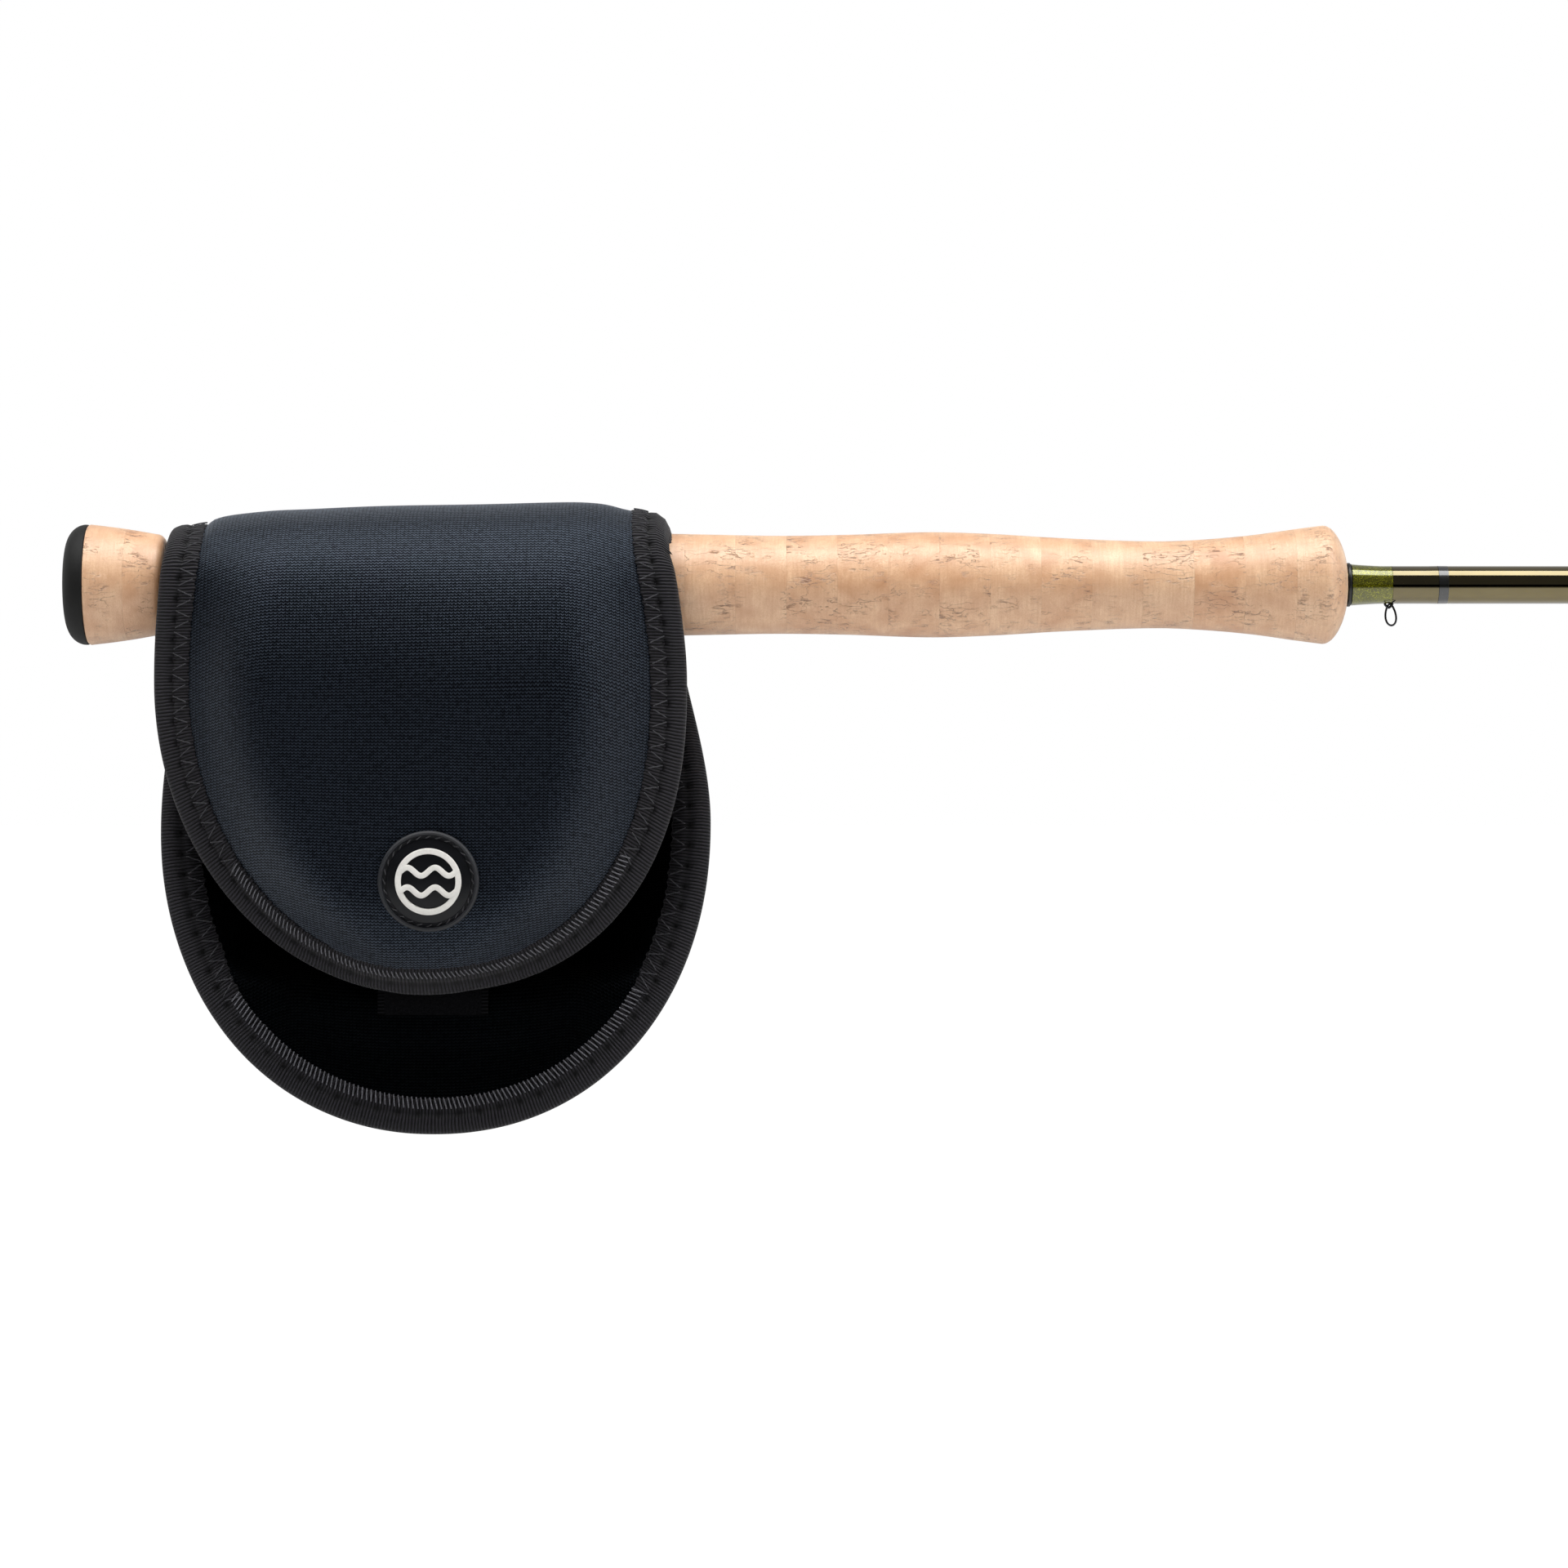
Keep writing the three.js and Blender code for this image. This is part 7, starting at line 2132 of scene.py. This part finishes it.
    def badge(self) -> None:
        """The round moulded badge: a rim, a sewn groove, and a ring with two waves standing off its face."""
        middle = middle_of("badge_base")
        bx, bz = float(middle[0]) + self.badge_sits[0], float(middle[2]) + self.badge_sits[1]
        half, r = self.neoprene / 2, self.badge_radius
        profile = [
            (0.0, 1.75), (4.0, 1.6), (8.0, 1.2), (r - 2.3, 0.9), (r - 1.95, 0.75), (r - 1.85, 0.3), (r - 1.25, 0.25),
            (r - 1.1, 1.2), (r - 0.95, 1.55), (r - 0.55, 1.68), (r - 0.2, 1.5), (r, 1.1), (r, -0.2), (r - 2, -0.3),
            (6.0, -0.3), (0.0, -0.3),
        ]
        count = 128
        angles = all_round(count)
        radii, heights = np.array(profile).T[:, :, None]
        x, z = bx + radii * np.cos(angles)[None], bz + radii * np.sin(angles)[None]
        points, _ = self.flap.above(x, z, half + np.broadcast_to(heights, x.shape))
        rim_rows = range(4, 12)
        finishes = [int(row in rim_rows) for row in range(len(profile) - 1) for _ in range(count)]
        faces = grid_faces(len(profile), count, loop_columns=True)
        shape = Shape(points.reshape(-1, 3), faces, None, finishes).facing_out()
        base = shape.piece("badge_disc", self.finishes.badge, self.finishes.badge_rim, crease=40)
        fit(base, "flap", "badge", "badge_base")

        angles, ring = all_round(120), self.motif_radius
        path, out = self.flap.above(bx + ring * np.cos(angles), bz + ring * np.sin(angles), half + 1.25)
        lines = swept(path, ribbon_section(1.45, 0.85), out, looped=True)
        for level in (-self.wave_level, self.wave_level):
            reach = math.sqrt((ring - 0.1) ** 2 - level**2)
            wave_x = np.linspace(-reach, reach, 70)
            wave = np.sin(math.pi * wave_x / self.wave_half)
            path, out = self.flap.above(bx + wave_x, bz + level + wave, half + 1.45)
            lines = lines.joined(swept(path, ribbon_section(1.4, 0.72), out))
        fit(lines.piece("badge_waves", self.finishes.motif, crease=40), "flap", "motif", "badge_motif")

        angles, groove = np.linspace(0, 2 * math.pi, 241), r - 1.55
        path, out = self.flap.above(bx + groove * np.cos(angles), bz + groove * np.sin(angles), half + 0.4)
        along = unit(np.gradient(path, axis=0))
        sewing = self.rows.lay("badge_stitches", [(path, out, along)], self.finishes.badge_thread, {
            "Spacing": 0.0024, "Thread Length": 0.0015, "Thread Radius": 0.00015, "Arch": 0.0004, "Slant": 0.5,
            "Alternate": 0.0,
        })
        fit(sewing, "flap", "badge")

    def patch(self, panel: Panel, x0: float, x1: float, z0: float, z1: float, near: float, far: float) -> Shape:
        """A patch that follows a panel, between two X, two heights, and two distances out of the cloth."""
        x, z = np.meshgrid(np.linspace(x0, x1, 40), np.linspace(z1, z0, 24))
        lay = np.stack([x, z], axis=-1).reshape(-1, 2)
        front, back, rim = sheet_faces(*x.shape)
        points = np.concatenate([panel.above(x, z, height)[0].reshape(-1, 3) for height in (far, near)])
        return Shape(points, [*front, *back, *rim], np.concatenate([lay, lay])).facing_out()

    def touch_tapes(self) -> None:
        """The hook tape inside the flap's hem and the loop tape on the shell."""
        near = -self.neoprene / 2 - 0.05
        for side, panel, body in (("hook", self.flap, "flap"), ("loop", self.shell, "rod_butt")):
            low, high = box_of(f"{side}_tape")
            tape = self.patch(panel, low[0], high[0], low[2], high[2], near, near - self.touch_tape)
            fit(tape.piece(f"{side}_patch", self.finishes.tape, crease=50), body, "patch", f"{side}_tape")


# ---------------------------------------- Studio ----------------------------------------


@dataclass
class Studio:
    """The camera, the lamps, the pale floor and the white surroundings."""

    camera_at: tuple[float, float, float] = (-0.052, -1.312, -0.050)
    lens: float = 120.0
    floor_height: float = -0.30
    floor_reach: float = 30.0
    floor_glow: float = 0.85
    card: tuple[float, float] = (-1150.0, -600.0)
    key_strength: float = 4.3
    fill_strength: float = 1.7
    ambient: float = 0.28
    mirrored_ambient: float = 0.1

    def build(self) -> None:
        """Makes everything round the object."""
        self.camera()
        self.floor()
        self.surroundings()
        self.lamp("overhead_box", (1.1, -0.24, 0.85), (0.0, 0.0, 0.0), 4.6, 0.56, self.key_strength)
        for name, side in (("left_fill", -1), ("right_fill", 1)):
            place, turn = (side * 1.9, -1.5, 0.35), (62.0, 0.0, side * 51.0)
            self.lamp(name, place, turn, 1.4, 1.4, self.fill_strength, mirrored=False)

    def camera(self) -> None:
        """The camera, level and square to the rod."""
        data = bpy.data.cameras.new("camera")
        data.lens, data.sensor_width = self.lens, 36.0
        data.clip_start, data.clip_end = 0.05, 60.0
        camera = put("camera", data)
        camera.location = self.camera_at
        camera.rotation_euler = (math.pi / 2, 0.0, 0.0)
        bpy.context.scene.camera = camera

    def lamp(
        self,
        name: str,
        place: Sequence[float],
        turn: Sequence[float],
        width: float,
        depth: float,
        brightness: float,
        mirrored: bool = True,
    ) -> None:
        """A flat rectangular lamp, whose surface has a given brightness, and which reflections show or not."""
        data = bpy.data.lights.new(name, "AREA")
        data.shape, data.size, data.size_y = "RECTANGLE", width, depth
        data.energy = brightness * math.pi * width * depth
        lamp = put(name, data)
        lamp.location = place
        lamp.rotation_euler = [math.radians(a) for a in turn]
        lamp.visible_glossy = mirrored

    def floor(self) -> None:
        """A wide pale floor, which shows white to the camera and keeps the object's shadow.

        Its front part is dark in reflections, as under a black card.
        """
        mesh = bpy.data.meshes.new("floor")
        corners = ((-1, -1), (1, -1), (1, 1), (-1, 1))
        reach, level = self.floor_reach, self.floor_height
        mesh.from_pydata([(reach * x, reach * y, level) for x, y in corners], [], [(0, 1, 2, 3)])
        floor = put("floor", mesh)
        r = Recipe("pale_floor")
        cloud = r.noise(r.place((0.001, 0.001, 0.001)), 2.0, 2.0)
        shade = r.blend(r.span(cloud, 0.3, 0.7), "#e6e6e6", "#e9e9e9")
        path = r.node("ShaderNodeLightPath").outputs
        ahead = r.span(r.axes(r.place())[1], *self.card, 1.0, 0.0)
        card = r.maths("MULTIPLY", path["Is Glossy Ray"], ahead)
        dull = r.blend(path["Is Diffuse Ray"], shade, "#dedede")
        r.finished(r.blend(card, dull, "#0a0a0a"), 0.9, Specular_IOR_Level=0.0)
        share = r.maths("MULTIPLY", path["Is Camera Ray"], self.floor_glow)
        glow = r.node("ShaderNodeEmission", {"Color": (1, 1, 1, 1), "Strength": share})
        lit = r.node("ShaderNodeAddShader", {0: r.shader.outputs[0], 1: glow.outputs[0]})
        r.feed(r.tree.nodes["Material Output"].inputs["Surface"], lit.outputs[0])
        mesh.materials.append(r.material)

    def surroundings(self) -> None:
        """White behind the object, and a dimmer room on the camera's side.

        Reflections see the white only behind the object, and dimmer high up.
        """
        world = bpy.data.worlds.new("studio")
        bpy.context.scene.world = world
        world.use_nodes = True
        world.node_tree.nodes.clear()
        sky = Nodes(world.node_tree)
        path = sky.node("ShaderNodeLightPath").outputs
        _, ahead, up = sky.axes(sky.node("ShaderNodeTexCoord").outputs["Generated"])
        behind = sky.maths("MULTIPLY", sky.span(ahead, -0.15, 0.25), sky.span(up, 0.2, 0.6, 1.0, 0.35))
        mirrored = sky.maths("MULTIPLY", path["Is Glossy Ray"], behind)
        seen = sky.maths("MAXIMUM", path["Is Camera Ray"], path["Is Transmission Ray"])
        level = sky.span(path["Is Glossy Ray"], 0.0, 1.0, self.ambient, self.mirrored_ambient)
        room = sky.node("ShaderNodeBackground", {"Strength": level})
        white = sky.node("ShaderNodeBackground", {"Color": (1, 1, 1, 1), "Strength": 1.0})
        shaders = {0: sky.maths("MAXIMUM", seen, mirrored), 1: room.outputs[0], 2: white.outputs[0]}
        sky.node("ShaderNodeOutputWorld", {0: sky.node("ShaderNodeMixShader", shaders).outputs[0]})


def dress_frame(finishes: Finishes) -> None:
    """Gives each CAD node that still shows its finish: steel, but for a few parts inside the reel."""
    slots = {"front_bearing": "silver", "rear_bearing": "silver", "drag_disc": "carbon", "seal_ring": "black"}
    for name, node in frame["nodes"].items():
        if node.hide_render:
            continue
        material = finishes.of_slot(slots.get(name, "steel"))
        for slot in node.material_slots:
            slot.material = material
        LOG.info("%s keeps its CAD shape, in %s", name, material.name)


def main() -> None:
    """Builds the studio and every sub-assembly."""
    logging.basicConfig(level=logging.INFO, format="%(name)s: %(message)s")
    scene = bpy.context.scene
    scene.view_settings.view_transform = "Standard"
    Studio().build()
    finishes = Finishes()
    Handle(finishes).build()
    ButtTrim(finishes).build()
    UpperRod(finishes).build()
    Reel(finishes).build()
    Pouch(finishes).build()
    dress_frame(finishes)


if __name__ == "__main__":
    main()
